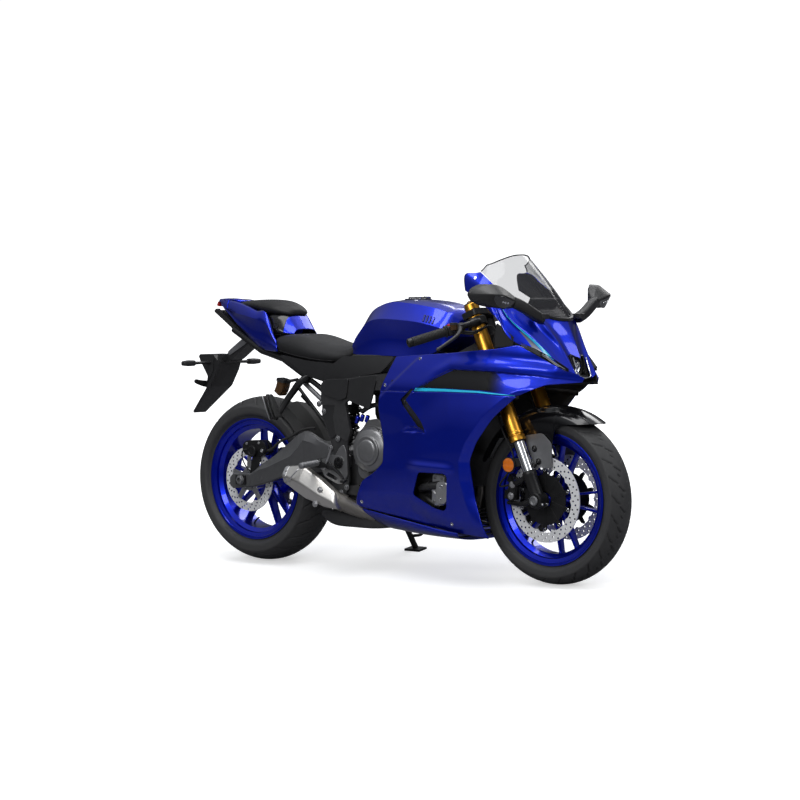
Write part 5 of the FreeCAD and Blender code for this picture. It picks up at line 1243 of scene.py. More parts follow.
def rounded_line(points, count, radius=14.0):
    """Evenly spaced places on a polyline whose corners are rounded."""
    points = np.asarray(points, float)
    if len(points) > 2:
        inner = points[1:-1]
        before = points[:-2] - inner
        after = points[2:] - inner
        reach_before = np.linalg.norm(before, axis=1, keepdims=True)
        reach_after = np.linalg.norm(after, axis=1, keepdims=True)
        reach = np.minimum(np.minimum(reach_before, reach_after) * 0.45, radius)
        t = np.linspace(0, 1, 7)[None, :, None]
        start = (inner + before / reach_before * reach)[:, None]
        end = (inner + after / reach_after * reach)[:, None]
        arc = (1 - t) ** 2 * start + 2 * t * (1 - t) * inner[:, None] + t ** 2 * end
        points = np.concatenate([points[:1], arc.reshape(-1, points.shape[1]), points[-1:]])
    length = chords(points)
    even = np.linspace(0, length[-1], count)
    return np.stack([np.interp(even, length, points[:, k]) for k in range(points.shape[1])], 1)


def coons(low, high, start, end, across, up, radius=14.0):
    """A grid between four edges; low and high run the same way, start and end run upwards."""
    low, high = (rounded_line(edge, across, radius)[:, None] for edge in (low, high))
    start, end = (rounded_line(edge, up, radius)[None] for edge in (start, end))
    u = np.linspace(0, 1, across)[:, None, None]
    v = np.linspace(0, 1, up)[None, :, None]
    corner = (
        (1 - u) * (1 - v) * low[:1] + u * (1 - v) * low[-1:] + (1 - u) * v * high[:1]
        + u * v * high[-1:])
    return (1 - v) * low + v * high + (1 - u) * start + u * end - corner


PANEL_WALL = 3.5
UPPER_LOW = [(737, 669), (900, 669), (1050, 670), (1200, 668), (1357, 660), (1443, 700), (1540, 708)]
UPPER_HIGH = [
    (796, 792), (925, 801), (1050, 806), (1180, 817), (1262, 823), (1344, 836), (1440, 788),
    (1500, 752), (1546, 722)
]
LOWER_LOW = [(590, 244), (700, 227), (1041, 176), (1215, 160)]
LOWER_HIGH = [(738, 668), (900, 668.5), (1050, 669.5), (1200, 667.5), (1355, 659)]
LOWER_REAR = [
    (590, 244), (594, 266), (636, 341), (700, 372), (749, 409), (750, 483), (731, 606), (738, 668)
]
LOWER_FRONT = [(1215, 160), (1170, 301), (1157, 429), (1191, 496), (1260, 578), (1355, 659)]
SIDE_WINDOW = [(927, 384), (1050, 384), (1062, 372), (1046, 262), (1034, 250), (985, 258), (892, 302)]
VENT_SLOT = [(915, 680), (900, 680), (846, 640), (856, 621), (928, 548), (968, 528), (948, 560), (872, 640)]

# columns along the panel and rows up it
upper_grid = coons(UPPER_LOW, UPPER_HIGH, [(737, 669), (796, 792)], [(1540, 708), (1546, 722)], 220, 44)
lower_grid = coons(LOWER_LOW, LOWER_HIGH, LOWER_REAR, LOWER_FRONT, 150, 132)
slot_shape = plate(VENT_SLOT, -280, -90, 3)
window_shape = plate(SIDE_WINDOW, -280, -90, 12)
for side, turned in (("right", join), ("left", mirrored)):
    slot_cutter = cutter(turned(slot_shape))
    window_cutter = cutter(turned(window_shape))
    for label, grid, holes in (
        ("upper", upper_grid, [slot_cutter]), ("lower", lower_grid, [slot_cutter, window_cutter])):
        skin = turned(sheet(on_fairing(grid[..., 0], grid[..., 1])))
        panel = piece(
            f"fairing_{label}_{side}", skin, "chassis", paint_blue, wall=PANEL_WALL, inside=soft_black,
            cut_with=holes, fold=32, thinned=True)
        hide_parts(f"{label}_fairing")
        print(label, side, "panel faces:", len(panel.data.polygons))
    remove(slot_cutter, window_cutter)

# %% [markdown]
# ## Stripes, the dark field and what shows through the openings
#
# The painted stripes are thin films that follow the skin a fraction of a millimetre above it.
# Behind the vent slot lies a dark strip, and behind the lower window sit the black hose
# clamps and a bright cast cover with two bolts.

# %% Films and inserts


def film(low, high, start, end, lift, across=120, up=10):
    """A thin film on both sides of the fairing, between four edges."""
    grid = coons(low, high, start, end, across, up, 3.0)
    return both(sheet(on_fairing(grid[..., 0], grid[..., 1], lift)))


def fading(material, clear_from, solid_from):
    """Alpha rises from nothing to one along the bike's length, measured in metres."""
    tree = material.node_tree
    split = node(tree, "SeparateXYZ")
    share = node(tree, "MapRange", From_Min=clear_from, From_Max=solid_from)
    wire(tree, (node(tree, "TexCoord").outputs["Object"], split.inputs["Vector"]),
         (split.outputs["X"], share.inputs["Value"]),
         (share.outputs["Result"], tree.nodes["Principled BSDF"].inputs["Alpha"]))
    return material


dark_low = [(931, 684), (1050, 683), (1200, 679), (1322, 668)]
dark_high = [(948, 690), (1008, 721), (1074, 748.5), (1150, 746), (1238, 742)]
field_black = fading(finish("field_black", "gloss_black", (0.004, 0.004, 0.005), rough=0.14), 0.655, 0.575)
piece(
    "fairing_dark_field",
    film(dark_low, dark_high, [(931, 684), (948, 690)], [(1350, 668), (1262, 742)], 0.5, 120, 20),
    "chassis", field_black)
seam_x = np.linspace(742, 1362, 160)
seam_z = np.interp(seam_x, *zip(*UPPER_LOW))
seam = np.stack([on_fairing(seam_x, seam_z + high, -PANEL_WALL - 1.5) for high in (-9, 9)])
piece("seam_backing", both(sheet(seam)), "chassis", soft_black, wall=1)
stripe_low = [(914, 671.5), (1050, 672.5), (1200, 670.5), (1350, 662.8)]
stripe_high = [(926, 683), (1050, 681.5), (1200, 677), (1352, 664)]
piece(
    "fairing_stripe",
    film(stripe_low, stripe_high, [(914, 671.5), (926, 683)], [(1350, 662.8), (1352, 664)], 0.8),
    "chassis", cyan_stripe)


def behind(x, z, depth):
    """Points a little behind the fairing's skin."""
    x = np.asarray(x, float)
    z = np.asarray(z, float)
    return np.stack([x, -(half_width(x, z) - depth), z], -1)


spine = rounded_line([(905, 690), (838, 634), (850, 616), (980, 512)], 120, 10)
across_slot = np.linspace(-1, 1, 9)
side_way = np.gradient(spine, axis=0)
side_way = np.stack([-side_way[:, 1], side_way[:, 0]], 1) / np.linalg.norm(side_way, axis=1, keepdims=True)
half_band = np.interp(np.arange(120), [0, 55, 100, 119], [14, 30, 36, 26])[:, None, None]
band = spine[:, None] + across_slot[None, :, None] * side_way[:, None] * half_band
deep = np.interp(np.arange(120), [0, 60, 119], [7, 9, 20])[:, None]
backing = behind(band[..., 0], band[..., 1], deep)
piece("vent_strip", both(sheet(backing)), "chassis", satin_black, wall=2)

cover_outline = corners(
    [
        (1003, 352), (1043, 352), (1049, 340), (1042, 282), (1030, 272), (1000, 274), (992, 288),
        (996, 342)
    ],
    10, 5)
cover_points, cover_faces = plate(cover_outline, -181, -160, 0)
piece("window_cover", both((cover_points, cover_faces)), "chassis", silver_cast, bevel=5, rounds=4)
cover_bolts = join(
    bolt((1020, -181, 336), (0, -1, 0), 6.5, 2.2), bolt((1016, -181, 291), (0, -1, 0), 4.5, 2.0))
piece("window_cover_bolts", both(cover_bolts), "chassis", chrome)
clamps = join(
    tube([(905, -150, 322), (935, -162, 330), (975, -165, 336), (1000, -160, 340)], 15, 18),
    lathe(
        [(-6, 17.5), (6, 17.5), (6, 15), (-6, 15), (-6, 17.5)], (958, -164, 334), (1, -0.1, 0.2),
        steps=28),
    tube([(900, -120, 290), (930, -150, 290), (960, -158, 276), (990, -150, 262)], 9, 14),
    plate([(880, 392), (1070, 392), (1070, 244), (880, 280)], -140, -134, 12))
piece("window_hoses", both(clamps), "chassis", satin_black, bevel=0.8)
print("films and inserts done")

# %% [markdown]
# ## Belly and lower grille
#
# Below the fairing the belly pan turns under the engine. It has two dark slots on each side, and
# its front end closes with a ribbed grille.

# %% Belly details
slot_one = [(690, 226), (752, 214), (746, 203), (700, 210)]
slot_two = [(830, 203), (985, 181), (978, 171), (905, 178), (858, 190)]
inset = []
for outline in (slot_one, slot_two):
    loop = corners(outline, 6, 4)
    x, z = loop[:, 0], loop[:, 1]
    outer = on_fairing(x, z, 0.6)
    middle = outer.mean(0)
    inner = middle + (outer - middle) * 0.82 + [0, 5.5, 0]
    floor_ring = middle + (outer - middle) * 0.02 + [0, 5.5, 0]
    inset.append(sheet(np.stack([outer, inner, floor_ring]), wrap_columns=True))
piece("belly_slots", both(join(*inset)), "chassis", satin_black, wall=0.8)
bolts = [bolt(on_fairing(np.array([x]), np.array([z]), -0.5)[0], (0, -1, -0.1), 6.5, 2.4)
         for x, z in ((622, 262), (1060, 205), (764, 690), (925, 785))]
piece("fairing_bolts", both(join(*bolts)), "chassis", chrome)
grille = [plate([(1066, 152), (1080, 152), (1074, 262), (1060, 262)], 40, 46, 2)]
for k in range(8):
    high = 158 + 13 * k
    grille.append(lathe(
        [(-150, 0.01), (-150, 3.4), (150, 3.4), (150, 0.01)], (1076 - 0.07 * (high - 158), 0, high),
        steps=12))
piece("lower_grille", both(join(*grille)), "chassis", satin_black)
print("belly done")
# %% [markdown]
# ## Nose
#
# The nose is one shell from ear to ear. Four rows of points, from the screen's base down to the
# tip, give its main form. Two ridges run down it beside a hollow middle, so the grid is pushed
# out and in along its own normals. A brow-shaped cut leaves room for the lamp.

# %% Nose shell
NOSE_ROWS = [
    [
        (1443, 0, 919), (1426, 50, 923), (1388, 92, 941), (1330, 126, 970), (1270, 144, 1012),
        (1215, 144, 1058), (1164, 132, 1090)
    ],
    [
        (1470, 0, 859), (1452, 50, 864), (1420, 88, 885), (1352, 130, 926), (1282, 152, 966),
        (1218, 156, 1024), (1136, 141, 1087)
    ],
    [
        (1495, 0, 799), (1478, 46, 806), (1450, 80, 836), (1378, 130, 880), (1292, 158, 924),
        (1232, 164, 990), (1108, 150, 1080)
    ],
    [
        (1526, 0, 716), (1519, 42, 722), (1500, 82, 752), (1408, 128, 812), (1312, 156, 858),
        (1262, 166, 930), (1112, 154, 1026)
    ],
]
SCREEN_ROWS = [
    [
        (1443, 0, 921), (1426, 50, 925), (1388, 91, 943), (1330, 125, 972), (1270, 143, 1014),
        (1215, 143, 1060), (1166, 131, 1092)
    ],
    [
        (1384, 0, 1003), (1370, 46, 1005), (1336, 84, 1014), (1286, 116, 1030), (1238, 132, 1058),
        (1200, 132, 1083), (1170, 124, 1099)
    ],
    [
        (1318, 0, 1080), (1306, 42, 1080), (1278, 78, 1078), (1244, 104, 1080), (1212, 118, 1090),
        (1188, 120, 1101), (1172, 116, 1107)
    ],
    [
        (1246, 0, 1150), (1240, 38, 1147), (1226, 68, 1138), (1208, 88, 1128), (1192, 100, 1120),
        (1182, 106, 1116), (1174, 108, 1114)
    ],
]


def half_grid(rows, along, across):
    """A smooth grid over one half: each row's own spline at its share of the length, then splines down."""
    rows = np.asarray(rows, float)
    knots = np.arange(rows.shape[1], dtype=float)
    wide = np.stack([spline(knots, row, np.linspace(0, knots[-1], across)) for row in rows])
    wide[:, 0, 1] = 0.0
    return spline(np.arange(len(rows), dtype=float), wide, np.linspace(0, len(rows) - 1, along))


def normals(grid):
    """Unit normals of a grid, from the cross product of its two directions."""
    down = np.gradient(grid, axis=0)
    over = np.gradient(grid, axis=1)
    cross = np.cross(down, over)
    return cross / np.linalg.norm(cross, axis=-1, keepdims=True)


def sample(grid, u, v):
    """Bilinear reading of a grid at shares u (down) and v (across)."""
    rows, columns = grid.shape[:2]
    a = np.clip(np.asarray(u) * (rows - 1), 0, rows - 1.001)
    b = np.clip(np.asarray(v) * (columns - 1), 0, columns - 1.001)
    i = a.astype(int)
    j = b.astype(int)
    s = (a - i)[..., None]
    t = (b - j)[..., None]
    return ((1 - s) * (1 - t) * grid[i, j] + s * (1 - t) * grid[i + 1, j] + (1 - s) * t * grid[i, j + 1]
            + s * t * grid[i + 1, j + 1])


NOSE_DOWN = 80
NOSE_OVER = 130
nose = half_grid(NOSE_ROWS, NOSE_DOWN, NOSE_OVER)
nose_out = normals(nose)
if nose_out[NOSE_DOWN // 2, NOSE_OVER // 2, 0] < 0:
    nose_out = -nose_out
u = np.linspace(0, 1, NOSE_DOWN)[:, None]
v = np.linspace(0, 1, NOSE_OVER)[None, :]
ridge_at = 0.345 - 0.115 * u
ridge = 7.0 * bump(v, ridge_at, 0.050) * ramp(u, 0.0, 0.22)
hollow = -5.0 * bump(v, ridge_at - 0.15, 0.085) * ramp(u, 0.0, 0.3)
outer_hollow = -5.0 * bump(v, ridge_at + 0.125, 0.06) * ramp(u, 0.0, 0.25)
stripe_line = 0.69 - 0.29 * ramp(u, 0.3, 1.1)
fold = 3.5 * bump(v, stripe_line - 0.02, 0.05)
ear_fold = 4.0 * bump(v, 0.93 - 0.07 * u, 0.05) - 3.0 * bump(v, 0.82 - 0.05 * u, 0.06)
lift = (ridge + hollow + outer_hollow + fold + ear_fold) * ramp(1 - v, 0.0, 0.02) * ramp(1 - u, -0.25, 0.08)
nose = nose + nose_out * lift[..., None]
brow = [(-39, 690), (-45, 798), (-30, 804), (0, 790), (30, 804), (45, 798), (39, 690)]
brow_points = np.array([(0.0, y, z) for y, z in brow])
brow_ring = np.stack([brow_points + [1430, 0, 0], brow_points + [1600, 0, 0]])
brow_shape = sheet(brow_ring, wrap_columns=True)
brow_shape = (brow_shape[0], brow_shape[1] + [list(range(7)), list(range(7, 14))[::-1]])
whole_nose = np.concatenate([nose[:, :0:-1] * [1, -1, 1], nose], axis=1)
hole = cutter(brow_shape)
middle, below, beside = whole_nose[[0, 1, 0], [NOSE_OVER, NOSE_OVER, NOSE_OVER + 1]]
inwards = 1 if np.cross(below - middle, beside - middle)[0] > 0 else -1
nose_shell = piece("nose_shell", sheet(whole_nose), "chassis", paint_blue, ["nose_cowl"],
                   wall=PANEL_WALL * inwards, cut_with=[hole], inside=soft_black, thinned=True)
remove(hole)


def nose_film(low_u, high_u, edge_one, edge_two, lift, count=60):
    """A thin film between two lines v(u) on the nose, on both sides."""
    u_line = np.linspace(low_u, high_u, count)
    t = np.linspace(0, 1, 6)[None, :]
    share = (edge_one(u_line)[:, None] * (1 - t) + edge_two(u_line)[:, None] * t)
    u_grid = np.broadcast_to(u_line[:, None], share.shape)
    grid = sample(nose, u_grid, share) + lift * sample(nose_out, u_grid, share)
    return both(sheet(grid))


def stripe_middle(at):
    """Where the stripe runs: v falls from the ear to the nose's lower edge."""
    return 0.69 - 0.29 * ramp(at, 0.3, 1.1)


piece(
    "nose_stripe",
    nose_film(
        0.42, 0.985, lambda a: stripe_middle(a) - 0.004,
        lambda a: stripe_middle(a) + 0.006 + 0.034 * np.clip((a - 0.5) / 0.5, 0, 1), 0.7),
    "chassis", cyan_stripe)
piece(
    "nose_accent",
    nose_film(
        0.74, 0.985, lambda a: stripe_middle(a) + 0.010 + 0.036 * np.clip((a - 0.5) / 0.5, 0, 1),
        lambda a: stripe_middle(a) + 0.016 + 0.09 * np.clip((a - 0.6) / 0.4, 0, 1), 0.6),
    "chassis", grey_stripe)
ear = sample(nose, np.array([0.42]), np.array([0.955]))[0]
ear_way = sample(nose_out, np.array([0.42]), np.array([0.955]))[0]
piece("ear_bolts", both(bolt(ear, ear_way, 6.0, 2.5)), "chassis", chrome)
print("nose faces:", len(nose_shell.data.polygons))

# %% [markdown]
# ## Screen
#
# The screen is a double-curved sheet of clear plastic, with a dark rim where the light catches
# the cut edge.

# %% Screen
SEAT_ENDS = 15
screen = half_grid(SCREEN_ROWS, 42, 50)
whole_screen = np.concatenate([screen[:, :0:-1] * [1, -1, 1], screen], axis=1)
piece("screen_sheet", sheet(whole_screen), "chassis", clear_screen, ["windscreen"], wall=-2.6)
rim = np.concatenate([whole_screen[:, 0], whole_screen[-1, 1:-1], whole_screen[::-1, -1]])
piece("screen_rim", tube(rim[::3], 2.2, 8, smooth=False), "chassis", gloss_black)
base_line = whole_screen[0]
base = np.stack(
    [base_line + [3, 0, -4], base_line + [2, 0, 5], base_line + [-5, 0, 6], base_line + [-5, 0, -4]])
piece("screen_seat", sheet(base[:, SEAT_ENDS:-SEAT_ENDS]), "chassis", satin_black, wall=1.2)
print("screen rows:", len(screen))

# %% [markdown]
# ## Cockpit behind the screen
#
# A dark tray runs back from the screen's base, and the display stands on it, turned towards the
# rider.

# %% Cockpit tray and display
tray_rows = np.array([
    [(1432, 0, 917), (1416, 48, 920), (1380, 84, 936), (1338, 110, 954)],
    [(1408, 0, 935), (1396, 44, 937), (1362, 76, 950), (1322, 104, 966)],
    [(1372, 0, 956), (1362, 42, 957), (1336, 72, 965), (1304, 100, 980)],
    [(1350, 0, 961), (1343, 44, 961), (1322, 76, 967), (1290, 104, 982)],
], float)
tray = half_grid(tray_rows, 24, 30)
tray = np.concatenate([tray[:, :0:-1] * [1, -1, 1], tray], axis=1)
piece("cockpit_tray", sheet(tray), "chassis", satin_black, wall=-2.5)
case = plate([(1299, 922), (1312, 916), (1350, 992), (1338, 1000)], -76, 76, 5)
piece("display_case", case, "chassis", satin_black, ["instrument"], bevel=4, rounds=3)
face = plate([(1300.5, 930), (1302, 929.2), (1333.5, 990.5), (1332, 991.3)], -68, 68, 0)
piece("display_face", face, "chassis", smoked_glass, bevel=0.5)
print("cockpit done")

# %% [markdown]
# ## Lamps
#
# One projector sits in the nose's opening: a glass ball in a dark bowl with a bright ring, and a
# silver frame round the opening's lower edge. Beside it the slim running lamps hold a row of
# bright fins above a chrome blade.

# %% Headlamp
lamp_at = np.array([1462.0, 0.0, 758.0])
housing = join(
    lathe([(0, 0.01), (0, 36), (20, 38), (20, 33), (6, 24), (6, 0.01)], lamp_at, (1, 0, 0), steps=48),
    plate([
        (1420, 724), (1470, 718), (1504, 718), (1500, 730), (1470, 732), (1456, 790), (1486, 796),
        (1478, 802), (1420, 796)
    ], -36, 36, 3),
    both(plate([(1420, 718), (1506, 716), (1482, 800), (1420, 800)], 34, 38, 3)))
piece("lamp_housing", housing, "chassis", satin_black, ["headlamp"], bevel=0.8)
dome = [(0, 24), (6, 23.6), (14, 20.5), (20, 14.8), (23.5, 8), (24.6, 2), (24.7, 0.01)]
piece("lamp_lens", lathe(dome, lamp_at + [8, 0, 0], (1, 0, 0), steps=48), "chassis", lamp_glass)
piece(
    "lamp_ring",
    lathe(
        [(6, 24.2), (11, 25.2), (12.5, 27.6), (9, 29), (5, 27.8), (6, 24.2)], lamp_at, (1, 0, 0),
        steps=56),
    "chassis", chrome)
piece("lamp_back", lathe([(6, 0.01), (6.5, 24)], lamp_at, (1, 0, 0), steps=40), "chassis", mirror_glass)
frame_path = rounded_line([
    (1497, 37.5, 792), (1512, 36.5, 752), (1522, 33, 727), (1525, 20, 723), (1527, 0, 722),
    (1525, -20, 723), (1522, -33, 727), (1512, -36.5, 752), (1497, -37.5, 792)
], 90, 8)
piece("lamp_frame", tube(frame_path - [3, 0, 0], 2.4, 10, smooth=False), "chassis", chrome)

# %% Running lamps
LAMP_STRIP = np.array(
    [(1346, 143, 839, 15), (1400, 131.5, 815, 19), (1450, 110, 786, 21), (1508, 82, 750, 11)], float)


def strip(share):
    """A place along the running lamp: x, y, z and its height."""
    return spline(np.arange(4.0), LAMP_STRIP, np.atleast_1d(share) * 3)


along = strip(np.linspace(0, 1, 60))
middle = along[:, :3]
tall = along[:, 3:4]
way = np.gradient(middle, axis=0)
way = way / np.linalg.norm(way, axis=1, keepdims=True)
outwards = np.cross(way, np.array([0.0, 0.0, 1.0]))
outwards = outwards / np.linalg.norm(outwards, axis=1, keepdims=True)
outwards = outwards * np.sign(outwards[:, 1:2])
up = np.array([0.0, 0.0, 1.0])
ring = [
    (-2, 0.52), (3.4, 0.5), (3.9, 0.42), (0.6, 0.36), (0.6, -0.36), (3.9, -0.42), (3.4, -0.5),
    (-2, -0.52), (-12, -0.4), (-12, 0.4)
]
grid = np.stack([middle + outwards * out + up * tall * high for out, high in ring], 1)
piece("running_lamp_body", both(capped(grid)), "chassis", gloss_black, ["position_lamps"])
fins = []
for share in np.linspace(0.04, 0.46, 18):
    x, y, z, high = strip(share)[0]
    k = int(share * 59)
    foot = np.array([x, y, z]) + outwards[k] * 0.4
    ring_points = [foot - up * high * 0.34, foot - up * high * 0.34 + outwards[k] * 2.6,
                   foot + up * high * 0.34 + outwards[k] * 2.6, foot + up * high * 0.34]
    fin = np.stack([np.array(ring_points) - way[k] * 1.1, np.array(ring_points) + way[k] * 1.1])
    fins.append(capped(fin))
piece("running_lamp_fins", both(join(*fins)), "chassis", chrome, fold=20)
blade = []
for share, height, size in (
    (0.5, 0.22, 1.2), (0.6, 0.18, 2.2), (0.72, 0.02, 2.8), (0.84, -0.12, 2.2), (0.95, -0.2, 1.0)):
    x, y, z, high = strip(share)[0]
    blade.append((x, y, z + high * height, size))
blade = np.array(blade)
piece(
    "running_lamp_blade", both(tube(blade[:, :3] + outwards[30] * 2.0, blade[:, 3], 10)), "chassis",
    chrome)
low_blade = blade[:, :3] - up * 5.2 + outwards[30] * 1.4
piece("running_lamp_low_blade", both(tube(low_blade, blade[:, 3] * 0.55, 8)), "chassis", chrome)
cheek = np.array([[(1258, 156, 884), (1258, 156, 852), (1258, 156, 818)],
                  [(1288, 153, 880), (1288, 153, 852), (1288, 153, 824)],
                  [(1316, 150, 874), (1316, 150, 852), (1316, 150, 828)],
                  [(1340, 145, 856), (1340, 145, 842), (1340, 144, 828)],
                  [(1360, 139, 842), (1360, 138, 834), (1360, 137, 824)]], float)
piece("cheek_liner", both(sheet(cheek - [0, 3, 0])), "chassis", satin_black, wall=1.5)
print("lamps done")

# %% [markdown]
# ## Mirrors
#
# A mirror is a loft across the bike. Its section is a five-sided wedge: two corners at the glass,
# a top and a bottom corner, and a ridge that points forward. Small rounded corners keep it crisp.
# The facet below the ridge carries a dark pocket with three small lights.

# %% Mirrors
# each row: y, then x and z of the rear top, front top, ridge, front bottom and rear bottom corners
MIRROR_HEADS = np.array([
    (226, 1374, 1002, 1394, 1000, 1406, 986, 1400, 968, 1376, 968),
    (246, 1352, 1024, 1382, 1018, 1404, 990, 1390, 962, 1352, 966),
    (280, 1330, 1042, 1366, 1040, 1405, 1000, 1386, 961, 1328, 966),
    (314, 1306, 1046, 1350, 1044, 1402, 1008, 1376, 966, 1300, 974),
    (335, 1293, 1038, 1334, 1038, 1388, 1010, 1358, 980, 1290, 984),
    (347.5, 1286, 1026, 1312, 1026, 1358, 1012, 1334, 996, 1284, 996),
    (353, 1284, 1016, 1296, 1016, 1316, 1012, 1304, 1004, 1284, 1005),
], float)
fine_heads = spline(MIRROR_HEADS[:, 0], MIRROR_HEADS,
                    np.linspace(MIRROR_HEADS[0, 0], MIRROR_HEADS[-1, 0], 56))
rows = []
for row in fine_heads:
    section = corners(row[1:].reshape(5, 2), 6, 6)
    rows.append(np.stack([section[:, 0], np.full(len(section), row[0]), section[:, 1]], 1))
mirror_shell = capped(np.stack(rows))
arm_path = curve(
    np.array(
        [(1408, 104, 926), (1407, 140, 940), (1402, 180, 960), (1394, 214, 976), (1388, 236, 984)],
        float),
    40)
side_way, up_way = section_frames(arm_path)
around_arm = np.linspace(0, 2 * math.pi, 33)[:-1]
wide = np.linspace(19, 16, 40)[:, None, None]
high = np.linspace(17, 19, 40)[:, None, None]
turn = np.stack([np.cos(around_arm), np.sin(around_arm)])
squarish = (np.sign(turn) * np.abs(turn) ** 0.6)[:, None, :, None]
arm = capped(
    arm_path[:, None] + side_way[:, None] * wide * squarish[0] + up_way[:, None] * high * squarish[1])
foot = plate([(1356, 0), (1436, 0), (1430, 34), (1374, 36)], -9, 9, 8)
foot_points = np.stack([foot[0][:, 0], 90 + foot[0][:, 2], 934 + foot[0][:, 1]], 1)
piece("mirror_shells", both(join(mirror_shell, arm)), "chassis", satin_black, ["mirrors"], fold=24)
piece("mirror_feet", both((foot_points, foot[1])), "chassis", satin_black, bevel=3, rounds=3)
place_on = np.linspace(8, 50, 24).astype(int)
rear = fine_heads[place_on]
glass_z = rear[:, 10:11] + 5 + (rear[:, 2:3] - rear[:, 10:11] - 10) * np.linspace(0, 1, 10)
glass_x = rear[:, 9:10] + (rear[:, 1:2] - rear[:, 9:10]) * np.linspace(0.1, 0.9, 10) - 1.4
glass_y = np.broadcast_to(rear[:, :1], glass_x.shape)
piece(
    "mirror_glasses", both(sheet(np.stack([glass_x, glass_y, glass_z], -1))), "chassis", mirror_glass,
    wall=0.8)
pocket_rows = fine_heads[8:47]
s = np.linspace(0, 1, len(pocket_rows))
reach = (0.06 + 0.86 * np.sin(math.pi * s) ** 0.55)[:, None] * np.linspace(0, 1, 10)[None] + 0.08
drop_x = pocket_rows[:, 5:6] + (pocket_rows[:, 7:8] - pocket_rows[:, 5:6]) * reach
drop_z = pocket_rows[:, 6:7] + (pocket_rows[:, 8:9] - pocket_rows[:, 6:7]) * reach
pocket = np.stack([drop_x + 1.0, np.broadcast_to(pocket_rows[:, :1], drop_x.shape), drop_z - 0.8], -1)
piece("mirror_pockets", both(sheet(pocket)), "chassis", smoked_glass, wall=0.6)
leds = [lathe([(0, 0.01), (1.2, 3.2), (0, 4.0)], pocket[k, 4] + [0.8, 0, -0.4], (1, 0.2, -0.5), steps=12)
        for k in (13, 19, 24)]
piece("mirror_lights", both(join(*leds)), "chassis", chrome)
print("mirrors done")
# %% [markdown]
# ## Tank
#
# The tank is a loft of cross-sections. Each one runs from the lower edge up a hollow knee flank
# to a sharp crease, over a flat shoulder facet to a second edge, and on to the crown. The loft
# is a spline through those sections, and the crease stays sharp because the two facets only
# share their corner points.

# %% Tank
# each row: x, then y and z of lower edge, crease, shoulder edge, and z of the crown
TANK_ROWS = np.array([
    (531, 94, 800, 98, 826, 58, 850, 858), (552, 102, 797, 108, 850, 64, 888, 900),
    (580, 108, 796, 116, 876, 70, 924, 938), (618, 115, 795, 125, 906, 80, 956, 968),
    (660, 121, 795, 134, 922, 88, 974, 984), (712, 127, 794, 142, 927, 95, 986, 995),
    (775, 133, 793, 148, 925, 100, 986, 997), (835, 137, 793, 151, 921, 102, 980, 994),
    (890, 140, 795, 152, 915, 101, 972, 986), (940, 142, 802, 151, 906, 98, 962, 976),
    (980, 140, 818, 148, 897, 94, 950, 965), (1006, 132, 842, 140, 890, 88, 938, 952),
    (1021, 114, 860, 120, 884, 72, 918, 930),
], float)
LENGTH = 108
at = np.linspace(TANK_ROWS[0, 0], TANK_ROWS[-1, 0], LENGTH)
low_y, low_z, wide_y, wide_z, edge_y, edge_z, crown_z = spline(TANK_ROWS[:, 0], TANK_ROWS[:, 1:], at).T


def facet(y0, z0, y1, z1, count, bow, power=1.0):
    """A line between two places, bowed by a sine across it (plus is outwards)."""
    t = np.linspace(0, 1, count)[None, :] ** power
    y = y0[:, None] + (y1 - y0)[:, None] * t
    z = z0[:, None] + (z1 - z0)[:, None] * t
    long = np.hypot(y1 - y0, z1 - z0)[:, None]
    out = np.sin(math.pi * t) * bow
    return np.stack([y + out * (z1 - z0)[:, None] / long, z - out * (y1 - y0)[:, None] / long], -1)


knee = (-9.0 * bump(at, 760, 110) - 3.0)[:, None]
flank = facet(low_y, low_z, wide_y, wide_z, 22, knee)
shoulder = facet(wide_y, wide_z, edge_y, edge_z, 16, -1.5 + 0 * knee)
t = np.linspace(0, 1, 19)[None, :]
dish = (3.5 * ramp(at, 560, 650) * (1 - ramp(at, 700, 760)) - 3.0 * bump(at, 900, 60))[:, None]
crown = np.stack([
    edge_y[:, None] * (1 - t),
    edge_z[:, None] + (crown_z - edge_z)[:, None] * (1 - (1 - t) ** 2.6) - dish * bump(t, 0.45, 0.22)
], -1)
under = facet(low_y - 26, low_z + 2, low_y, low_z, 5, 0 * knee)
half_profile = np.concatenate([under[:, :-1], flank[:, :-1], shoulder[:, :-1], crown], axis=1)
half_tank = np.concatenate(
    [np.broadcast_to(at[:, None, None], half_profile.shape[:2] + (1,)), half_profile], -1)
tank_grid = np.concatenate([half_tank, half_tank[:, -2::-1] * [1, -1, 1]], axis=1)
CAP_CENTRE = 768.0
CAP_TOP = float(np.interp(CAP_CENTRE, TANK_ROWS[:, 0], TANK_ROWS[:, -1]))
filler_hole = cutter(
    lathe(
        [(-22, 0.01), (-22, 49.5), (40, 49.5), (40, 0.01)], (CAP_CENTRE, 0, CAP_TOP), (0, 0, 1),
        steps=72))
piece(
    "tank_shell", capped(tank_grid), "chassis", paint_blue, ["fuel_tank"], cut_with=[filler_hole],
    bevel=1.6, rounds=3, fold=24)
remove(filler_hole)
print("tank rows:", LENGTH)

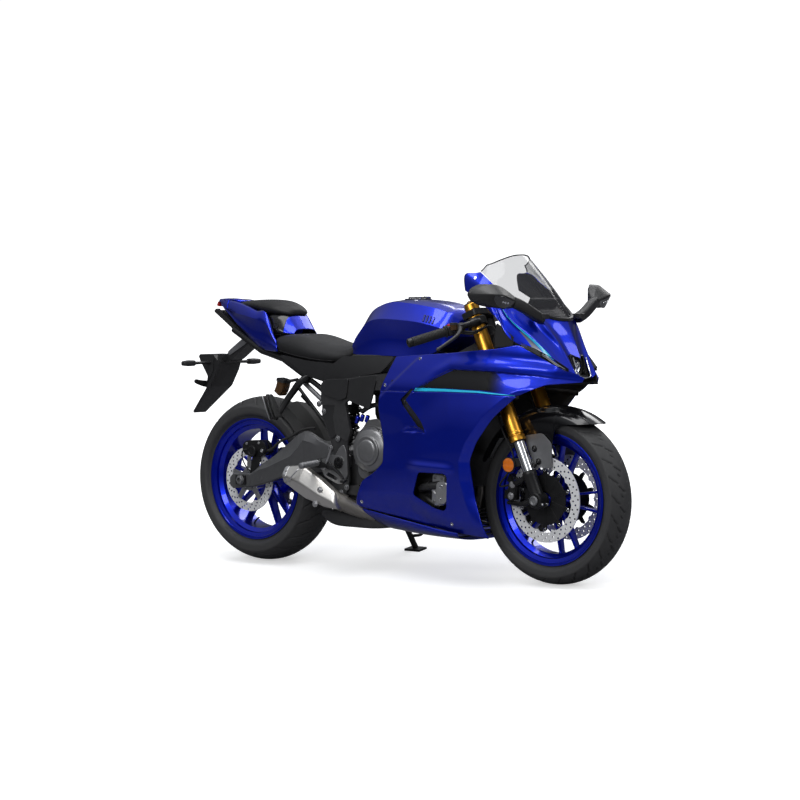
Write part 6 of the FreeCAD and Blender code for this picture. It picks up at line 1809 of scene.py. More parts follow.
# %% Tank trim
slots = []
for k in range(4):
    x = 905 + 13.5 * k
    row = int(np.argmin(np.abs(at - x)))
    y0, z0, y1, z1 = wide_y[row], wide_z[row], edge_y[row], edge_z[row]
    share = np.array([0.1, 0.5])
    y = y0 + (y1 - y0) * share
    z = z0 + (z1 - z0) * share
    loop = np.array([(x + 4, y[0], z[0]), (x + 11, y[0], z[0]), (x + 4, y[1], z[1]), (x - 4, y[1], z[1])])
    out = np.array([0, z1 - z0, y0 - y1]) / math.hypot(z1 - z0, y1 - y0)
    slots.append(sheet(
        np.stack([
            loop + out * 0.6, loop.mean(0) + (loop - loop.mean(0)) * 0.75 - out * 1.4,
            loop.mean(0) + (loop - loop.mean(0)) * 0.02 - out * 1.4
        ]),
        wrap_columns=True))
piece("tank_slots", both(join(*slots)), "chassis", soft_black, wall=0.5)
ring_profile = [
    (-9, 34), (-9, 49), (0.5, 49), (2.4, 47), (2.6, 42), (1.2, 39), (0.2, 37.2), (-2, 36.6), (-9, 34)
]
piece(
    "filler_ring_black", lathe(ring_profile, (CAP_CENTRE, 0, CAP_TOP), (0, 0, 1), steps=96), "chassis",
    satin_black)
ring_bolts = repeated(bolt((CAP_CENTRE + 43.5, 0, CAP_TOP + 1.6), (0, 0, 1), 2.6, 1.6),
                      8, np.array([CAP_CENTRE, 0, CAP_TOP]), axis=(0, 0, 1))
piece("filler_ring_bolts", ring_bolts, "chassis", chrome)
lid_profile = [
    (1.4, 0.01), (1.4, 35.4), (7.0, 35.4), (8.2, 34.2), (8.2, 29), (7.2, 27.5), (7.2, 12), (8.6, 11),
    (8.6, 9.5), (6.8, 9), (6.8, 0.01)
]
piece(
    "cap_lid", lathe(lid_profile, (CAP_CENTRE, 0, CAP_TOP), (0, 0, 1), steps=80), "fuel_cap",
    satin_grey, fold=25)
key_flap = plate([(-19, -4), (19, -4), (19, 4), (-19, 4)], 7.4, 9.6, 4)
flap_points = key_flap[0]
flap_points = np.stack([CAP_CENTRE + flap_points[:, 2], flap_points[:, 0], CAP_TOP + flap_points[:, 1]], 1)
piece("cap_key_flap", (flap_points, key_flap[1]), "fuel_cap", chrome, bevel=0.8)
print("tank trim done")

# %% [markdown]
# ## Seats
#
# A motorcycle seat is foam under a tight vinyl cover: rolled at its sides, crowned along the
# middle and drawn in a little at the seams. The pad starts as a loft, is filled slightly by a
# pressure simulation and gets its seam as a thin cord along the edge.

# %% Padded loft
SEAT_PRESSURE = 1.2
SEAT_SWELL = 0.0035
SEAT_VOXEL = 0.005
CLOTH_FRAMES = 12


def pad_grid(sections, length, around):
    """Rounded sections along X: (x, low y, low z, wide y, wide z, top y, top z, crown z)."""
    sections = np.asarray(sections, float)
    at = np.linspace(sections[0, 0], sections[-1, 0], length)
    values = spline(sections[:, 0], sections[:, 1:], at)
    rings = []
    for x, (ly, lz, wy, wz, ty, tz, cz) in zip(at, values):
        half = [
            (0, lz), (ly * 0.55, lz), (ly, lz + 0.1), (wy, wz), (ty * 1.03, tz),
            (ty * 0.55, cz - (cz - tz) * 0.15), (0, cz)
        ]
        loop = np.array(half + [(-y, z) for y, z in half[-2:0:-1]])
        ring = curve(loop, around, closed=True)
        rings.append(np.stack([np.full(around, x), ring[:, 0], ring[:, 1]], 1))
    grid = np.stack(rings)
    for end, step in ((0, 1), (-1, -1)):
        middle = grid[end].mean(axis=0)
        for k, share in enumerate((0.90, 0.965, 0.99)):
            row = grid[end + step * k]
            row[:] = middle * [0, 1, 1] * (1 - share) + row * [0, share, share] + row * [1, 0, 0]
    return grid


def padded(name, grid):
    """Voxel remesh, Cloth with pressure, and a cap on how far any point may swell."""
    thing = piece(name, capped(grid), "chassis", seat_vinyl, fold=80)
    remesh = thing.modifiers.new("even", "REMESH")
    remesh.mode = "VOXEL"
    remesh.voxel_size = SEAT_VOXEL
    remesh.use_smooth_shade = True
    apply_modifiers(thing)
    start = np.empty(len(thing.data.vertices) * 3)
    thing.data.vertices.foreach_get("co", start)
    cloth = thing.modifiers.new("cover", "CLOTH")
    cloth.settings.use_pressure = True
    cloth.settings.uniform_pressure_force = SEAT_PRESSURE
    cloth.settings.effector_weights.gravity = 0.0
    cloth.settings.tension_stiffness = 40
    cloth.settings.compression_stiffness = 40
    cloth.settings.bending_stiffness = 8
    cloth.point_cache.frame_start = 1
    cloth.point_cache.frame_end = CLOTH_FRAMES
    for frame_number in range(1, CLOTH_FRAMES + 1):
        bpy.context.scene.frame_set(frame_number)
    apply_modifiers(thing)
    bpy.context.scene.frame_set(1)
    end = np.empty_like(start)
    thing.data.vertices.foreach_get("co", end)
    move = (end - start).reshape(-1, 3)
    far = np.linalg.norm(move, axis=1, keepdims=True)
    move = move * np.minimum(1, SEAT_SWELL / np.maximum(far, 1e-9))
    thing.data.vertices.foreach_set("co", (start.reshape(-1, 3) + move).ravel())
    thing.data.update()
    largest = float(np.minimum(far, SEAT_SWELL).max())
    print(name, "points:", len(move), "largest swell mm:", round(largest * 1000, 1))
    return thing


# %% Rider's and passenger's pads
RIDER_SEAT = [
    (151, 114, 814, 118, 838, 92, 856, 860), (190, 120, 806, 126, 838, 96, 862, 867),
    (236, 126, 797, 130, 832, 98, 862, 869), (290, 129, 787, 133, 818, 100, 852, 858),
    (340, 129, 780, 133, 806, 98, 838, 845), (390, 126, 774, 130, 797, 92, 826, 833),
    (440, 118, 771, 123, 792, 82, 818, 825), (500, 98, 775, 103, 799, 62, 822, 830),
    (541, 78, 802, 82, 820, 44, 842, 848),
]
PASSENGER_SEAT = [
    (-90, 40, 974, 50, 984, 28, 993, 995), (-40, 54, 966, 66, 980, 40, 994, 998),
    (30, 72, 957, 84, 974, 54, 994, 1000), (76, 80, 950, 89, 967, 60, 991, 998),
    (116, 78, 947, 86, 961, 58, 983, 990), (148, 64, 943, 73, 953, 48, 968, 975),
    (170, 46, 939, 54, 946, 36, 955, 960),
]
rider_pad = padded("rider_pad", pad_grid(RIDER_SEAT, 110, 72))
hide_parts("rider_seat")
passenger_pad = padded("passenger_pad", pad_grid(PASSENGER_SEAT, 90, 64))
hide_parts("passenger_seat")


def seam(sections, share, size, lift=0.0, count=60):
    """A welt along both sides of a pad, between its widest line and its shoulder."""
    sections = np.asarray(sections, float)
    at = np.linspace(sections[0, 0] + 10, sections[-1, 0] - 14, count)
    values = spline(sections[:, 0], sections[:, 1:], at)
    y = values[:, 2] + (values[:, 4] - values[:, 2]) * share + 2.5 + lift
    z = values[:, 3] + (values[:, 5] - values[:, 3]) * share
    return both(tube(np.stack([at, y, z], 1), size, 8, smooth=False))


piece("rider_seam", seam(RIDER_SEAT, 0.42, 1.5, 2.2), "chassis", soft_black)
base_rows = np.array(
    [[(x, ly + 1.5, lz - 1), (x, ly * 0.98, lz + 7)] for x, ly, lz, *_ in RIDER_SEAT], float)
piece("rider_seat_base", both(sheet(base_rows)), "chassis", satin_black, wall=2)
print("seats done")

# %% [markdown]
# ## Tail
#
# The tail is a hollow shell with a sharp upper crease: a broad blue side, a bright ledge above it
# and a dark gap under the passenger's pad. The hump in front of the pad is gloss black, with a
# blue slanted side panel and a round lock recess.

# %% Tail shell
TAIL_ROWS = np.array([
    # x, low y, low z, mid y, mid z, crease y, crease z, ledge y, ledge z, top y, top z
    (-226, 14, 984, 20, 990, 24, 996, 18, 1003, 0, 1004),
    (-200, 24, 966, 34, 976, 36, 990, 28, 1003, 0, 1005),
    (-174, 33, 950, 46, 962, 50, 978, 40, 1001, 0, 1005),
    (-130, 46, 924, 62, 940, 66, 962, 54, 996, 30, 1000),
    (-90, 56, 898, 76, 916, 80, 952, 66, 990, 48, 992),
    (-40, 68, 866, 88, 890, 95, 944, 80, 980, 62, 980),
    (10, 82, 838, 98, 866, 108, 936, 94, 968, 78, 968),
    (60, 96, 818, 106, 850, 117, 928, 104, 957, 90, 955),
    (104, 108, 808, 114, 840, 122, 920, 110, 950, 98, 944),
    (122, 112, 807, 118, 836, 124, 905, 114, 924, 104, 918),
    (150, 118, 804, 124, 830, 127, 862, 122, 872, 112, 868),
    (176, 122, 803, 128, 820, 130, 834, 126, 840, 118, 838),
], float)
TAIL_LENGTH = 110
TIP_LENGTH = 22
at = np.linspace(-226, 176, TAIL_LENGTH)
lines = spline(TAIL_ROWS[:, 0], TAIL_ROWS[:, 1:], at).reshape(TAIL_LENGTH, 5, 2)
flank = facet(lines[:, 0, 0], lines[:, 0, 1], lines[:, 1, 0], lines[:, 1, 1], 8, 1.0 + 0 * at[:, None])
side_face = facet(
    lines[:, 1, 0], lines[:, 1, 1], lines[:, 2, 0], lines[:, 2, 1], 22, -4.0 + 0 * at[:, None])
ledge = facet(lines[:, 2, 0], lines[:, 2, 1], lines[:, 3, 0], lines[:, 3, 1], 12, 1.5 + 0 * at[:, None])
top = facet(lines[:, 3, 0], lines[:, 3, 1], lines[:, 4, 0], lines[:, 4, 1], 8, 0 * at[:, None])
half = np.concatenate([flank[:, :-1], side_face[:, :-1], ledge[:, :-1], top], axis=1)
tail = np.concatenate([np.broadcast_to(at[:, None, None], half.shape[:2] + (1,)), half], -1)
piece(
    "tail_sides", both(sheet(tail)), "chassis", paint_blue, ["tail_cowl"], wall=-3.2, fold=24,
    thinned=True)
tip = np.concatenate([tail[:TIP_LENGTH], tail[:TIP_LENGTH, ::-1] * [1, -1, 1]], axis=1)
piece("tail_tip", sheet(tip[:, 24:-24]), "chassis", paint_blue, wall=2, fold=24)
cap_rows = np.array([[(-230, y, 1003.4) for y in (-16, 0, 16)], [(-180, y, 1005) for y in (-38, 0, 38)],
                     [(-130, y, 1002) for y in (-48, 0, 48)], [(-88, y, 996) for y in (-50, 0, 50)]], float)
piece("tail_top", sheet(cap_rows), "chassis", paint_blue, wall=2.5)
lens = plate([(-228, 975), (-243, 979), (-237, 993), (-228, 997)], -23, 23, 2)
piece("tail_lens", lens, "chassis", red_lens, ["tail_lamp"], bevel=1.5)

# %% Hump
hump_rows = np.array([
    [(104, 84, 862), (104, 98, 884), (104, 92, 922), (104, 79, 944), (104, 40, 951), (104, 0, 952)],
    [(134, 82, 861), (134, 95, 882), (134, 86, 920), (134, 71, 943), (134, 36, 949), (134, 0, 950)],
    [(162, 76, 861), (162, 86, 878), (162, 74, 912), (162, 58, 936), (162, 30, 942), (162, 0, 943)],
    [(184, 66, 863), (184, 75, 874), (184, 62, 898), (184, 50, 911), (184, 28, 916), (184, 0, 917)],
    [(206, 54, 867), (206, 62, 871), (206, 54, 878), (206, 46, 883), (206, 26, 886), (206, 0, 887)],
], float)
hump_grid = half_grid(hump_rows, 40, 60)
hump_all = np.concatenate([hump_grid, hump_grid[:, -2::-1] * [1, -1, 1]], axis=1)
piece("hump_shell", sheet(hump_all), "chassis", gloss_black, ["hump_cover"], wall=-2.5, thinned=True)
front_panel = hump_grid[22:, 10:] + [1.2, 0.6, 0.6]
piece("hump_panels", both(sheet(front_panel)), "chassis", paint_blue, wall=-1.0)
recess = lathe(
    [(0, 12), (1.6, 11.6), (1.6, 9.6), (-0.5, 8.6), (-0.8, 0.01)], (138, 91.5, 901), (0.2, 0.94, 0.26),
    steps=32)
piece("hump_locks", both(recess), "chassis", black_metal)
print("tail done")
# %% [markdown]
# ## Front end
#
# The fork leans back at the rake. Its parts are turned about the leg: the gold upper tube with
# stepped rings at its lower end, the bright slider, and the black foot that clamps the axle.
# Everything from here to the grips rides on the steering.

# %% Fork legs
RAKE = math.radians(23.7)
FORK_WAY = np.array([-math.sin(RAKE), 0.0, math.cos(RAKE)])
FORK_AHEAD = np.array([math.cos(RAKE), 0.0, math.sin(RAKE)])
GROUND_POINT = np.array([1485.0, 0.0, 0.0])
FORK_OFFSET = float(np.dot(FRONT_AXLE - GROUND_POINT, FORK_AHEAD))
AXLE_UP = float(np.dot(FRONT_AXLE - GROUND_POINT, FORK_WAY))
LEG = 105.0


def on_leg(up, side=-1, ahead=0.0):
    """A place on a fork leg: up along it from the axle's height, ahead of its middle."""
    return GROUND_POINT + FORK_WAY * (AXLE_UP + up) + FORK_AHEAD * (
        FORK_OFFSET + ahead) + [0, side * LEG, 0]


def turned_leg(profile, side, steps=56):
    """A profile of (distance up the leg from the axle's height, radius)."""
    return lathe(profile, on_leg(0, side), FORK_WAY, steps=steps)


print("fork offset", round(FORK_OFFSET, 1), "axle height along the fork", round(AXLE_UP, 1))

gold_profile = [
    (219, 21.2), (219, 27.8), (221, 29.2), (236, 29.2), (238, 28.2), (240, 26.4), (243, 26.4),
    (245, 28.6), (252, 28.6), (254, 27.0), (735, 27.0), (737, 25.5), (737, 17), (741, 16.4),
    (741, 12.6), (747, 12.2), (747, 0.01)
]
slider_profile = [(96, 0.01), (96, 20.5), (330, 20.5), (330, 0.01)]
seal_profile = [(215, 20.6), (215, 24), (219, 25.5), (219.5, 20.6), (215, 20.6)]
foot_profile = [
    (-16, 0.01), (-16, 15), (-10, 20), (20, 24), (88, 24), (92, 25.5), (104, 25.5), (107, 23.5),
    (107, 20.6), (100, 20.6), (100, 0.01)
]
for side in (-1, 1):
    label = "left" if side > 0 else "right"
    piece(
        f"fork_tube_{label}", turned_leg(gold_profile, side), "steering", gold_tube, ["fork_outers"],
        fold=28)
    piece(f"fork_slider_{label}", turned_leg(slider_profile, side), "steering", chrome, ["fork_inners"])
    piece(f"fork_seal_{label}", turned_leg(seal_profile, side, 40), "steering", soft_black)
    axle_boss = lathe([(-26, 13), (-26, 24), (-23, 26.5), (23, 26.5), (26, 24), (26, 13), (-26, 13)],
                      on_leg(0, side), steps=48)
    pinch = []
    for drop in (-13, 13):
        pinch.append(lathe(
            [(-12, 0.01), (-12, 8.5), (12, 8.5), (12, 0.01)], on_leg(-22, side, 6) + [0, drop, 0],
            FORK_AHEAD, steps=20))
    lugs = []
    for high in (14, 92):
        lugs.append(tube([
            on_leg(high, side, -14) - [0, side * 9, 0], on_leg(high, side, -50) - [0, side * 10, 0],
            on_leg(high, side, -76) - [0, side * 10, 0]
        ], [13, 11, 9.5], 16, 12))
    web = plate([(-8, 6), (8, 6), (10, 96), (-10, 96)], -19, 19, 3)
    web_points = on_leg(
        0, side) + web[0][:, :1] * FORK_AHEAD + web[0][:, 1:2] * [0, 1, 0] + web[0][:, 2:] * FORK_WAY
    piece(
        f"fork_foot_{label}",
        join(turned_leg(foot_profile, side, 48), axle_boss, *pinch, *lugs, (web_points, web[1])),
        "steering", black_metal, ["fork_feet"], bevel=0.8)
    cap = lathe([
        (26, 0.01), (26, 9), (26, 15.5), (30, 17), (32.5, 16), (33.5, 13), (31, 11.5), (29.5, 9),
        (29.5, 0.01)
    ], on_leg(0, side), (0, side, 0), steps=36)
    piece(f"axle_cap_{label}", cap, "steering", satin_grey, fold=25)
    heads = [bolt(on_leg(-22, side, 17) + [0, drop, 0], FORK_AHEAD, 5.0, 5.0) for drop in (-13, 13)]
    piece(f"pinch_bolts_{label}", join(*heads), "steering", chrome)
piece(
    "axle_tube",
    lathe([(-134, 8), (-134, 12.4), (134, 12.4), (134, 8), (-134, 8)], FRONT_AXLE, steps=40),
    "steering", bright_steel, ["front_axle"])
print("fork legs done")

# %% [markdown]
# ## Front brakes
#
# A radial caliper is two halves bolted over the disc, with four pistons a side inside; here it shows
# two round bolt bosses a side and ribs on its face. Its section is turned about the axle, so it follows the
# disc's edge.

# %% Front calipers
CALIPER_START = -92.0
CALIPER_SWEEP = 34.0


def at_angle(degrees, radius, y):
    """A place round the front axle: the angle counts forwards from straight up."""
    a = math.radians(degrees)
    return FRONT_AXLE + [radius * math.sin(a), y, radius * math.cos(a)]


def turned_brake(profile, side, start, sweep, steps=24):
    """A section of (distance across, radius) turned about the front axle between two angles."""
    outline = corners([(side * y, r) for y, r in profile], 4, 4)
    points, faces = lathe(
        np.concatenate([outline, outline[:1]]), FRONT_AXLE, steps=steps, start=90 + start, sweep=sweep)
    size = len(outline) + 1
    return points, faces + [list(range(size - 1)), list(range(steps * size, steps * size + size - 1))]


for side in (-1, 1):
    label = "left" if side > 0 else "right"
    body = [
        turned_brake(
            [(73, 108), (90, 108), (98, 116), (98, 140), (90, 152), (73, 152)], side, CALIPER_START,
            CALIPER_SWEEP),
        turned_brake(
            [(63, 108), (52, 110), (47, 118), (47, 146), (52, 152), (63, 152)], side, CALIPER_START,
            CALIPER_SWEEP),
        turned_brake([(52, 152), (88, 152), (86, 168), (58, 168)], side, CALIPER_START + 1, 11, 10),
        turned_brake([(52, 152), (88, 152), (86, 168), (58, 168)], side, -69, 10, 10)
    ]
    washers = []
    bolts = []
    for turn, radius in ((-86, 128), (-68, 130)):
        base = at_angle(turn, radius, side * 96)
        body.append(lathe(
            [(-6, 17.5), (2, 17.5), (3.5, 16), (3.5, 12.5), (1, 12), (1, 0.01), (-6, 0.01)], base,
            (0, side, 0), steps=32))
        washers.append(lathe(
            [(0, 0.01), (0, 12.4), (3.6, 12.4), (4.4, 11.4), (4.4, 0.01)], base, (0, side, 0), steps=28))
        bolts.append(bolt(base + [0, side * 4.2, 0], (0, side, 0), 8.6, 2.2))
    arm_low = [
        at_angle(-96, 150, side * 86), at_angle(-97, 128, side * 88), on_leg(14, side, -72),
        on_leg(10, side, -24)
    ]
    body.append(tube(arm_low, [7, 8.5, 9, 10], 14, 30))
    body.append(tube(
        [at_angle(-60, 140, side * 88), on_leg(92, side, -70), on_leg(94, side, -24)], [8, 8.5, 10], 14,
        24))
    piece(f"caliper_{label}", join(*body), "steering", black_metal, ["front_calipers"], bevel=1.0, rounds=2)
    piece(f"caliper_washers_{label}", join(*washers), "steering", silver_cast)
    piece(f"caliper_bolts_{label}", join(*bolts), "steering", bright_steel)
    ribs = [
        turned_brake(
            [(97, 112 + k * 9), (100.5, 113 + k * 9), (100.5, 116 + k * 9), (97, 117 + k * 9)], side,
            -82 + k, 9, 8)
        for k in range(4)
    ]
    piece(f"caliper_ribs_{label}", join(*ribs), "steering", satin_black)
    hose = tube([
        at_angle(-74, 160, side * 78), at_angle(-78, 186, side * 84), on_leg(160, side, -52),
        on_leg(240, side, -45), on_leg(350, side, -44), on_leg(462, side, -40) - [0, side * 34, 0]
    ], 3.4, 10, 70)
    piece(f"brake_hose_{label}", hose, "steering", soft_black)
print("caliper spans", CALIPER_SWEEP, "degrees")

# %% [markdown]
# ## Mudguard, stay plates and reflectors
#
# The mudguard is a thin glossy shell. Its section, crown and sides, is swept round the front axle,
# and each step of the sweep stops where the trim line cuts it: so the lower edge is clean without
# a Boolean. Satin grey plates bolt its tongues to the fork, and a round reflector sits behind.

# %% Mudguard
fender_half = curve(
    np.array([(0, 327), (28, 324), (52, 316), (66, 305), (73.4, 292), (73.6, 250), (72, 188)], float),
    200)
fender_trim = rounded_line([
    (1000, 300), (1040, 330), (1110, 412), (1142, 428), (1185, 506), (1304, 518), (1322, 478),
    (1424, 478), (1440, 548), (1470, 562), (1620, 566), (1700, 560)
], 500, 12)


def fender_shell(columns=126, across=24):
    """Rows of section points: each row reaches from the crown down to the trim line."""
    turn = np.radians(np.linspace(-66, 35.2, columns))[:, None]
    x = FRONT_AXLE[0] + np.sin(turn) * fender_half[None, :, 1]
    z = FRONT_AXLE[2] + np.cos(turn) * fender_half[None, :, 1]
    spare = z - np.interp(x, fender_trim[:, 0], fender_trim[:, 1])
    first = np.where((spare < 0).any(axis=1), (spare < 0).argmax(axis=1), spare.shape[1] - 1).clip(6)
    rows = np.arange(columns)
    share = np.clip(spare[rows, first - 1] / (spare[rows, first - 1] - spare[rows, first] + 1e-9), 0, 1)
    reach = (first - 1 + share) / (spare.shape[1] - 1)
    t = reach[:, None] * np.linspace(0, 1, across)[None, :]
    known = np.linspace(0, 1, len(fender_half))
    y = np.interp(t, known, fender_half[:, 0])
    r = np.interp(t, known, fender_half[:, 1]) + 2.0 * bump(y, 47, 5)
    side = np.stack([FRONT_AXLE[0] + np.sin(turn) * r, y, FRONT_AXLE[2] + np.cos(turn) * r], -1)
    return np.concatenate([(side * [1, -1, 1])[:, :0:-1], side], axis=1)


piece(
    "mudguard", sheet(fender_shell()), "steering", gloss_black, ["front_fender"], wall=3.0, bevel=0.9,
    fold=40)
stay_outline = [(1312, 520), (1392, 532), (1432, 496), (1432, 408), (1362, 412), (1330, 470)]
buttons_at = [(1358, 476), (1376, 432)]
dome = [(0, 9.5), (2.2, 9.5), (4.6, 7.4), (5.8, 4.4), (6, 3), (4.5, 2.8), (4.5, 0.01)]
piece(
    "stay_plates", both(plate(stay_outline, 75.6, 80, 14, 8)), "steering", satin_grey, ["fender_stays"],
    bevel=1.1)
stay_rims = [
    lathe([(-6, 0.01), (-6, 12), (0.8, 12), (1.2, 11), (1.2, 0.01)], np.array([x, 80, z]), steps=24)
    for x, z in buttons_at
]
piece("stay_rims", both(join(*stay_rims)), "steering", satin_black)
stay_buttons = [lathe(dome, np.array([x, 81, z]), steps=24) for x, z in buttons_at]
piece("stay_buttons", both(join(*stay_buttons)), "steering", gloss_black)
piece(
    "stay_links", both(tube([(1362, 82, 424), (1358, 94, 410), on_leg(112, 1, 8)], 8, 14, 10)),
    "steering", black_metal)
reflector_at = np.array([1277.0, 116.0, 419.0])
lens_r, lens_turn = np.meshgrid(
    np.linspace(0, 24.5, 12), np.linspace(0, 2 * math.pi, 49)[:-1], indexing="ij")
lens_high = 8.6 + 1.6 * np.abs(np.sin(2 * lens_turn)) * lens_r / 24.5 - (lens_r / 24.5) ** 4 * 2
lens = np.stack([reflector_at[0] + lens_r * np.cos(lens_turn), reflector_at[1] + lens_high,
                 reflector_at[2] + lens_r * np.sin(lens_turn)], -1)
piece("front_reflector_lenses", both(sheet(lens, wrap_columns=True)), "steering", amber_lens, smooth=0)
reflector_cup = lathe(
    [(0, 0.01), (0, 24), (2, 27.4), (7, 28), (9.4, 27), (9.4, 24.4), (6, 24), (6, 0.01)], reflector_at)
strap = plate([(1264, 408), (1262, 428), (1300, 442), (1340, 448), (1348, 422), (1300, 412)], 111, 115.5, 6)
piece("reflector_cups", both(join(reflector_cup, strap)), "steering", satin_black, bevel=0.6)
print("mudguard shell reaches x", round(float(fender_shell()[..., 0].max())), "mm")

# %% [markdown]
# ## Bars and controls
#
# Clip-on bars clamp to the legs under the upper yoke. Each grip is turned about the bar with a
# flange and rounded ribs; the switch case is a rounded box carried along the bar; the levers are
# flattened tubes that end in a ball. A round reservoir stands on the right.

# %% Bars and grips
BAR_ROOT = np.array([1152.0, 134.0, 917.0])
GRIP_START = np.array([1092.0, 236.0, 883.0])
GRIP_END = np.array([1030.0, 343.0, 848.0])
BAR_WAY = (GRIP_END - GRIP_START) / np.linalg.norm(GRIP_END - GRIP_START)
GRIP_LONG = float(np.linalg.norm(GRIP_END - GRIP_START))
clamp_ring = turned_leg(
    [(654, 27.1), (654, 34.5), (656, 36), (682, 36), (684, 34.5), (684, 27.1), (654, 27.1)], 1)
clamp_ear = tube(
    [on_leg(669, 1, -24), BAR_ROOT + BAR_WAY * 4, BAR_ROOT + BAR_WAY * 26], [13, 15, 13.5], 20, 20)
bar_tube = tube([BAR_ROOT - BAR_WAY * 4, GRIP_END], 11, 24, 8)
piece(
    "clip_on_bars", both(join(clamp_ring, clamp_ear, bar_tube)), "steering", black_metal,
    ["handlebars"], bevel=0.8)
along = np.linspace(4, GRIP_LONG - 3, 160)
ribs = 16.2 + 0.8 * np.tanh(3 * np.sin(along * 2 * math.pi / 5.2))
grip_profile = [(0, 11.1), (0, 20.5), (1, 21.5), (2.6, 21.5), (3.6, 20.5), (3.8, 17)]
grip_profile += list(zip(along.tolist(), ribs.tolist())) + [
    (GRIP_LONG - 2, 17.4), (GRIP_LONG, 16.8), (GRIP_LONG, 11.1), (0, 11.1)
]
piece("bar_grips", both(lathe(grip_profile, GRIP_START, BAR_WAY, 26)), "steering", soft_black, ["grips"])
weight = [(0.4, 0.01), (0.4, 14), (2, 16), (14, 16), (17, 14.4), (18, 12), (18, 4), (15, 3.8), (15, 0.01)]
piece("bar_ends", both(lathe(weight, GRIP_END, BAR_WAY, 40)), "steering", black_metal, bevel=0.5)
print("a grip is", round(GRIP_LONG), "mm long")


# %% Switches, levers and reservoir
def along_bar(back, out=0.0, up=0.0):
    """A place by the bar: back from the grip towards the fork, ahead of the bar and above it."""
    ahead = np.cross(BAR_WAY, [0, 0, 1.0])
    ahead = ahead / np.linalg.norm(ahead)
    return GRIP_START - BAR_WAY * back + ahead * out + np.cross(ahead, BAR_WAY) * up


def case(back, long, wide, high, out=0.0, up=0.0):
    """A rounded box along the bar: rings of a superellipse that shrink at both ends."""
    ring = superellipse(5.0, 32)
    ahead = along_bar(0, 1) - along_bar(0)
    lift = along_bar(0, 0, 1) - along_bar(0)
    rings = []
    for step, size in (
        (0, 0.84), (1.2, 0.94), (3.5, 1.0), (long - 3.5, 1.0), (long - 1.2, 0.94), (long, 0.84)):
        rings.append(
            along_bar(back + step, out, up) + ring[:, :1] * ahead * wide * size
            + ring[:, 1:] * lift * high * size)
    return capped(np.stack(rings))


switch_case = join(case(3, 20, 20, 19), case(24, 20, 19, 18), case(5, 12, 5, 6, -16, 12))
perch = join(
    case(46, 22, 15, 14), case(44, 26, 8, 7, 20, 4),
    tube([along_bar(50, 12, 2), along_bar(48, 34, 2)], 8, 16, 6))
piece("switch_cases", both(switch_case), "steering", satin_black, ["controls"], bevel=0.6)
piece("lever_perches", both(perch), "steering", black_metal, bevel=0.8)
piece("kill_switch", mirrored(case(8, 10, 4, 7, 12, 17)), "steering", red_switch, bevel=0.5)
keys = [case(8, 9, 4, 4, -12, 17), case(28, 8, 4, 4, -8, 17), case(28, 8, 4, 4, 6, 17)]
piece("switch_keys", join(mirrored(keys[0]), *keys), "steering", soft_black, bevel=0.5)
lever_path = [along_bar(47, 26, 2), (1156, 240, 882), (1166, 268, 868), (1158, 300, 848), (1140, 333, 825)]
lever = tube(lever_path, [8.5, 7.5, 6.6, 6.0, 5.6], 18, 60)
ball = lathe(
    [(-7, 0.01), (-6, 4), (-3, 6.6), (0, 7.3), (3, 6.6), (6, 4), (7, 0.01)],
    np.array([1139.0, 335.0, 823.0]), (-0.4, 0.8, -0.5), 20)
piece("hand_levers", both(join(lever, ball)), "steering", satin_black)
pot_at = np.array([1136.0, -246.0, 888.0])
piece(
    "brake_pot", lathe([(1, 0.01), (1, 12), (3, 13.4), (19, 13.4), (19, 0.01)], pot_at, (0, 0, 1), 36),
    "steering", oil_amber)
pot_cap = lathe([(18, 0.01), (18, 14), (25, 14), (26, 13), (26, 0.01)], pot_at, (0, 0, 1), 36)
pot_foot = tube([pot_at + [0, 0, 2], pot_at + [-8, 14, -2], along_bar(50, 16, 2) * [1, -1, 1]], 5, 12, 16)
piece("brake_pot_cap", join(pot_cap, pot_foot), "steering", soft_black)
cables = []
for side, back, lift in ((-1, 44, -6), (-1, 40, -12), (1, 44, -6), (1, 40, -12)):
    start = along_bar(back, 8, lift) * [1, side, 1]
    cables.append(tube([
        start, start + [34, -side * 34, -8], on_leg(640, side, 34) - [0, side * 26, 0],
        on_leg(560, side, 40) - [0, side * 48, 0], on_leg(505, side, 24) - [0, side * 66, 0]
    ], 3.6, 10, 60))
piece("bar_cables", join(*cables), "steering", soft_black)
caps = [turned_leg([(735, 0.01), (735, 24), (738, 24.6), (742, 24), (743, 20), (743, 0.01)], 1, 40),
        turned_leg([(743, 0.01), (743, 11.5), (750, 11.5), (751, 10), (751, 0.01)], 1, 6)]
piece("fork_caps", both(join(*caps)), "steering", black_metal)
print("controls done:", len(made), "pieces so far")

# %% [markdown]
# ## Swingarm and rear axle
#
# Each arm is a pressed box whose outer face folds along one line that climbs to the pivot. It is
# made as sections along the bike: top and bottom edges and the fold are three curves of x, and
# every section joins them with straight faces and small chamfers.

# %% Swingarm
REAR_AXLE_Y = 142.3
arm_x = np.linspace(-62, 542, 150)
arm_top = np.interp(arm_x, [-62, -50, 44, 60, 92, 158, 239, 290, 322, 345, 400, 500, 542],
                    [326, 337, 341, 350, 375, 409, 462, 497, 509, 506, 480, 446, 424])
arm_low = np.interp(
    arm_x, [-62, -50, 47, 95, 140, 198, 330, 480, 542], [288, 280, 289, 300, 311, 329, 352, 368, 384])
arm_fold = np.interp(
    arm_x, [-62, 60, 100, 136, 260, 300, 325, 360, 542], [312, 340, 358, 366, 414, 448, 476, 470, 404])
arm_fold = np.clip(arm_fold, arm_low + 12, arm_top - 12)
swell = 6.5 * ramp(arm_x, 52, 96) * (1 - ramp(arm_x, 330, 420))


def arm_section(y, z):
    """One edge line of the arm: its distance across and its height at each step along the arm."""
    return np.stack([arm_x, np.broadcast_to(y, arm_x.shape), z], -1)


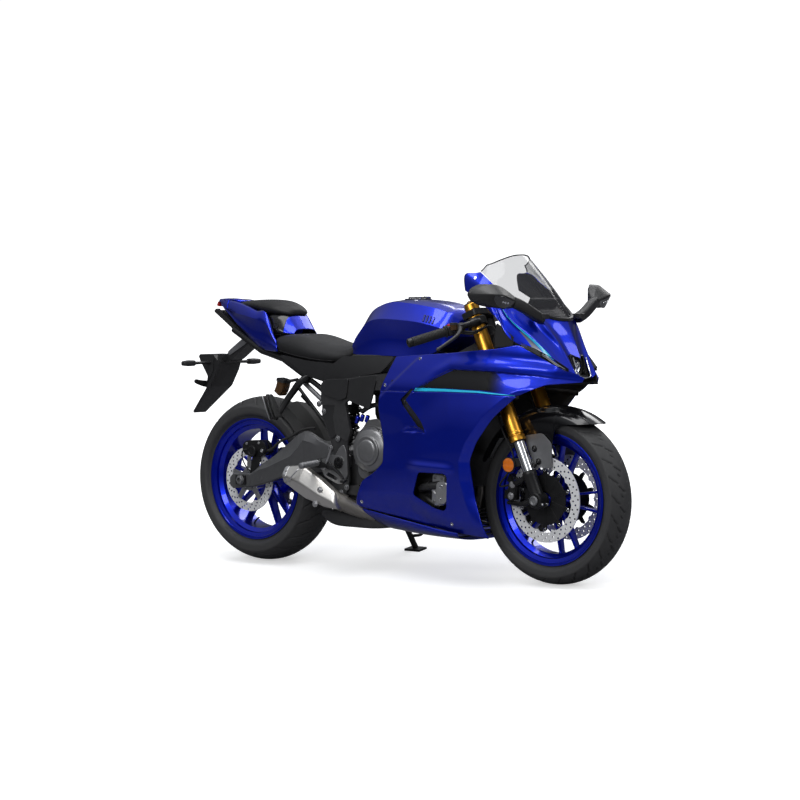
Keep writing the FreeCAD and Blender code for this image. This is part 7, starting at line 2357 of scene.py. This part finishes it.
arm_edges = [arm_section(118, arm_low), arm_section(136.5, arm_low), arm_section(141, arm_low + 4.5),
             arm_section(142 + swell * 0.72, arm_fold - 5), arm_section(142 + swell, arm_fold),
             arm_section(142 + swell * 0.5, arm_fold + 5), arm_section(141 - swell * 0.9, arm_top - 4.5),
             arm_section(136.5 - swell * 0.8, arm_top), arm_section(118, arm_top)]
arm_shape = capped(np.stack(arm_edges, axis=1))
brace = plate([(345, 372), (480, 378), (500, 400), (480, 440), (400, 470), (345, 470)], -117, 117, 14)
boss = lathe([(96, 0.01), (96, 24), (143.6, 24), (143.6, 0.01)], np.array([514.0, 0, 399.0]), steps=40)
axle_bosses = [lathe([(112.4, 0.01), (112.4, 18), (118, 18), (118, 0.01)], REAR_AXLE, steps=32),
               lathe([(-118, 0.01), (-118, 18), (-101, 18), (-101, 0.01)], REAR_AXLE, steps=32)]
spool_pad = lathe(
    [(130, 4.2), (130, 13), (143, 13), (144, 12), (144, 4.2)], np.array([98.0, 0, 326.0]), steps=32)
piece(
    "arm_pair", join(both(join(arm_shape, boss, spool_pad)), brace, *axle_bosses), "chassis", cast_grey,
    ["swingarm"], bevel=1.2, fold=30)
end_plate = plate([(-50, 283), (44, 292), (46, 338), (-44, 334), (-54, 318)], 141, 143.2, 6)
block = plate([(-26, 297), (26, 297), (26, 333), (-26, 333)], REAR_AXLE_Y, 149.6, 4)
piece("arm_end_plates", both(end_plate), "chassis", cast_grey, bevel=0.8)
piece("axle_blocks", both(block), "chassis", black_metal, ["rear_axle"], bevel=1.2)
nut = join(
    lathe([(149.6, 0.01), (149.6, 19), (151, 19), (151, 0.01)], REAR_AXLE, steps=36),
    lathe(
        [(151, 12.6), (151, 17), (156, 17), (157.4, 15.4), (157.4, 12.6), (151, 12.6)], REAR_AXLE,
        steps=6),
    lathe([(-0.1, 8), (-0.1, 12.5), (157, 12.5), (158, 11.5), (158, 8)], REAR_AXLE, steps=36))
piece("axle_nuts", both(nut), "chassis", satin_grey, bevel=0.5)
adjuster = lathe(
    [(-70, 0.01), (-70, 4), (-52, 4), (-52, 8), (-46, 8), (-46, 0.01)], np.array([0, 130.0, 310.0]),
    (1, 0, 0), 6)
piece("chain_adjusters", both(adjuster), "chassis", bright_steel)
print("the arm folds out by", round(float(swell.max()), 1), "mm")

# %% [markdown]
# ## Rear brake, guard and shock
#
# The rear caliper straddles the top of its disc and has a round piston boss. The shock is a turned
# damper inside a coil spring: the coil is a tube carried along a helix.

# %% Rear brake and shock
caliper_outline = [(-16, 424), (0, 408), (92, 408), (112, 420), (104, 452), (84, 467), (4, 464), (-16, 448)]
bridge_outline = [(-6, 446), (100, 446), (92, 462), (80, 466), (6, 463)]
rear_body = join(
    plate(caliper_outline, -119, -102.5, 8), plate(caliper_outline, -93.5, -80, 8),
    plate(bridge_outline, -104, -92, 4),
    lathe(
        [
            (-102, 0.01), (-102, 21.5), (-130, 21.5), (-132, 20), (-132, 14), (-130.5, 13),
            (-130.5, 0.01)
        ],
        np.array([42.0, 0, 424.0]), steps=44),
    lathe(
        [(-102, 0.01), (-102, 12), (-127, 12), (-128, 11), (-128, 0.01)], np.array([96.0, 0, 428.0]),
        steps=32),
    plate([(16, 330), (58, 338), (78, 430), (40, 446), (28, 384)], -115.6, -109, 8))
piece("rear_caliper_body", rear_body, "chassis", black_metal, ["rear_caliper"], bevel=1.1)
rear_pins = [
    bolt((x, y, z), (0, -1, 0), r, 4)
    for x, y, z, r in ((96, -128, 428, 7), (8, -119, 452, 5), (72, -119, 456, 5))
]
piece("rear_caliper_bolts", join(*rear_pins), "chassis", bright_steel)
lines = [
    tube([
        (112, -112, 428), (140, -118, 436), (176, -118, 462), (232, -112, 486), (285, -104, 512),
        (340, -92, 520)
    ], 5.2, 12, 60),
    tube([(16, -128, 430), (-8, -126, 424), (-10, -124, 392), (4, -122, 366), (20, -118, 350)], 2.6, 8, 40)
]
piece("rear_brake_lines", join(*lines), "chassis", soft_black)
shock_low = np.array([392.0, 0, 396.0])
shock_way = np.array([469.0, 0, 646.0]) - shock_low
shock_long = float(np.linalg.norm(shock_way))
damper = lathe([
    (0, 0.01), (0, 14), (56, 14), (58, 26), (64, 27), (66, 14), (150, 12), (196, 14), (198, 27),
    (212, 27), (214, 16), (shock_long, 14), (shock_long, 0.01)
], shock_low, shock_way, 40)
piece("damper", damper, "chassis", black_metal, ["rear_shock"])
coil = np.linspace(0, 1, 300)
first_way, second_way, shock_unit = axes_along(shock_way)
coil_path = (
    shock_low + (66 + 130 * coil)[:, None] * shock_unit
    + 21.5 * (
        np.cos(coil * 14 * math.pi)[:, None] * first_way
        + np.sin(coil * 14 * math.pi)[:, None] * second_way))
piece("shock_spring", tube(coil_path, 5.2, 12, smooth=False), "chassis", engine_grey)
print("the shock is", round(shock_long), "mm long")

# %% [markdown]
# ## Muffler and collector
#
# The short muffler is a folded steel box: six sides with rounded folds, drawn through four
# sections. A rounded cap with rivets closes its rear, and a wire clip holds it.

# %% Muffler
MUFFLER_SECTIONS = [
    (292, [(-206, 381), (-226, 352), (-216, 322), (-174, 322), (-160, 350), (-172, 380)]),
    (384, [(-202, 390), (-232, 326), (-215, 266), (-172, 262), (-159, 330), (-170, 388)]),
    (470, [(-202, 344), (-232, 286), (-215, 240), (-172, 238), (-159, 290), (-170, 342)]),
    (548, [(-204, 292), (-224, 256), (-210, 232), (-176, 230), (-162, 256), (-172, 290)]),
]


def folded_box(x_from, x_to, count, grow=0.0, end_round=10.0, radius=8.0):
    """Rings of the muffler between two places; grow moves them outwards and the ends are rounded."""
    places = np.array([row[0] for row in MUFFLER_SECTIONS], float)
    outlines = np.array([row[1] for row in MUFFLER_SECTIONS], float)
    rings = []
    for x in np.linspace(x_from, x_to, count):
        outline = np.array([[np.interp(x, places, outlines[:, k, j]) for j in (0, 1)] for k in range(6)])
        middle = outline.mean(axis=0)
        edge = min(x - x_from, x_to - x)
        inset = end_round * (1 - math.sqrt(1 - (1 - min(edge / end_round, 1)) ** 2)) if end_round else 0
        reach = np.linalg.norm(outline - middle, axis=1, keepdims=True)
        ring = corners(middle + (outline - middle) * (1 + (grow - inset) / reach), radius, 6)
        rings.append(np.concatenate([np.full((len(ring), 1), x), ring], axis=1))
    return capped(np.stack(rings))


def sloped(shape, lean=0.62):
    """Leans a box's ends: each point moves along x by its height above the muffler's middle line."""
    points, faces = shape
    middle = np.interp(points[:, 0], [292, 384, 548], [351, 326, 261])
    return points + np.stack([-(points[:, 2] - middle) * lean * ramp(points[:, 0], 300, 420) * 0.5,
                              np.zeros(len(points)), np.zeros(len(points))], 1), faces


piece("muffler_body", sloped(folded_box(300, 548, 60)), "chassis", muffler_steel, ["muffler"], fold=40)
piece("muffler_cap", folded_box(286, 316, 40, 1.6, 12), "chassis", silver_cast, fold=40)
outlet = lathe(
    [(282, 17), (279, 16.5), (279, 14.5), (282, 14), (318, 14), (318, 0.01)],
    np.array([0.0, -190, 350]), (1, 0, 0), 36)
piece("muffler_outlet", outlet, "chassis", pipe_steel)
rivets = [lathe([(0, 0.01), (0, 3.4), (1.2, 3), (2, 1.4), (2, 0.01)], np.array(at), (0, -1, -0.15), 14)
          for at in ((306, -219, 364), (306, -229.4, 342), (306, -223, 322))]
piece("muffler_rivets", join(*rivets), "chassis", pipe_steel)
clip = join(tube([(372, -200, 392), (378, -214, 386), (335, -233.5, 331), (331, -232, 326)], 2.6, 10, 30),
            tube([(372, -176, 392), (372, -202, 392)], 2.8, 10, 6))
piece("muffler_clip", clip, "chassis", bright_steel)
muffler_bolts = [
    join(
        lathe([(-3, 0.01), (-3, 12), (1, 12), (2, 10.5), (2, 0.01)], np.array(at), (0, -1, 0.1), 32),
        bolt(np.array(at) + [0, -1.6, 0], (0, -1, 0.1), 7, 3.4))
    for at in ((478, -223, 302), (452, -221, 250))
]
piece("muffler_bolts", join(*muffler_bolts), "chassis", silver_cast)
hanger = plate([(366, 384), (372, 398), (440, 402), (470, 394), (470, 380), (430, 378)], -176, -170, 5)
piece("muffler_hanger", hanger, "chassis", black_metal, bevel=0.8)


def pressed_box(sections, radius=10.0):
    """Rounded boxes (x, middle y, middle z, half width, half height) joined along x."""
    knots = np.array(sections, float)
    fine = spline(knots[:, 0], knots, np.linspace(knots[0, 0], knots[-1, 0], 50))
    rings = []
    for x, y, z, wide, high in fine:
        ring = corners(
            [(y - wide, z - high), (y + wide, z - high), (y + wide, z + high), (y - wide, z + high)],
            radius, 6)
        rings.append(np.concatenate([np.full((len(ring), 1), x), ring], axis=1))
    return capped(np.stack(rings))


chamber = pressed_box([
    (412, -122, 208, 16, 12), (450, -112, 200, 34, 24), (540, -86, 190, 46, 28),
    (640, -60, 186, 50, 26), (740, -30, 190, 44, 20)
], 12)
piece("collector_box", chamber, "chassis", engine_grey, fold=40)
cone = tube(
    [(640, -92, 206), (590, -126, 226), (540, -170, 256), (506, -190, 280)], [24, 26, 29, 30], 32, 40)
piece("collector_cone", cone, "chassis", pipe_steel)
joint = tube([(548, -163, 251), (532, -176, 261)], 33, 32, 4)
piece(
    "collector_band", join(joint, tube([(545, -190, 236), (545, -196, 252)], 5, 12, 4)), "chassis",
    pipe_steel)
print("muffler and collector done")

# %% [markdown]
# ## Footrests, covers and small parts
#
# Cast brackets carry the footrests; the engine's side covers are turned; the passenger's pegs sit
# on bent hangers, with a knuckle at their fold. Bolts and rounded edges make these dark parts readable.

# %% Rider's footrests and pedals
BAR_AROUND = 28


def bar_along(path, wide, high, power=4.0, steps=24):
    """A rounded bar carried along a path: rings of a superellipse, smaller at both ends."""
    path = curve(np.asarray(path, float), steps)
    side, up = section_frames(path)
    a, b = superellipse(power, BAR_AROUND).T
    place_along = np.linspace(0, 1, steps)
    size = np.minimum(1, 0.72 + 6 * np.minimum(place_along, 1 - place_along))[:, None, None]
    width = np.interp(
        place_along, np.linspace(0, 1, len(np.atleast_1d(wide))), np.atleast_1d(wide))[:, None, None]
    height = np.interp(
        place_along, np.linspace(0, 1, len(np.atleast_1d(high))), np.atleast_1d(high))[:, None, None]
    return capped(
        path[:, None]
        + (a[None, :, None] * side[:, None] * width + b[None, :, None] * up[:, None] * height) * size)


heel_outline = [
    (404, 390), (412, 404), (450, 414), (478, 428), (530, 424), (546, 404), (524, 388), (530, 362),
    (545, 338), (530, 322), (506, 322), (470, 336), (444, 346), (430, 372)
]
slots = [plate([(452, 352), (500, 334), (512, 344), (462, 364)], -170, -140, 4),
         plate([(444, 378), (500, 366), (504, 376), (452, 390)], -170, -140, 4)]
for side, label in ((-1, "right"), (1, "left")):
    holes = [cutter(shape if side < 0 else mirrored(shape)) for shape in slots]
    heel = plate(heel_outline, -160, -152.4, 8)
    rims = [lathe([(152, 0.01), (152, 14), (166, 14), (168, 12), (168, 8), (164, 7.6), (164, 0.01)],
                  np.array([x, 0, z]), steps=32) for x, z in ((420, 398), (470, 388), (522, 408))]
    piece(
        f"heel_plate_{label}", heel if side < 0 else mirrored(heel), "chassis", cover_grey, bevel=1.8,
        cut_with=holes)
    piece(f"heel_rims_{label}", join(*rims) if side > 0 else mirrored(join(*rims)), "chassis", black_metal)
    remove(*holes)
bead = np.linspace(0, 104, 120)
peg_ribs = 10.6 + 1.2 * np.tanh(3 * np.sin(bead * 2 * math.pi / 9))
peg_profile = [(0, 0.01), (0, 9)] + list(
    zip((bead + 2).tolist(), peg_ribs.tolist())) + [(108, 11), (110, 8), (110, 0.01)]
peg = join(lathe(peg_profile, np.array([424.0, 176.0, 397.0]), (0.154, 1.0, -0.045), 26),
           tube([(420, 158, 398), (424, 178, 397)], 9, 16, 4))
piece("rider_pegs", both(peg), "chassis", satin_grey, ["rider_footrests"])
pedal = join(
    bar_along(
        [(470, 168, 388), (520, 178, 372), (566, 198, 352), (588, 214, 343)], [7, 5, 5, 4], [9, 6, 5, 4]
    ),
    bar_along([(588, 204, 342), (596, 232, 338)], 9, 5),
    tube([(470, 158, 388), (470, 174, 388)], 9, 20, 4))
piece("pedals", both(pedal), "chassis", black_metal)
linkage = tube([(452, 171, 372), (474, 171, 420), (488, 170, 452)], 3.4, 10, 12)
piece("pedal_rods", both(linkage), "chassis", bright_steel)

# %% Passenger's footrests
hanger_path = [
    (334, 122, 712), (322, 142, 700), (290, 152, 664), (262, 158, 630), (240, 168, 594), (226, 180, 566)
]
hanger_bar = bar_along(hanger_path, [16, 13, 12, 12, 12, 12], [13, 12, 11, 11, 11, 10], steps=50)
knuckle = lathe(
    [(-12, 0.01), (-12, 12), (12, 12), (12, 0.01)], np.array([224.0, 184.0, 566.0]), (0.6, 0, 0.8), 28)
lug = lathe([(116, 0.01), (116, 11), (136, 11), (136, 0.01)], np.array([330.0, 0, 698.0]), steps=28)
piece(
    "peg_hangers", both(join(hanger_bar, knuckle, lug)), "chassis", black_metal,
    ["passenger_footrests"], bevel=0.6)
rubber = [
    bar_along([(226 + k, 190, 560), (212 + k, 196, 600), (192 + k, 196, 646)], [14, 15, 9], [4, 5, 3.4])
    for k in (0, 17)
]
edge = bar_along([(214, 196, 552), (200, 204, 598), (180, 204, 640)], [12, 13, 8], [1.8, 1.8, 1.5])
piece("passenger_pegs", both(join(*rubber)), "chassis", soft_black)
piece("passenger_peg_edges", both(edge), "chassis", bright_steel)
tank_box = bar_along([(176, -112, 646), (192, -112, 672), (198, -112, 694)], 22, [17, 19, 19], power=6)
piece("coolant_box", tank_box, "chassis", oil_amber)
piece("coolant_cap", join(bar_along([(196, -112, 690), (199, -112, 702)], 24, 21, power=6),
                          tube([(200, -110, 690), (262, -104, 700)], 6, 12, 8)), "chassis", satin_black)
struts = [tube([(252, 88, 668), (322, 90, 602), (392, 92, 538)], 6.5, 14, 20),
          tube([(300, 74, 606), (352, 78, 560), (400, 82, 512)], 6.5, 14, 20),
          tube([(300, 74, 606), (262, 80, 640)], 9, 14, 8)]
piece("rail_struts", both(join(*struts)), "chassis", black_metal)
sleeve = tube([(302, 112, 690), (356, 116, 654), (414, 120, 618)], 9, 18, 16)
piece("rail_sleeves", both(sleeve), "chassis", satin_grey)
print("footrests and struts done")

# %% [markdown]
# ## Frame plates and engine covers
#
# Thin cast panels lie on the frame plates: a satin one, a lighter band beside it and the cover
# round the pivot. The clutch cover is three turned steps, with bolts in its flange.

# %% Frame panels
panel_a = plate([(432, 644), (500, 634), (486, 562), (500, 500), (474, 484), (436, 566)], 152.2, 155.5, 8)
panel_b = plate([(500, 634), (545, 620), (571, 512), (556, 478), (500, 500), (486, 562)], 152.2, 157.5, 8)
pivot_cover = plate([
    (538, 468), (552, 440), (558, 356), (534, 326), (510, 338), (488, 366), (480, 388), (488, 416),
    (518, 456)
], 152.2, 158.5, 8)
piece("frame_panels", both(panel_a), "chassis", satin_black, bevel=1.2)
piece(
    "frame_bands",
    both(join(panel_b, plate([(438, 700), (596, 712), (626, 690), (560, 640), (440, 660)], 158.2, 161, 8))),
    "chassis", engine_grey, bevel=1.2)
piece("pivot_covers", both(pivot_cover), "chassis", cover_grey, bevel=1.4)
pivot = np.array([514.0, 0, 399.0])
pivot_ring = join(
    lathe([(158, 0.01), (158, 21), (162, 21), (163, 19), (163, 15), (160, 14.5), (160, 0.01)], pivot),
    bolt(pivot + [0, 159.5, 0], (0, 1, 0), 12, 4))
piece("pivot_bolts", both(pivot_ring), "chassis", black_metal)
frame_bolts = [
    join(
        lathe([(-2, 0.01), (-2, 11), (1, 11), (2, 10), (2, 0.01)], np.array(at)),
        bolt(np.array(at) + [0, 1.6, 0], (0, 1, 0), 7, 4))
    for at in (
        (510, 157, 488), (470, 153, 452), (548, 153, 310), (520, 153, 290), (440, 156, 586),
        (392, 130, 612))
]
piece("frame_bolts", both(join(*frame_bolts)), "chassis", satin_grey)
lower_cover = join(
    plate([(462, 706), (572, 709), (560, 640), (528, 628), (440, 652), (434, 678)], 161.5, 166, 10),
    plate([(580, 709), (712, 726), (674, 604), (566, 632)], 161.5, 168, 10))
piece("lower_covers", both(lower_cover), "chassis", satin_black, bevel=1.6)
air_box = plate([(560, 716), (800, 740), (812, 796), (552, 796)], -126, 126, 10)
piece("air_box", air_box, "chassis", soft_black, bevel=4)
case_back = plate([(498, 244), (566, 228), (604, 262), (600, 424), (520, 430), (498, 404)], -112, -84, 8)
piece("case_back", both(case_back), "chassis", engine_grey, bevel=3)

# %% Engine covers
clutch = np.array([664.0, 0, 449.0])
clutch_profile = [
    (-131, 0.01), (-131, 92), (-141, 92), (-144, 90), (-144, 84), (-157, 79), (-163, 72), (-165, 60),
    (-168, 55), (-172, 54), (-174, 51), (-173, 44), (-173, 41), (-176.5, 38), (-178, 34), (-178, 0.01)
]
clutch_lobe = plate(
    [(592, 372), (612, 344), (700, 352), (748, 372), (742, 440), (612, 440)], -142, -131, 14)
top_lobe = plate([(612, 520), (640, 560), (690, 566), (724, 530), (700, 480), (630, 480)], -141, -131, 12)
generator = np.array([790.0, 0, 410.0])
generator_profile = [
    (131, 0.01), (131, 86), (141, 86), (143, 84), (143, 78), (156, 74), (166, 64), (170, 50), (170, 34),
    (172, 31), (172, 0.01)
]
sprocket_case = plate([(556, 350), (640, 346), (664, 400), (642, 452), (556, 448)], 132, 152, 12)
pump = join(plate([(962, 266), (1016, 266), (1022, 374), (968, 378)], -164, -132, 10),
            lathe([(-160, 0.01), (-160, 24), (-170, 24), (-172, 22), (-172, 14), (-169, 13), (-169, 0.01)],
                  np.array([992.0, 0, 322.0]), steps=40))
covers = join(
    lathe(clutch_profile, clutch, steps=96), clutch_lobe, top_lobe,
    lathe(generator_profile, generator, steps=96), sprocket_case)
piece("clutch_and_generator_covers", covers, "chassis", cover_grey, ["engine_covers"], bevel=0.8, fold=32)
piece("pump_cover", pump, "chassis", silver_cast, bevel=1.2)
rim_bolts = []
for centre, radius, y, side, turns in (
    (clutch, 86, -143, -1, range(20, 360, 48)), (generator, 80, 142, 1, range(10, 360, 45))):
    for turn in turns:
        at = centre + [radius * math.cos(math.radians(turn)), y, radius * math.sin(math.radians(turn))]
        rim_bolts.append(join(
            lathe([(-4, 0.01), (-4, 8), (0.6, 8), (1, 7), (1, 0.01)], at, (0, side, 0), steps=20),
            bolt(at + [0, side, 0], (0, side, 0), 5, 4.5)))
for x, z in ((974, 280), (1008, 282), (1010, 362), (978, 364)):
    rim_bolts.append(bolt((x, -164, z), (0, -1, 0), 4.5, 4))
piece("cover_bolts", join(*rim_bolts), "chassis", satin_grey)
starts = [(588, -138, 556), (612, -138, 562), (636, -138, 560)]
unions = [
    lathe(
        [(-8, 0.01), (-8, 8), (16, 8), (18, 6.5), (18, 0.01)], np.array(at, float), (0.5, -0.2, 0.85),
        20)
    for at in starts
]
piece("blue_unions", join(*unions), "chassis", rim_blue)
water_hose = tube([(604, -128, 588), (660, -134, 612), (740, -140, 604), (820, -134, 560)], 9, 16, 40)
piece("water_hose", water_hose, "chassis", soft_black)
print("covers done")

# %% Side stand
pivot_at = np.array([482.0, 160.0, 283.0])
down = np.array([38.0, 108.0, -229.0]) / 256.0
ahead_of_leg = np.array([17.0, 6.0, 4.0])
coil_turns, coil_steps = 17, 238
t = np.linspace(0, 1, coil_steps)[:, None]
swing = 2 * math.pi * coil_turns * t
coil = pivot_at + ahead_of_leg + down * (4 + 84 * t) + 5.2 * (
    np.cos(swing) * [1, 0, 0] + np.sin(swing) * [0, 0.9, 0.43])
spring = join(
    tube(coil, 1.5, 7, smooth=False),
    tube([pivot_at + ahead_of_leg * 0.4, pivot_at + ahead_of_leg + down * 4], 2, 8, 4),
    tube([pivot_at + ahead_of_leg + down * 88, pivot_at + down * 96], 2, 8, 4))
piece("stand_spring", spring, "side_stand", bright_steel)
low_on_leg = pivot_at + down * 206
tang = tube(
    [low_on_leg, low_on_leg + [22, 12, 3], low_on_leg + [40, 17, 8], low_on_leg + [48, 18, 16]],
    [7, 6, 5.5, 5], 14, 20)
piece("stand_tang", tang, "side_stand", black_metal)
print("side stand done")

# %% [markdown]
# ## Number plate holder and indicators
#
# A dark arm carries a blank board; two stubby indicators stand out on stalks.

# %% Plate holder
board = plate([
    (-196, 757), (-226, 788), (-300, 790), (-308, 780), (-252, 702), (-268, 660), (-372, 563),
    (-366, 556), (-246, 664), (-206, 730)
], -61, 61, 8)
arm = plate([(-45, 868), (-30, 852), (-150, 772), (-196, 752), (-210, 770), (-166, 800)], -33, 33, 8)
neck = plate([(-196, 756), (-230, 790), (-180, 790), (-160, 764)], -33, 33, 4)
ribs = [plate([(-222, 776), (-286, 778), (-300, 770), (-256, 704), (-262, 676), (-226, 724)], y, y + 3, 4)
        for y in (-64, 61)]
board_points, board_faces = join(board, *ribs)
taper = np.interp(board_points[:, 2], [555, 600, 668], [0.5, 0.66, 1.0])
board_points = board_points * np.stack([np.ones(len(taper)), taper, np.ones(len(taper))], 1)
wings = bar_along(
    [(-294, -97, 686), (-296, -60, 677), (-297, 60, 677), (-294, 97, 686)], [4, 6, 6, 4], [8, 13, 13, 8]
)
piece(
    "plate_bracket", join((board_points, board_faces), arm, neck, wings), "chassis", satin_black,
    ["plate_holder"], bevel=1.6)
strut_bar = both(
    bar_along([(-52, 30, 862), (-110, 35, 826), (-168, 36, 792)], [2.4, 2.4, 2.0], [13, 12, 9]))
# satin grey on the struts is a painted highlight: it stands for the bright strips that light draws along
# them
piece("holder_struts", strut_bar, "chassis", satin_grey)
stalk = tube([(-244, 60, 757), (-246, 106, 757), (-244, 152, 757)], [7, 5.5, 6.5], 18, 16)
lamp = bar_along([(-243, 150, 757), (-243, 182, 757), (-241, 213, 757)], [13, 13, 10], [11, 12, 9], power=3)
piece("indicator_bodies", both(join(stalk, lamp)), "chassis", satin_black, ["rear_indicators"])
lens_bar = bar_along(
    [(-256.6, 160, 757), (-257, 182, 757), (-254, 204, 757)], [2.2, 2.4, 2.0], [7, 8, 6], power=3)
piece("indicator_lenses", both(lens_bar), "chassis", smoked_glass)
number_lamp = bar_along([(-300, -16, 716), (-300, 16, 716)], 6, 5)
piece("number_lamp", number_lamp, "chassis", satin_black)

print("holder and indicators done:", len(made), "pieces")

# %% [markdown]
# ## Finishes for the pieces that the CAD gives
#
# A node whose shape is right already keeps its mesh and gets a better material. The table below
# names the finish of each one that shows.

# %% Finishes for the CAD nodes
CAD_FINISHES = {
    paint_blue: ["belly_cowl"],
    gloss_black: ["nose_lip"],
    satin_black: ["cockpit_cover", "undertray", "side_covers", "radiator"],
    soft_black: ["hugger"],
    black_metal: ["triple_clamps", "side_stand", "cowl_stay", "seat_rail", "fairing_stays"],
    engine_grey: ["engine_block", "main_frame"],
    chrome: ["filler_ring", "fuel_cap"],
    pipe_steel: ["exhaust_pipes"],
}
for material, names in CAD_FINISHES.items():
    for name in names:
        for slot in bpy.data.objects[name].material_slots:
            slot.material = material
print("CAD nodes with a finish:", sum(len(names) for names in CAD_FINISHES.values()))

# %% [markdown]
# ## Pieces made
#
# The count of pieces made is printed.

# %% Count the pieces
print("pieces made:", len(made))
